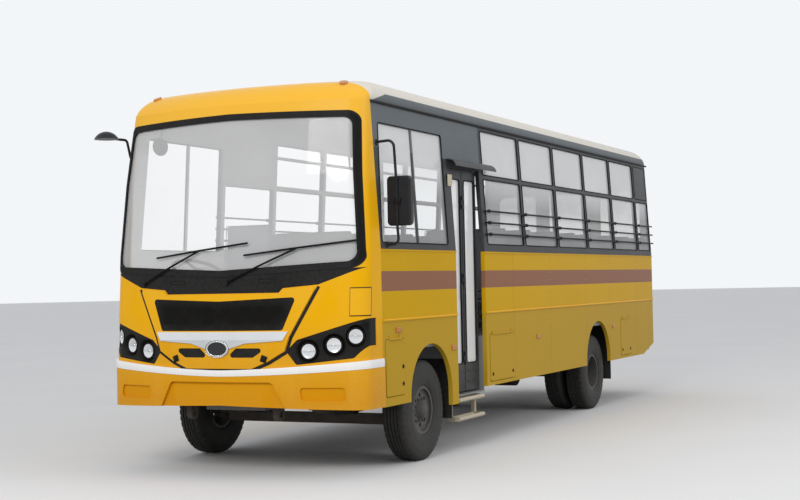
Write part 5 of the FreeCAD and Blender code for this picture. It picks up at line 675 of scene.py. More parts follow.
def make_tyre_rubber():
    """Black rubber with brown-grey dust."""
    finish, tree, shader = new_finish("tyre_rubber", specular=0.35)
    tone = blend_colour(tree, noise(tree, 14.0, 5.0, 0.65), (0.012, 0.012, 0.012), (0.030, 0.029, 0.027))
    dust = use_group(tree, DUST, Top=1.0, Amount=0.30, Scale=14.0)["Mask"]
    link_colour(tree, shader, blend_colour(tree, dust, tone, (0.095, 0.085, 0.072)))
    vary_rough(tree, shader, dust, 0.62, 0.92)
    bump(tree, shader, use_group(tree, GRAIN, Fine=1.5, Waves=0.0)["Height"], 0.3, 0.001)
    return finish


# the pale film colours and their alphas below are painted sky reflection on the outer faces
PANE_GLASS = make_glass("pane_glass", (0.86, 0.87, 0.865), (0.91, 0.915, 0.91), alpha=0.38, top_alpha=0.78)
DOOR_GLASS = make_glass("door_glass", (0.95, 0.95, 0.94), (0.97, 0.97, 0.96), alpha=0.88)
SCREEN_GLASS = make_glass("screen_glass", (0.95, 0.955, 0.96), (0.97, 0.975, 0.98), alpha=0.46, across=0.0,
                          along=1.0)
CLEAR_LENS = make_lens("clear_lens", (0.70, 0.70, 0.69), alpha=0.22)
TAIL_LENS = make_tail_lens()
ORANGE_LENS = make_lens("orange_lens", (0.62, 0.22, 0.012), coat=0.1)
TYRE_RUBBER = make_tyre_rubber()
print("glass, lenses and tyres ready")

# %% [markdown]
# ### Seat cover
# Bus benches have a tough grey leathercloth cover: a pebbled skin over a woven back. The
# weave shows as a fine crossing pattern, and some patches of the cover shine a little.

# %% Seat cover
def make_seat_cover():
    """Grey leathercloth: a weave under a pebbled skin."""
    finish, tree, shader = new_finish("seat_cover", specular=0.4)
    weave = use_group(tree, WEAVE, Threads=900.0)
    tone = blend_colour(tree, noise(tree, 5.0, 3.0), (0.13, 0.135, 0.15), (0.19, 0.195, 0.21))
    tone = blend_colour(tree, weave["Mask"], tone, (0.10, 0.10, 0.115))
    link_colour(tree, shader, tone)
    vary_rough(tree, shader, noise(tree, 3.0, 2.0), 0.42, 0.62)
    height = plus(tree, weave["Height"], noise(tree, 260.0, 2.0))
    bump(tree, shader, height, 0.3, 0.001)
    return finish


SEAT_COVER = make_seat_cover()

# %% Give every solid its finish
FINISHES = {
    FRONT_YELLOW: ("front_panel", "bumpers", "bonnet_panel"),
    SIDE_YELLOW: ("side_panel_left", "side_panel_right", "flap_front", "flap_battery", "flap_rear",
                  "rear_wall", "rear_door"),
    ROOF_WHITE: ("roof",),
    FRAME_GREY: ("window_frame_left", "window_frame_right"),
    TRIM_BLACK: ("cowl", "lamp_housings", "grille", "wipers", "steering_wheel", "guard_bars"),
    RUBBER_BLACK: ("windscreen_seal", "mud_flaps"),
    SCREEN_GLASS: ("windscreen",),
    PANE_GLASS: ("side_windows", "rear_windows", "rear_door_glass"),
    DOOR_GLASS: ("door_leaf_front_glass", "door_leaf_rear_glass"),
    CLEAR_LENS: ("lamp_lenses",),
    TAIL_LENS: ("tail_lamps",),
    ORANGE_LENS: ("marker_lamps",),
    OVAL_BAR: ("bright_bar",),
    DOOR_BLACK: ("door_leaf_front", "door_leaf_rear", "mirrors"),
    FLOOR_GREY: ("floor",),
    STEP_BEIGE: ("foot_step",),
    CHASSIS_BLACK: ("chassis_frame", "leaf_springs", "front_axle", "knuckle_left", "knuckle_right", "rear_axle",
                    "propeller_shaft", "fuel_tank", "cross_members"),
    ENGINE_GREY: ("engine",),
    DASH_GREY: ("dashboard",),
    SEAT_COVER: ("seats_left", "seats_right", "driver_seat"),
    SEAT_STEEL: ("seat_frames", "grab_rails"),
    TYRE_RUBBER: ("tyre_front_left", "tyre_front_right", "tyres_rear_left", "tyres_rear_right"),
    WHEEL_STEEL: ("rim_front_left", "rim_front_right", "rims_rear_left", "rims_rear_right"),
}
dressed = set()
for finish, names in FINISHES.items():
    for name in names:
        solid = nodes[name]
        for place in solid.material_slots:
            place.material = finish
        if not solid.material_slots:
            solid.data.materials.append(finish)
        dressed.add(name)
print("solids without a finish:", sorted(set(nodes) - dressed))

# %% [markdown]
# ## Tyres with a cut tread
# The solid tyre is a plain ring of the right size. A road tyre has zigzag grooves
# between its ribs and notched shoulders. Cutting them with booleans would be slow, so each
# tyre is turned from a profile whose groove columns swing from side to side as the
# profile goes round, and whose shoulder points drop at every notch. The result keeps the
# solid's outer size exactly and takes its place.

# %% Tyres
TYRE_RADIUS = 0.430
WHEELS = (("wheel_front_left", 1, AXLE, (1.015,), "tyre_front_left"),
          ("wheel_front_right", -1, AXLE, (1.015,), "tyre_front_right"),
          ("wheel_rear_left", 1, REAR_AXLE, (0.995, 0.733), "tyres_rear_left"),
          ("wheel_rear_right", -1, REAR_AXLE, (0.995, 0.733), "tyres_rear_right"))
WALL_PROFILE = ((0.0897, 0.2065), (0.098, 0.212), (0.103, 0.222), (0.1035, 0.232), (0.1075, 0.240),
                (0.1125, 0.275), (0.1148, 0.305), (0.1135, 0.312), (0.1148, 0.319), (0.1132, 0.345),
                (0.1105, 0.368), (0.108, 0.374))
SHOULDER = ((0.104, 0.392, 0.386), (0.098, 0.410, 0.400), (0.084, 0.4262, 0.412), (0.074, 0.4292, 0.419))
GROOVES = (-0.045, -0.015, 0.015, 0.045)
GROOVE_PROFILE = ((-0.0055, 0.0), (-0.0035, 0.011), (0.0035, 0.011), (0.0055, 0.0))
TREAD_TURNS, STEPS_A_TURN, SWING = 44, 4, 0.0042


def zigzag(turn):
    """A triangle wave from minus one to one."""
    turn = turn % 1.0
    return 4 * turn - 1 if turn < 0.5 else 3 - 4 * turn


def add_tyre(build, x, y):
    """One tyre, turned from a profile that changes from step to step."""
    rings = []
    for step, angle in enumerate(circle_angles(TREAD_TURNS * STEPS_A_TURN)):
        swing = SWING * zigzag(step / STEPS_A_TURN)
        notch = step % STEPS_A_TURN == 0
        half = list(WALL_PROFILE) + [(across, low if notch else high) for across, high, low in SHOULDER]
        points = [(-across, radius) for across, radius in half]
        points += [(groove + shift + swing, TYRE_RADIUS - drop)
                   for groove in GROOVES for shift, drop in GROOVE_PROFILE]
        points += reversed(half)
        rings.append([build.verts.new((x + across, y + radius * cos(angle),
                                       WHEEL_CENTRE + radius * sin(angle))) for across, radius in points])
    skin(build, rings + rings[:1], flip=True)


for body, side, y, places, node in WHEELS:
    build = bmesh.new()
    for place in places:
        add_tyre(build, side * place, y)
    tread = place_mesh(body + "_tread", build, body, TYRE_RUBBER, outward=True)
    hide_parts(node)
    print(tread.name, len(tread.data.polygons), "faces")

# %% [markdown]
# ## Wheel nuts and hub caps
# Eight studs hold each wheel. A nut is a six-sided turning with a round washer, and
# its stud shows through. They stand between the hand holes of the disc, on a circle
# just outside the hub. The front hubs carry a domed grease cap and the rear ones a
# flange, each with its own ring of small bolts.

# %% Nuts and caps
NUT_CIRCLE, CAP_CIRCLE, STUDS = 0.0975, 0.043, 8
FRONT_CAP = ((0.0, 0.0), (0.0, 0.050), (0.004, 0.050), (0.006, 0.047), (0.012, 0.036), (0.016, 0.020), (0.017, 0.0))
REAR_CAP = ((0.0, 0.0), (0.0, 0.055), (0.006, 0.055), (0.008, 0.052), (0.008, 0.026), (0.012, 0.022), (0.012, 0.0))


def add_nut(build, centre, axis, across=0.013, height=0.013):
    """A washer, a six-sided nut and the end of its stud."""
    top = height + 0.007
    for profile, steps in (
            ([(0, 0.0), (0, across * 1.35), (0.003, across * 1.35), (0.003, 0.0)], 16),
            ([(0.003, across * 1.1), (height - 0.002, across * 1.1), (height, across * 0.92), (height, 0.0)], 6),
            ([(height, across * 0.5), (height + 0.006, across * 0.5), (top, across * 0.4), (top, 0.0)], 10)):
        add_turned(build, profile, centre, axis, steps)


for body, side, y, places, node in WHEELS:
    front = "front" in body
    face = places[0] + (0.062 if front else -0.119)
    hub_end = face + 0.042
    build = bmesh.new()
    for angle in circle_angles(STUDS, radians(22.5)):
        add_nut(build, (side * (face + 0.0005), y + NUT_CIRCLE * cos(angle),
                        WHEEL_CENTRE + NUT_CIRCLE * sin(angle)), (side, 0, 0), across=0.0105)
    cap_centre = (side * (hub_end + 0.0005), y, WHEEL_CENTRE)
    add_turned(build, FRONT_CAP if front else REAR_CAP, cap_centre, (side, 0, 0), 32)
    for angle in circle_angles(STUDS):
        centre = (side * (hub_end + (0.002 if front else 0.0085)), y + CAP_CIRCLE * cos(angle),
                  WHEEL_CENTRE + CAP_CIRCLE * sin(angle))
        add_turned(build, [(0, 0.0045), (0.004, 0.0045), (0.005, 0.0035), (0.005, 0.0)], centre, (side, 0, 0), 6)
    nuts = place_mesh(body + "_nuts", build, body, WHEEL_STEEL)
    print(nuts.name, len(nuts.data.polygons), "faces")

# %% [markdown]
# ## The silver strip over the bumper
# A silver strip lies over the seam between the bumper and the front panel and runs
# round both corners. It is a long thin band bent to the plan of the front. Seen from
# above, the front is one wide arc between two tight ones, so one function gives the
# point at any angle from straight ahead, and the band is swept along such points.

# %% Plan of the front
OPEN_ANGLE = asin(CORNER_EDGE / BOW)       # where the wide arc ends


def arc_point(angle, proud=0.0):
    """A point of the level outline at an angle from straight ahead, and its outward direction."""
    out = Vector((sin(angle), -cos(angle), 0))
    centre = Vector((0, AXLE + NOSE + BOW, 0))
    if angle <= OPEN_ANGLE:
        return centre + out * (BOW + proud), out
    corner = Vector((sin(OPEN_ANGLE), -cos(OPEN_ANGLE), 0)) * (BOW - CORNER)
    return centre + corner + out * (CORNER + proud), out


def plan_path(y_end, proud, z):
    """Points round the front, from the right side to the left, each with its outward direction."""
    angles = [OPEN_ANGLE * step / 20 for step in range(21)]
    angles += [OPEN_ANGLE + (pi / 2 - OPEN_ANGLE) * step / 12 for step in range(1, 13)]
    points = [arc_point(angle, proud) for angle in angles]
    points = [(Vector((spot.x, spot.y + lean_at(z))), out.xy) for spot, out in points]
    points.append((Vector((HALF_WIDTH + proud, y_end)), Vector((1.0, 0.0))))
    mirrored = [(Vector((-spot.x, spot.y)), Vector((-out.x, out.y))) for spot, out in reversed(points[1:])]
    return mirrored + points


def add_plan_band(build, path, depth, crown):
    """The closed band along a plan path, crowned outwards; it grows wider to the sides."""
    rows = []
    for point, out in path:
        share = (abs(point.x) / HALF_WIDTH) ** 1.5
        low, high = 0.810 + 0.052 * share, 0.859 + 0.067 * share
        inner, outer = point - out * depth, point + out * crown
        rows.append([build.verts.new(corner) for corner in (
            (point.x, point.y, low), (outer.x, outer.y, (low + high) / 2), (point.x, point.y, high),
            (inner.x, inner.y, high), (inner.x, inner.y, low))])
    skin(build, rows, ends=True)


build = bmesh.new()
add_plan_band(build, plan_path(AXLE - 0.945, proud=0.021, z=0.85), 0.0195, crown=0.004)
strip = place_mesh("silver_strip", build, "bus", SILVER_TRIM, outward=True)
print("silver strip", len(strip.data.polygons), "faces")

# %% [markdown]
# ## The grille's fine mesh
# Behind the bonnet's openings lies an expanded mesh of small cells. As solids, thousands
# of cells would make the model heavy, so here each cell is a thin six-sided ring that
# slopes inwards. The rings share one sheet that follows the bow of the front. A slim
# upright bar stands in the middle, as on the real grille.

# %% Grille mesh
def inside_outline(x, z, outline):
    """True if a place lies inside a closed outline."""
    inside = False
    for (x1, z1), (x2, z2) in zip(outline, outline[1:] + outline[:1]):
        if (z1 > z) != (z2 > z) and x < (x2 - x1) * (z - z1) / (z2 - z1) + x1:
            inside = not inside
    return inside


def add_mesh_sheet(build, outline):
    """Six-sided rings over an outline on the front surface, each with a sloping inner edge."""
    xs, zs = zip(*outline)
    row = 0
    z = min(zs)
    while z < max(zs):
        x = min(xs) + (CELL * sqrt(3) / 2 if row % 2 else 0)
        while x < max(xs):
            if inside_outline(x, z, outline):
                outer, inner = [
                    [build.verts.new(on_front(x + reach * cos(a), z + reach * sin(a), proud))
                     for a in circle_angles(6, pi / 6)]
                    for reach, proud in ((CELL, MESH_PROUD), (CELL - WIRE, MESH_PROUD - 0.003))]
                skin(build, (outer, inner), flip=True)
            x += CELL * sqrt(3)
        z += CELL * 1.5
        row += 1


CELL, WIRE, MESH_PROUD = 0.0085, 0.0018, -0.0040
GRILLE = [(-0.655, 1.418), (0.0, 1.392), (0.655, 1.418), (0.556, 1.182), (-0.556, 1.182)]
VENT = [(0.168, 1.024), (0.418, 1.024), (0.305, 0.972), (0.108, 0.972)]
build = bmesh.new()
for outline in (GRILLE, VENT, [(-x, z) for x, z in VENT]):
    add_mesh_sheet(build, outline)
mesh = place_mesh("grille_mesh", build, "bonnet", TRIM_BLACK, smooth=False)
build = bmesh.new()
skin(build, [[build.verts.new(on_front(x, z, proud)) for z, proud in (
    (1.178, 0.004), (1.398, 0.004), (1.398, -0.002), (1.178, -0.002))] for x in (-0.007, 0.007)], ends=True)
place_mesh("grille_centre_bar", build, "bonnet", TRIM_BLACK)
print("mesh cells", len(mesh.data.polygons) // 6)

# %% [markdown]
# ## Trim on the bonnet
# The bright bar carries an oval that stays bare here: a dark domed plate inside a
# bright ring. The bar's own paint has the same oval, so it stays whole where the plate
# is sunk. Two square black latches hold the lower edge of the bonnet. Each is a small
# rounded slab turned to lie on the bowed surface.

# %% Oval and latches
def oval_points(build, share, proud):
    """The oval's outline on the front, at a share of its full size."""
    across, up = OVAL_HALF
    return [build.verts.new(on_front(across * share * cos(a), OVAL_HEIGHT + up * share * sin(a), proud))
            for a in circle_angles(48)]


def add_fan(build, centre, ring):
    """Faces from a middle point to a ring."""
    for k in range(len(ring)):
        build.faces.new((centre, ring[k], ring[(k + 1) % len(ring)]))


build = bmesh.new()
skin(build, [oval_points(build, share, proud)
             for share, proud in ((1.0, 0.0245), (0.95, 0.0254), (0.88, 0.0258), (0.82, 0.0249))], flip=True)
ring = place_mesh("oval_ring", build, "bonnet", BRIGHT_METAL, outward=True)

build = bmesh.new()
centre = build.verts.new(on_front(0, OVAL_HEIGHT, 0.0256))
rings = [oval_points(build, share, 0.0256 - 0.001 * share ** 2) for share in (0.3, 0.6, 0.82)]
add_fan(build, centre, rings[0])
skin(build, rings)
dome = place_mesh("oval_plate", build, "bonnet", TRIM_BLACK, outward=True)

build = bmesh.new()
for side in (1, -1):
    middle = on_front(side * 0.412, 0.950, 0.0205)
    turn = Matrix.Rotation(side * 0.13, 3, "Z") @ Matrix.Rotation(side * 0.35, 3, "Y")
    add_box(build, middle - Vector((0.026, 0.0045, 0.026)), middle + Vector((0.026, 0.0045, 0.026)), 0.003, 2, turn)
    add_box(build, middle - Vector((0.012, 0.009, 0.016)), middle + Vector((0.012, 0.002, 0.016)), 0.002, 2, turn)
latches = place_mesh("bonnet_latches", build, "bonnet", TRIM_BLACK)
print("bonnet trim", len(ring.data.polygons) + len(dome.data.polygons) + len(latches.data.polygons), "faces")

# %% [markdown]
# ## Lamp bowls and bezels
# Each headlamp is a round clear lens in a dark pocket. A bright reflector bowl and a
# small bulb cap stand behind the lens with a few clear rings, and a thin bezel goes
# round it. All of them are turned from profiles about the lamp's own direction, which
# swings outwards from the inner lamp to the outer one.

# %% Lamps
LAMPS = ((0.762, 1.006, 12), (0.962, 1.050, 20), (1.128, 1.117, 40))    # place on the front, turn outwards
LENS_DEPTH, RING_DEPTH, RING_RADII = 0.028, 0.012, (0.022, 0.036, 0.049)
BOWL = ((0.0006, 0.0), (0.0008, 0.012), (0.0020, 0.030), (0.0040, 0.046), (0.0062, 0.054), (0.0066, 0.0565),
        (0.0030, 0.0575))
BULB = ((0.002, 0.0085), (0.009, 0.0085), (0.0125, 0.006), (0.0135, 0.0))
BEZEL = ((-0.004, 0.0622), (-0.004, 0.0700), (0.0040, 0.0705), (0.0065, 0.0680), (0.0065, 0.0640), (0.0045, 0.0585),
         (0.0, 0.0580))
bowls, bezels, fluting = bmesh.new(), bmesh.new(), bmesh.new()
for side in (1, -1):
    for x, z, turn in LAMPS:
        outward = Vector((side * sin(radians(turn)), -cos(radians(turn)), 0))
        face = on_front(side * x, z) - outward * LENS_DEPTH
        add_turned(bowls, BOWL, face, outward, 40)
        add_turned(bowls, BULB, face, outward, 20)
        add_turned(bezels, BEZEL, face, outward, 48)
        for radius in RING_RADII:
            profile = [(0.0145, radius - 0.0012), (0.0155, radius), (0.0145, radius + 0.0012)]
            add_turned(fluting, profile, face - outward * RING_DEPTH, outward, 40)
reflectors = place_mesh("lamp_reflectors", bowls, "bus", BRIGHT_METAL)
bezel = place_mesh("lamp_bezels", bezels, "bus", TRIM_BLACK)
place_mesh("lamp_fluting", fluting, "bus", CLEAR_LENS)
print("lamp pieces", len(reflectors.data.polygons), len(bezel.data.polygons))

# %% [markdown]
# ## The seam round the bonnet
# The lifting front panel closes on a black rubber strip, which frames it as a dark
# line. The strip is a narrow band that lies on the fixed panel, just outside the
# bonnet's own outline, and it stays behind when the bonnet lifts.

# %% Bonnet seam
SEAM_PATH = ((0.830, 1.518), (0.618, 1.120), (0.582, 1.010), (0.444, 0.930), (0.300, 0.872), (0.0, 0.872))
SEAM_INNER, SEAM_OUTER = 0.003, 0.026


def seam_rows(side):
    """Points of the strip's inner and outer edge on one side of the front."""
    rows = []
    for first, second in zip(SEAM_PATH, SEAM_PATH[1:]):
        start, end = Vector((side * first[0], first[1])), Vector((side * second[0], second[1]))
        along = (end - start).normalized()
        out = Vector((-along.y, along.x))
        if out.dot(start - Vector((0.0, 1.15))) < 0:
            out = -out
        steps = max(2, int((end - start).length / 0.04))
        for step in range(steps + 1):
            spot = start.lerp(end, step / steps)
            rows.append([(spot + out * reach) for reach in (SEAM_INNER, SEAM_OUTER)])
    return rows


build = bmesh.new()
for side in (1, -1):
    skin(build, [[build.verts.new(on_front(spot.x, spot.y, proud)) for spot, proud in (
        (inner, 0.0004), (inner, 0.0030), (outer, 0.0030), (outer, 0.0004))]
        for inner, outer in seam_rows(side)], flip=True)
seam = place_mesh("bonnet_seam", build, "bus", RUBBER_BLACK, outward=True)
print("bonnet seam", len(seam.data.polygons), "faces")

# %% [markdown]
# ## The small sign plate
# A square yellow plate with a black border sits on the left front corner. It stays
# blank. The corner is round, so the plate and its border are patches that follow the
# same arcs as the silver strip, a little proud of the panel.

# %% Sign plate
def corner_patch(name, low_angle, high_angle, z_low, z_high, proud, finish, depth=0.002, steps=10):
    """A patch on the left front corner between two angles from straight ahead."""
    build = bmesh.new()
    rows = []
    for step in range(steps + 1):
        angle = radians(low_angle + (high_angle - low_angle) * step / steps)
        row = []
        for z, reach in ((z_low, proud), (z_high, proud), (z_high, proud - depth), (z_low, proud - depth)):
            spot = arc_point(angle, reach)[0]
            row.append(build.verts.new((spot.x, spot.y + lean_at(z), z)))
        rows.append(row)
    skin(build, rows, ends=True)
    return place_mesh(name, build, "bus", finish, outward=True)


corner_patch("sign_border", 20.0, 87.5, 1.273, 1.499, 0.0022, TRIM_BLACK)
sign = corner_patch("sign_plate", 21.2, 84.8, 1.281, 1.491, 0.0030, FRONT_YELLOW)
print("sign", [round(v, 3) for v in sign.bound_box[6]])

# %% [markdown]
# ## Gutter, seals and small fittings along the sides
# A black gutter runs along each side under the roof. Each window sits in a rubber seal,
# which shows as a thin black line round the pane. The seal is one closed tube per
# window that follows the lean of the side. The cab windows also have the meeting bar of
# their sliding panes.

# %% Gutters and window seals
GUTTER_SECTION = ((0.001, -0.010), (0.012, -0.010), (0.014, -0.004), (0.014, 0.006), (0.009, 0.010), (0.001, 0.010))
BAY_START, BAY_PITCH, POST_HALF = 1.354, 1.046, 0.029
POSTS = [BAY_START + BAY_PITCH * index for index in range(6)]
BAYS = [(post + POST_HALF, post + BAY_PITCH - POST_HALF) for post in POSTS[:5]]
BAYS.append((POSTS[5] + POST_HALF, POSTS[5] + POST_HALF + 0.560))
PANES = ((1.866, 2.493), (2.527, 2.955))        # lower and upper panes
CAB_START, CAB_LOW, CAB_HIGH, CAB_LEAN = -0.90, 1.85, 2.83, 0.070
PANE_CORNER = 0.022

build = bmesh.new()
for side in (1, -1):
    rows = [[build.verts.new(side_point(side, y, GUTTER - 0.008 + rise, proud)) for proud, rise in GUTTER_SECTION]
            for y in (-0.93, 0.4, 1.6, 3.0, 4.4, 5.8, 7.26)]
    skin(build, rows, flip=True, ends=True)
gutter = place_mesh("gutters", build, "bus", TRIM_BLACK, outward=True)

build = bmesh.new()
for side in (1, -1):
    bays = BAYS if side > 0 else [(0.42, 1.325)] + BAYS
    windows = [(*bay, *pane) for bay in bays for pane in PANES]
    windows.append((CAB_START, 0.442 if side > 0 else 0.36, CAB_LOW, CAB_HIGH))
    for start, end, low, high in windows:
        loop = rounded_loop(start + 0.004, end - 0.004, low + 0.004, high - 0.004, PANE_CORNER)
        if start < 0:
            loop = [(y + CAB_LEAN * (z - low) / (high - low) if y < 0 else y, z) for y, z in loop]
        add_tube(build, [side_point(side, y, z, 0.0005) for y, z in loop], 0.0055, 6, closed=True)
seals = place_mesh("window_seals", build, "bus", RUBBER_BLACK, outward=True)
print("gutters", len(gutter.data.polygons), "window seals", len(seals.data.polygons))

# %% Cab window bars, hanging box and latches on the sides
SLIDE_MIDDLE = -0.188
SLIDE_SECTION = ((-0.018, -0.020), (-0.018, -0.004), (0.018, -0.004), (0.018, -0.020))
build = bmesh.new()
for side in (1, -1):
    rows = [[build.verts.new(side_point(side, SLIDE_MIDDLE + shift, z, proud)) for shift, proud in SLIDE_SECTION]
            for z in (1.862, 2.10, 2.40, 2.60, 2.818)]
    skin(build, rows, flip=True)
place_mesh("cab_window_bars", build, "bus", FRAME_GREY, outward=True)

build = bmesh.new()
for side in (1, -1):
    slot = rounded_loop(*sorted((side * 0.345, side * 0.500)), 1.549, 1.577, 0.012)
    add_tube(build, [on_front(x, z, 0.0005) for x, z in slot], 0.003, 6, closed=True)
place_mesh("cowl_slots", build, "bus", TRIM_BLACK)

build = bmesh.new()
add_box(build, side_point(1, 0.505, 2.378, 0.004), side_point(1, 0.592, 2.484, 0.022), 0.004)
place_mesh("small_box", build, "bus", STEP_BEIGE)

SIDE_FACE = 1.1902
FLAPS = {"flap_front": ((-0.563, 0.841), (-0.563, 0.700)), "flap_battery": ((1.430, 0.640), (1.960, 0.640)),
         "flap_rear": ((5.756, 0.640), (6.095, 0.640))}
for body, places in FLAPS.items():
    build = bmesh.new()
    for y, z in places:
        foot = Vector((SIDE_FACE + 0.004, AXLE + y, z))
        add_turned(build, [(0, 0.0), (0, 0.017), (0.002, 0.018), (0.0035, 0.016), (0.0038, 0.0)], foot, (1, 0, 0), 24)
        add_box(build, foot + Vector((0.0022, -0.0045, -0.0135)), foot + Vector((0.0058, 0.0045, 0.0135)), 0.0015)
    place_mesh(body + "_latches", build, body, TRIM_BLACK)
print("side fittings made")

# %% [markdown]
# ## Rivets and screws
# Sheet panels are riveted to the posts behind them, and hinges and brackets are held with
# domed screws. A row of small domes costs little, since each has only a few faces, and it
# gives the eye the scale of the whole bus. A helper makes one dome, and lists of places
# do the rest.

# %% Rivets
def add_dome(build, centre, axis, radius, height, steps=8):
    """The low domed head of a rivet or a screw."""
    profile = [(0, radius), (height * 0.55, radius * 0.80), (height, radius * 0.35), (height * 1.04, 0.0)]
    add_turned(build, profile, centre, axis, steps)


RIVET_HEIGHTS = [1.275 + 0.082 * index for index in range(7)] + [0.72 + 0.085 * index for index in range(6)]
build = bmesh.new()
for side in (1, -1):
    for seam in SEAMS:
        for shift in (-0.018, 0.018):
            for z in RIVET_HEIGHTS:
                add_dome(build, (side * SIDE_FACE, AXLE + seam + shift, z), (side, 0, 0), 0.0042, 0.0020)
rivets = place_mesh("side_rivets", build, "bus", SIDE_YELLOW)

build = bmesh.new()
for side in (1, -1):
    for y in POSTS + [7.202]:
        for z in (1.905, 2.20, 2.46, 2.56, 2.92):
            add_dome(build, side_point(side, y, z, 0.0003), (side, 0, 0.05), 0.0038, 0.0018)
frame_screws = place_mesh("frame_screws", build, "bus", FRAME_GREY)
print("rivets", len(rivets.data.polygons), "screws", len(frame_screws.data.polygons))

# %% [markdown]
# ## Entrance door
# Both leaves close with a soft rubber nosing, a round strip as tall as the leaf. The
# front leaf has a small handle outside, and each leaf a slim grab bar behind its glass.
# The panes get the same rubber seal as the windows, but set on both flat faces of the
# leaf.

# %% Door pieces
LEAVES = {"door_leaf_front": (0.610, 0.940), "door_leaf_rear": (0.950, 1.280)}
LEAF_FACE, BAR_DEPTH, BAR_HEIGHT = 1.110, 1.040, 1.40
PANE_INSET, PANE_LOW, PANE_HIGH = 0.044, 0.772, 2.458
for body, (start, end) in LEAVES.items():
    front = body == "door_leaf_front"
    build = bmesh.new()
    loop = rounded_loop(start + PANE_INSET, end - PANE_INSET, PANE_LOW, PANE_HIGH, 0.030)
    for x, radius in ((LEAF_FACE + 0.0005, 0.0055), (LEAF_FACE - 0.0305, 0.0045)):
        add_tube(build, [(x, AXLE + y, z) for y, z in loop], radius, 6, closed=True)
    nosing = end - 0.0025 if front else start + 0.0025
    add_tube(build, [(LEAF_FACE - 0.015, AXLE + nosing, z) for z in (0.53, 1.2, 1.9, 2.54)], 0.0045, 8)
    place_mesh(body + "_seal", build, body, RUBBER_BLACK)
    build = bmesh.new()
    for z in (0.60, 0.70):
        add_box(build, (LEAF_FACE, AXLE + start + 0.06, z - 0.009),
                (LEAF_FACE + 0.0035, AXLE + end - 0.06, z + 0.009), 0.0015)
    for z in (0.56, 2.50):
        for y in (start + 0.022, end - 0.022):
            add_dome(build, (LEAF_FACE + 0.0002, AXLE + y, z), (1, 0, 0), 0.005, 0.0025)
    if front:
        add_box(build, (LEAF_FACE, AXLE + 0.885, 1.36), (LEAF_FACE + 0.010, AXLE + 0.915, 1.50), 0.004)
    place_mesh(body + "_ribs", build, body, DOOR_BLACK)
    build = bmesh.new()
    middle = AXLE + (start + end) / 2
    add_tube(build, [(x, middle + y, BAR_HEIGHT) for x, y in (
        (1.077, -0.12), (BAR_DEPTH, -0.12), (BAR_DEPTH, 0.12), (1.077, 0.12))], 0.009, 8)
    place_mesh(body + "_bar", build, body, SEAT_STEEL)
print("door pieces made")

# %% [markdown]
# ## The rear of the bus
# The rear door has a lever handle and a seal round its window. A blank plate with two
# small lamps sits below it. The tail lamps are split into three lenses by dark ribs.
# Their colours come from their own finish, which changes with height.

# %% Rear fittings
REAR = AXLE + 7.350
REAR_WINDOW = (1.844, 2.676)


def add_rear_seal(build, left, right, low, high, corner, radius, corner_steps=4):
    """A closed rubber tube on the rear wall."""
    loop = rounded_loop(left, right, low, high, corner, corner_steps)
    add_tube(build, [(x, REAR + 0.0005, z) for x, z in loop], radius, 6, closed=True)


build = bmesh.new()
add_turned(build, [(0, 0.0), (0, 0.030), (0.004, 0.030), (0.006, 0.026), (0.006, 0.0)], (0.305, REAR + 0.0005, 1.62),
           (0, 1, 0), 24)
add_turned(build, [(0.006, 0.013), (0.020, 0.011), (0.022, 0.0)], (0.305, REAR, 1.62), (0, 1, 0), 16)
add_box(build, (0.170, REAR + 0.018, 1.608), (0.318, REAR + 0.028, 1.632), 0.004)
add_rear_seal(build, -0.276, 0.276, *REAR_WINDOW, 0.044, 0.006)
add_rear_seal(build, -0.352, 0.352, 1.068, 2.752, 0.022, 0.004)
place_mesh("rear_door_trim", build, "rear_door", TRIM_BLACK)

build = bmesh.new()
for side in (1, -1):
    add_rear_seal(build, *sorted((side * 0.454, side * 1.006)), *REAR_WINDOW, 0.092, 0.006, 6)
place_mesh("rear_window_seals", build, "bus", RUBBER_BLACK)

build = bmesh.new()
for side in (1, -1):
    near, far = sorted((side * 0.930, side * 1.080))
    for z in TAIL_LINES:
        add_box(build, (near + 0.002, REAR + 0.020, z - 0.004), (far - 0.002, REAR + 0.0255, z + 0.004), 0.001)
    for x in (near + 0.014, far - 0.014):
        for z in (1.000, 1.280):
            add_dome(build, (x, REAR + 0.0235, z), (0, 1, 0), 0.005, 0.002)
place_mesh("tail_lamp_ribs", build, "bus", TRIM_BLACK)

build = bmesh.new()
add_box(build, (-0.260, REAR + 0.0015, 0.800), (0.260, REAR + 0.006, 0.920), 0.002)
place_mesh("rear_plate", build, "bus", PLATE_WHITE)
build = bmesh.new()
for side in (-1, 1):
    add_dome(build, (side * 0.200, REAR + 0.006, 0.860), (0, 1, 0), 0.007, 0.003, 12)
    x = side * 0.12
    add_box(build, (x - 0.035, REAR + 0.001, 0.935), (x + 0.035, REAR + 0.030, 0.962), 0.005)
place_mesh("rear_plate_lamps", build, "bus", TRIM_BLACK)
print("rear fittings made")

# %% [markdown]
# ## Roof sheets
# The roof skin is laid in sheets over curved bows. Every second bow shows as a low
# rounded rib where two sheets lap. Each rib is a narrow band that follows the roof, so
# its height is read from the roof's own mesh by casting rays down on it.

# %% Roof laps
BOX_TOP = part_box("roof")[1][2] - 0.0001         # no rib stands above the model's own box
LAP_START, LAP_PITCH, LAPS = 0.60, 1.16, 6


def add_roof_rib(build, y, half_width=0.012, height=0.0015):
    """A low rib over the roof at one place along it, from gutter to gutter."""
    rows = []
    for step in range(41):
        x = -1.075 + 2.15 * step / 40
        edges = []
        for shift in (-half_width, half_width):
            hit, spot = nodes["roof"].ray_cast(Vector((x, y + shift, ABOVE_ROOF)), Vector((0, 0, -1)))[:2]
            if hit:
                edges.append(spot)
        if len(edges) == 2:
            front, back = edges
            top = (front + back) / 2 + Vector((0, 0, height))
            top.z = min(top.z, BOX_TOP)
            rows.append([build.verts.new(spot) for spot in (front, top, back)])
    skin(build, rows, around=False)


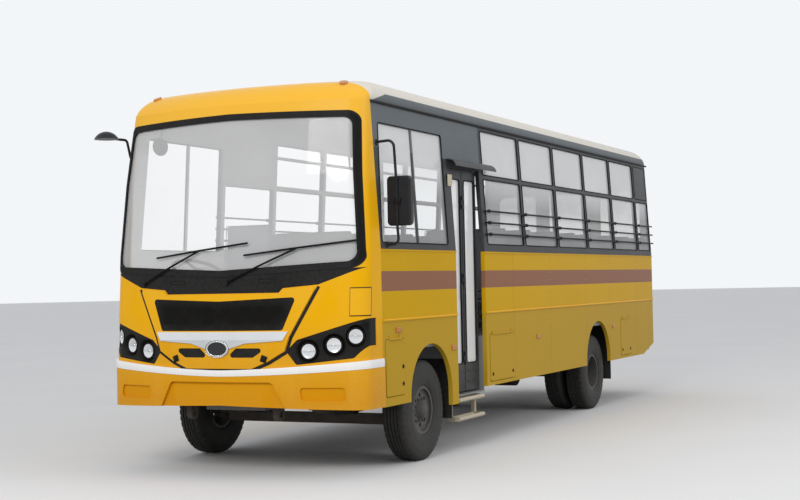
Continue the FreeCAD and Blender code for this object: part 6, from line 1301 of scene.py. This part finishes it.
build = bmesh.new()
for index in range(LAPS):
    add_roof_rib(build, AXLE + LAP_START + LAP_PITCH * index)
ribs = place_mesh("roof_laps", build, "bus", ROOF_WHITE)
print("roof laps", len(ribs.data.polygons), "faces")

# %% [markdown]
# ## The bead along the sides
# A thin half-round bead covers the joint between the side sheets and the skirt. It is
# a long tube sunk half into the side, broken at the doorway. It wears the brighter front
# paint, a painted highlight that shows it as a brighter line.

# %% Side bead
BEAD_RADIUS = 0.010
BEAD_RUNS = ((1, -0.90, 0.585), (1, 1.305, 7.10), (-1, -0.90, 7.10))

build = bmesh.new()
for side, start, end in BEAD_RUNS:
    steps = max(2, int((end - start) / 0.5))
    add_tube(build, [side_point(side, start + (end - start) * step / steps, BEAD_HEIGHT, 0.0008)
                     for step in range(steps + 1)], BEAD_RADIUS)
# the brighter front paint on the bead is a painted highlight
bead = place_mesh("side_bead", build, "bus", FRONT_YELLOW)
print("side bead", len(bead.data.polygons), "faces")

# %% [markdown]
# ## Clamps on the guard bars
# Every guard bar is held at each pillar by a short swollen clamp. The clamp is a turned
# bulge slipped over the bar, so it hides the joint with the little post behind.

# %% Guard bar clamps
BAR_OUT, BAR_HEIGHTS = 0.034, (1.965, 2.075, 2.185)
CLAMP = [(-0.041, 0.0), (-0.040, 0.0105), (-0.014, 0.017), (0.014, 0.017), (0.040, 0.0105), (0.041, 0.0)]
build = bmesh.new()
for side in (1, -1):
    for stop in ([1.395] if side > 0 else [0.435, BAY_START]) + POSTS[1:]:
        for height in BAR_HEIGHTS:
            add_turned(build, CLAMP, side_point(side, stop, height, BAR_OUT), (0, 1, 0), 12)
bar_clamps = place_mesh("bar_clamps", build, "bus", TRIM_BLACK)
print("bar clamps", len(bar_clamps.data.polygons), "faces")

# %% [markdown]
# ## Mirrors
# The tall mirror's glass faces back towards the driver. From the front one sees its
# dark moulded back, with a clamp and two screws on the arm. The glass is a rounded sheet
# set just inside the rim, with a silvered finish.

# %% Mirror glass and clamps
def make_silvering():
    """The silvered back of a mirror, a little dusty."""
    finish, tree, shader = new_finish("silvering", rough=0.05, metallic=1.0)
    dust = use_group(tree, DUST, Top=4.0, Amount=0.10, Scale=22.0)["Mask"]
    link_colour(tree, shader, blend_colour(tree, dust, (0.82, 0.84, 0.85), (0.50, 0.49, 0.46)))
    vary_rough(tree, shader, dust, 0.03, 0.35)
    return finish


SILVERING = make_silvering()
MIRROR_BACK = AXLE - 0.765
LEFT, RIGHT, LOW, HIGH = 1.200, 1.410, 1.985, 2.385      # the outline of the tall mirror
MIDDLE_X, MIDDLE_Z = (LEFT + RIGHT) / 2, (LOW + HIGH) / 2
build = bmesh.new()
loop = rounded_loop(LEFT + 0.012, RIGHT - 0.012, LOW + 0.012, HIGH - 0.012, 0.026, 6)
rows = [[build.verts.new((MIDDLE_X + (x - MIDDLE_X) * share, MIRROR_BACK + reach, MIDDLE_Z + (z - MIDDLE_Z) * share))
         for x, z in loop] for reach, share in ((0.0006, 1.0), (0.0022, 0.985), (0.0032, 0.90))]
skin(build, rows, flip=True)
build.faces.new(rows[-1])
place_mesh("mirror_glass", build, "bus", SILVERING, outward=True)

build = bmesh.new()
loop = rounded_loop(LEFT + 0.007, RIGHT - 0.007, LOW + 0.007, HIGH - 0.007, 0.030, 6)
add_tube(build, [(x, MIRROR_BACK + 0.0012, z) for x, z in loop], 0.0045, 8, closed=True)
spine, ahead = LEFT + (RIGHT - LEFT) * 0.45, MIRROR_BACK - 0.0655
add_box(build, (spine - 0.030, ahead - 0.013, 2.155), (spine + 0.030, ahead + 0.012, 2.205), 0.004)
for x in (spine - 0.019, spine + 0.019):
    add_nut(build, (x, ahead - 0.013, 2.180), (0, -1, 0), 0.0065, 0.006)
for z, foot_y in ((2.66, -0.872), (1.836, -0.806)):
    for angle in circle_angles(3):
        add_dome(build, (side_x(z) + 0.0115, AXLE + foot_y + 0.018 * cos(angle), z + 0.018 * sin(angle)),
                 (1, 0, 0), 0.0045, 0.003)
place_mesh("mirror_clamps", build, "bus", TRIM_BLACK)
print("mirror pieces made")

# %% [markdown]
# ## Under the floor
# Leaf springs are stacks of flat leaves, clamped to the axle with bent bolts. The solid
# spring shows the outline. Thin dark lines on its sides read as the gaps between the
# leaves, and a pair of bent bolts under a plate holds it. The fuel tank gets two straps.

# %% Spring clamps, leaf edges and tank straps
SPRING_X, LEAF_RISE, LEAF_EDGES = 0.410, 0.062, 4
SPRINGS = ((AXLE, 0.640, 0.390), (REAR_AXLE, 0.720, 0.4923))     # axle, half length, height of the seat
BOLT = ((-0.042, -0.010), (-0.042, 0.068), (-0.034, 0.076), (0.034, 0.076), (0.042, 0.068), (0.042, -0.010))
build = bmesh.new()
for axle, half, seat in SPRINGS:
    for x in (SPRING_X, -SPRING_X):
        for shift in (-0.048, 0.048):
            add_tube(build, [(x + across, axle + shift, seat + up) for across, up in BOLT], 0.0065, 8)
        add_box(build, (x - 0.050, axle - 0.066, seat + 0.0605), (x + 0.050, axle + 0.066, seat + 0.0685), 0.002)
        for face in (-1, 1):
            for layer in range(LEAF_EDGES):
                reach = 0.62 + 0.09 * layer
                points = []
                for step in range(13):
                    share = (-1 + 2 * step / 12) * reach
                    up = 0.014 + 0.0125 * layer + (LEAF_RISE - 0.004 * layer) * share ** 2
                    points.append((x + face * 0.0352, axle + share * half, seat + up))
                add_tube(build, points, 0.0011, 4)
springs = place_mesh("spring_clamps", build, "bus", CHASSIS_BLACK)

tank_low, tank_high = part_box("fuel_tank")
print("tank", [round(v, 3) for v in tank_low], [round(v, 3) for v in tank_high])
build = bmesh.new()
for share in (0.22, 0.78):
    y = tank_low[1] + (tank_high[1] - tank_low[1]) * share
    loop = rounded_loop(tank_low[0] - 0.002, tank_high[0] + 0.002, tank_low[2] - 0.002, tank_high[2] + 0.002,
                        0.072, 6)
    skin(build, [[build.verts.new((x, y + shift, z)) for x, z in loop] for shift in (-0.022, 0.022)], flip=True)
straps = place_mesh("tank_straps", build, "bus", SEAT_STEEL)
straps.modifiers.new("thickness", "SOLIDIFY").thickness = 0.002
print("under the floor", len(springs.data.polygons), "faces")

# %% [markdown]
# ## Benches
# A bench cushion is foam in a tight cover: it crowns in the middle and pulls in at its
# corners. Cloth simulation gives that shape. A plain slab is remeshed to even
# squares, air pressure swells it for twenty frames with gravity off, and no point may
# move more than a set distance. One bench and the driver's seat are simulated, and the
# other benches are copies, so the whole cabin costs seconds. Piping is laid along the
# seams afterwards, because remeshing would rub it out.

# %% Padded slabs
SLAB_ROUND, SWELL_FRAMES = 0.022, 20


def slab_object(name, corners):
    """Eight corners, lower four then upper four, as a closed slab."""
    mesh = bpy.data.meshes.new(name)
    build = bmesh.new()
    verts = [build.verts.new(corner) for corner in corners]
    for face in ((3, 2, 1, 0), (4, 5, 6, 7), (0, 1, 5, 4), (1, 2, 6, 5), (2, 3, 7, 6), (3, 0, 4, 7)):
        build.faces.new([verts[i] for i in face])
    bmesh.ops.bevel(build, geom=list(build.edges), offset=SLAB_ROUND, segments=3, affect="EDGES", profile=0.5)
    build.to_mesh(mesh)
    build.free()
    piece = bpy.data.objects.new(name, mesh)
    bpy.context.collection.objects.link(piece)
    return piece


def bake(piece):
    """Replace a piece's mesh by what its modifiers make of it."""
    graph = bpy.context.evaluated_depsgraph_get()
    made = bpy.data.meshes.new_from_object(piece.evaluated_get(graph))
    piece.modifiers.clear()
    piece.data = made


def puff(piece, voxel, cap):
    """Swell a slab by cloth pressure; no point moves farther than the cap."""
    remesh = piece.modifiers.new("even_squares", "REMESH")
    remesh.mode = "VOXEL"
    remesh.voxel_size = voxel
    bake(piece)
    rest = [vert.co.copy() for vert in piece.data.vertices]
    cloth = piece.modifiers.new("air", "CLOTH")
    cloth.settings.use_pressure = True
    cloth.settings.uniform_pressure_force = 4.0
    cloth.settings.effector_weights.gravity = 0.0
    cloth.settings.quality = 5
    cloth.point_cache.frame_start = 1
    cloth.point_cache.frame_end = SWELL_FRAMES
    for number in range(1, SWELL_FRAMES + 1):
        bpy.context.scene.frame_set(number)
    bake(piece)
    for vert, start in zip(piece.data.vertices, rest):
        move = vert.co - start
        if move.length > cap:
            vert.co = start + move.normalized() * cap
    bpy.context.scene.frame_set(1)


def bench_slabs(name, width, voxel, cap):
    """Cushion and back of one bench from x = 0, with the cushion's front edge at y = 0."""
    inset = cap * 0.8
    a, b = inset, width - inset
    cushion_levels = ((inset, 0.395, -0.090 + inset), (inset, 0.395, -inset * 0.9))
    back_levels = ((0.404 + inset, 0.486 - inset, -0.060), (0.470 + inset, 0.560 - inset, 0.620 - inset))
    slabs = []
    for part, levels in (("_cushion", cushion_levels), ("_back", back_levels)):
        corners = [corner for near, far, z in levels
                   for corner in ((a, near, z), (b, near, z), (b, far, z), (a, far, z))]
        slabs.append(slab_object(name + part, corners))
        puff(slabs[-1], voxel, cap)
    return slabs


def press_channels(mesh, lines, depth, reach):
    """Press sewn channels into a pad along lines of constant x."""
    for vert in mesh.vertices:
        for line in lines:
            near = abs(vert.co.x - line)
            if near < reach:
                vert.co -= vert.normal * depth * (1 - near / reach) ** 0.5


def join_copies(name, parts, places, body, finish):
    """One piece made of copies of the slabs at several places."""
    build = bmesh.new()
    for place in places:
        for part in parts:
            copy = part.data.copy()
            copy.transform(Matrix.Translation(place))
            build.from_mesh(copy)
            bpy.data.meshes.remove(copy)
    return place_mesh(name, build, body, finish)


print("pad helpers ready")

# %% Benches and the driver's seat
BENCH_WIDTH, DRIVER_WIDTH, PAD_SWELL = 0.900, 0.500, 0.011
BENCH_OUT, BENCH_PITCH, SEAT_TOP = 1.125, 0.730, 1.440
bench_parts = bench_slabs("bench", BENCH_WIDTH, 0.019, PAD_SWELL)
for part in bench_parts:
    press_channels(part.data, (0.45,), 0.006, 0.028)
driver_parts = bench_slabs("driver", DRIVER_WIDTH, 0.011, PAD_SWELL)
for part in driver_parts:
    press_channels(part.data, (0.12, 0.38), 0.006, 0.022)
left_places = [Vector((BENCH_OUT - BENCH_WIDTH, AXLE + 1.560 + BENCH_PITCH * i, SEAT_TOP)) for i in range(8)]
right_places = [Vector((-BENCH_OUT, AXLE + 0.830 + BENCH_PITCH * i, SEAT_TOP)) for i in range(9)]
driver_place = Vector((-0.950, AXLE - 0.330, 1.480))
for name, parts, places, node in (("benches_left", bench_parts, left_places, "seats_left"),
                                  ("benches_right", bench_parts, right_places, "seats_right"),
                                  ("driver_pads", driver_parts, [driver_place], "driver_seat")):
    pads = join_copies(name, parts, places, "bus", SEAT_COVER)
    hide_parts(node)
    print(name, len(pads.data.polygons), "faces")
for part in bench_parts + driver_parts:
    bpy.data.objects.remove(part)

# %% Piping round the seams
def add_piping(build, place, width):
    """A loop of piping round a cushion and one round its back, with small round corners."""
    a, b = 0.016, width - 0.016
    rows = (
        [(a, 0.016, -0.012), (b, 0.016, -0.012), (b, 0.385, -0.012), (a, 0.385, -0.012)],
        [(a, 0.478, 0.600), (b, 0.478, 0.600), (b, 0.412, -0.02), (a, 0.412, -0.02)],
    )
    for corners in rows:
        points = []
        for i, corner in enumerate(corners):
            before, after = Vector(corners[i - 1]), Vector(corners[(i + 1) % 4])
            corner = Vector(corner)
            for share, other in ((0.022, before), (0.008, before), (0.008, after), (0.022, after)):
                points.append(corner + (other - corner).normalized() * share)
        add_tube(build, [point + place for point in points], 0.004, 6, closed=True)


build = bmesh.new()
for place in left_places + right_places:
    add_piping(build, place, BENCH_WIDTH)
add_piping(build, driver_place, DRIVER_WIDTH)
piping = place_mesh("seat_piping", build, "bus", RUBBER_BLACK)
print("piping", len(piping.data.polygons), "faces")

# %% [markdown]
# ## Inside the cab and cabin
# The driver's place has an instrument panel with three dials, a row of switches and
# vents. A ribbed mat lies along the aisle, strips edge the entrance steps, and a
# round mirror hangs at the top of the windscreen. Plain tick marks make the dials read
# as dials, with no lettering at all.

# %% Dials, switches and vents
DASH_FACE = AXLE - 0.930
build, marks = bmesh.new(), bmesh.new()
for x, z, radius, spaces in ((-0.785, 1.500, 0.052, 20), (-0.640, 1.500, 0.052, 20), (-0.712, 1.455, 0.024, 8)):
    centre = Vector((x, DASH_FACE, z))
    add_turned(build, [(0.0005, 0.0), (0.0005, radius * 0.93), (0.004, radius * 0.95), (0.010, radius),
                       (0.0105, radius * 1.06), (0.0005, radius * 1.12)], centre, (0, 1, 0), 32)
    for index in range(spaces + 1):
        angle = radians(-130 + 260 / spaces * index)
        out = Vector((sin(angle), 0, cos(angle)))
        side = Vector((cos(angle), 0, -sin(angle))) * 0.0008
        inner = radius * (0.72 if index % 5 == 0 else 0.80)
        corners = [centre + Vector((0, 0.0012, 0)) + out * reach + side * sign
                   for reach, sign in ((inner, -1), (inner, 1), (radius * 0.88, 1), (radius * 0.88, -1))]
        marks.faces.new([marks.verts.new(corner) for corner in corners])
    needle = Vector((sin(-1.9), 0, cos(-1.9)))
    across = Vector((needle.z, 0, -needle.x)) * 0.0016
    corners = [centre + Vector((0, 0.0022, 0)) + offset
               for offset in (-across - needle * 0.008, across - needle * 0.008, needle * radius * 0.8)]
    marks.faces.new([marks.verts.new(corner) for corner in corners])
for index in range(6):
    x = -0.560 + 0.042 * index
    add_box(build, (x, DASH_FACE + 0.0005, 1.480), (x + 0.030, DASH_FACE + 0.010, 1.525), 0.003)
for x in (-0.20, 0.05, 0.30):
    add_box(build, (x, DASH_FACE + 0.0005, 1.440), (x + 0.140, DASH_FACE + 0.006, 1.520), 0.004)
    for z in (1.452, 1.468, 1.484, 1.500):
        add_box(build, (x + 0.010, DASH_FACE + 0.006, z), (x + 0.130, DASH_FACE + 0.012, z + 0.006), 0.001)
panel = place_mesh("dash_fittings", build, "bus", TRIM_BLACK)
place_mesh("dial_marks", marks, "bus", PLATE_WHITE)
print("dash", len(panel.data.polygons), "faces")

# %% Mat, step edges, cab mirror and pole
FLOOR, MAT_RIBS = 1.010, 21
build = bmesh.new()
for index in range(MAT_RIBS):
    x = -0.200 + 0.0192 * index
    add_box(build, (x, AXLE + 0.75, FLOOR + 0.0004), (x + 0.012, AXLE + 7.05, FLOOR + 0.0055), 0.0015, 1)
add_box(build, (-0.205, AXLE + 0.74, FLOOR + 0.0002), (0.205, AXLE + 7.06, FLOOR + 0.0025), 0.0005, 1)
place_mesh("aisle_mat", build, "bus", RUBBER_BLACK)

build = bmesh.new()
for x, z in ((0.745, 0.769), (0.470, FLOOR)):
    add_box(build, (x - 0.002, AXLE + 0.640, z + 0.0003), (x + 0.036, AXLE + 1.250, z + 0.004), 0.0015)
place_mesh("step_edges", build, "bus", STEP_BEIGE)

build = bmesh.new()
x, z = -0.80, 2.72
add_turned(build, [(0.0, 0.0), (0.004, 0.055), (0.010, 0.072), (0.020, 0.078), (0.026, 0.074), (0.026, 0.066),
                   (0.022, 0.064), (0.019, 0.0)], (x, front_y(x, z) + 0.095, z), (0, 1, 0.15), 32)
add_tube(build, [(x, front_y(x, z) + 0.10, z), (x, front_y(x, 2.80) + 0.12, 2.82), (x, front_y(x, 2.9) + 0.14, 2.93)],
         0.007, 8)
place_mesh("cab_mirror", build, "bus", TRIM_BLACK)

build = bmesh.new()
x, y, foot = 0.455, AXLE + 0.62, FLOOR + 0.0002
add_tube(build, [(x, y, foot), (x, y, 1.9), (x, y, 2.95)], 0.016, 12)
add_turned(build, [(0, 0.016), (0, 0.038), (0.004, 0.036), (0.006, 0.016)], (x, y, foot), (0, 0, 1), 20)
place_mesh("entrance_pole", build, "bus", SEAT_STEEL)
print("cabin fittings made")

# %% [markdown]
# ## Studio, lamps and camera
# The bus stands on a pale floor that keeps its shadow. The world gives most of the
# light, evenly. One broad lamp in front makes the nose a little brighter than the side,
# as in the reference, and a weaker one fills the side. Rays from the camera, from
# mirrors and through glass see a pale backdrop in place of the grey that lights the
# paint. The camera stands where the reference view was taken, low and well ahead.

# %% Floor and world
def seen_mask(tree):
    """One for rays that look at a thing, and zero for those that only carry light."""
    light = tree.nodes.new("ShaderNodeLightPath")
    seen = larger(tree, light.outputs["Is Camera Ray"], light.outputs["Is Glossy Ray"])
    return larger(tree, seen, light.outputs["Is Transmission Ray"])


def make_floor_finish():
    """A pale floor that is darker for the light it throws back."""
    finish, tree, shader = new_finish("studio_floor", rough=0.85, specular=0.2)
    cloud = blend_colour(tree, noise(tree, 0.5, 3.0), (0.80, 0.80, 0.80), (0.86, 0.86, 0.86))
    link_colour(tree, shader, blend_colour(tree, seen_mask(tree), (0.45, 0.45, 0.45), cloud))
    return finish


build = bmesh.new()
rings = [[build.verts.new((radius * cos(a), radius * sin(a), 0.0)) for a in circle_angles(64)]
         for radius in (0.5, 4.0, 12.0, 40.0, 140.0)]
add_fan(build, build.verts.new((0, 0, 0)), rings[0])
skin(build, rings)
ground_mesh = bpy.data.meshes.new("studio_ground")
build.to_mesh(ground_mesh)
build.free()
ground_mesh.materials.append(make_floor_finish())
ground = bpy.data.objects.new("studio_ground", ground_mesh)
bpy.context.collection.objects.link(ground)

world = bpy.context.scene.world or bpy.data.worlds.new("studio")
bpy.context.scene.world = world
world.use_nodes = True
tree = world.node_tree
shade = blend_colour(tree, seen_mask(tree), (0.62, 0.63, 0.65), (0.90, 0.92, 0.94))
tree.links.new(shade, tree.nodes["Background"].inputs["Color"])
tree.nodes["Background"].inputs["Strength"].default_value = 1.0


def add_lamp(name, place, aim, size, watts, colour=(1.0, 0.98, 0.95)):
    """A round lamp that looks at a place."""
    data = bpy.data.lights.new(name, "AREA")
    data.shape = "DISK"
    data.size = size
    data.energy = watts
    data.color = colour
    lamp = bpy.data.objects.new(name, data)
    lamp.location = place
    lamp.rotation_euler = (Vector(aim) - Vector(place)).to_track_quat("-Z", "Y").to_euler()
    bpy.context.collection.objects.link(lamp)


add_lamp("key", (2.5, -17.0, 9.0), (0.0, -3.5, 1.6), 6.0, 950)
add_lamp("side_fill", (13.0, -1.0, 7.0), (1.0, 0.5, 1.6), 6.0, 380, (0.97, 0.98, 1.0))
print("studio ready")

# %% Camera
CAMERA_PLACE, FOCAL_PIXELS, PICTURE_WIDTH, SENSOR = (6.098, -13.895, 1.542), 1398.096, 800, 36.0


def place_camera(yaw=0.442, pitch=0.022, roll=-0.021):
    """The camera of the reference view, from its turn, its rise and its tilt."""
    view = Vector((-sin(yaw) * cos(pitch), cos(yaw) * cos(pitch), sin(pitch)))
    right = view.cross(Vector((0, 0, 1))).normalized()
    up = right.cross(view)
    right_turned = right * cos(roll) + up * sin(roll)
    up_turned = up * cos(roll) - right * sin(roll)
    data = bpy.data.cameras.new("reference_view")
    data.sensor_width = SENSOR
    data.lens = FOCAL_PIXELS * SENSOR / PICTURE_WIDTH
    data.clip_end = 400.0
    camera = bpy.data.objects.new("reference_view", data)
    bpy.context.collection.objects.link(camera)
    turn = Matrix((right_turned, up_turned, -view)).transposed()
    camera.matrix_world = Matrix.Translation(CAMERA_PLACE) @ turn.to_4x4()
    return camera


bpy.context.scene.camera = place_camera()
bpy.context.scene.view_settings.view_transform = "Standard"
print("camera at", [round(v, 2) for v in bpy.context.scene.camera.location])
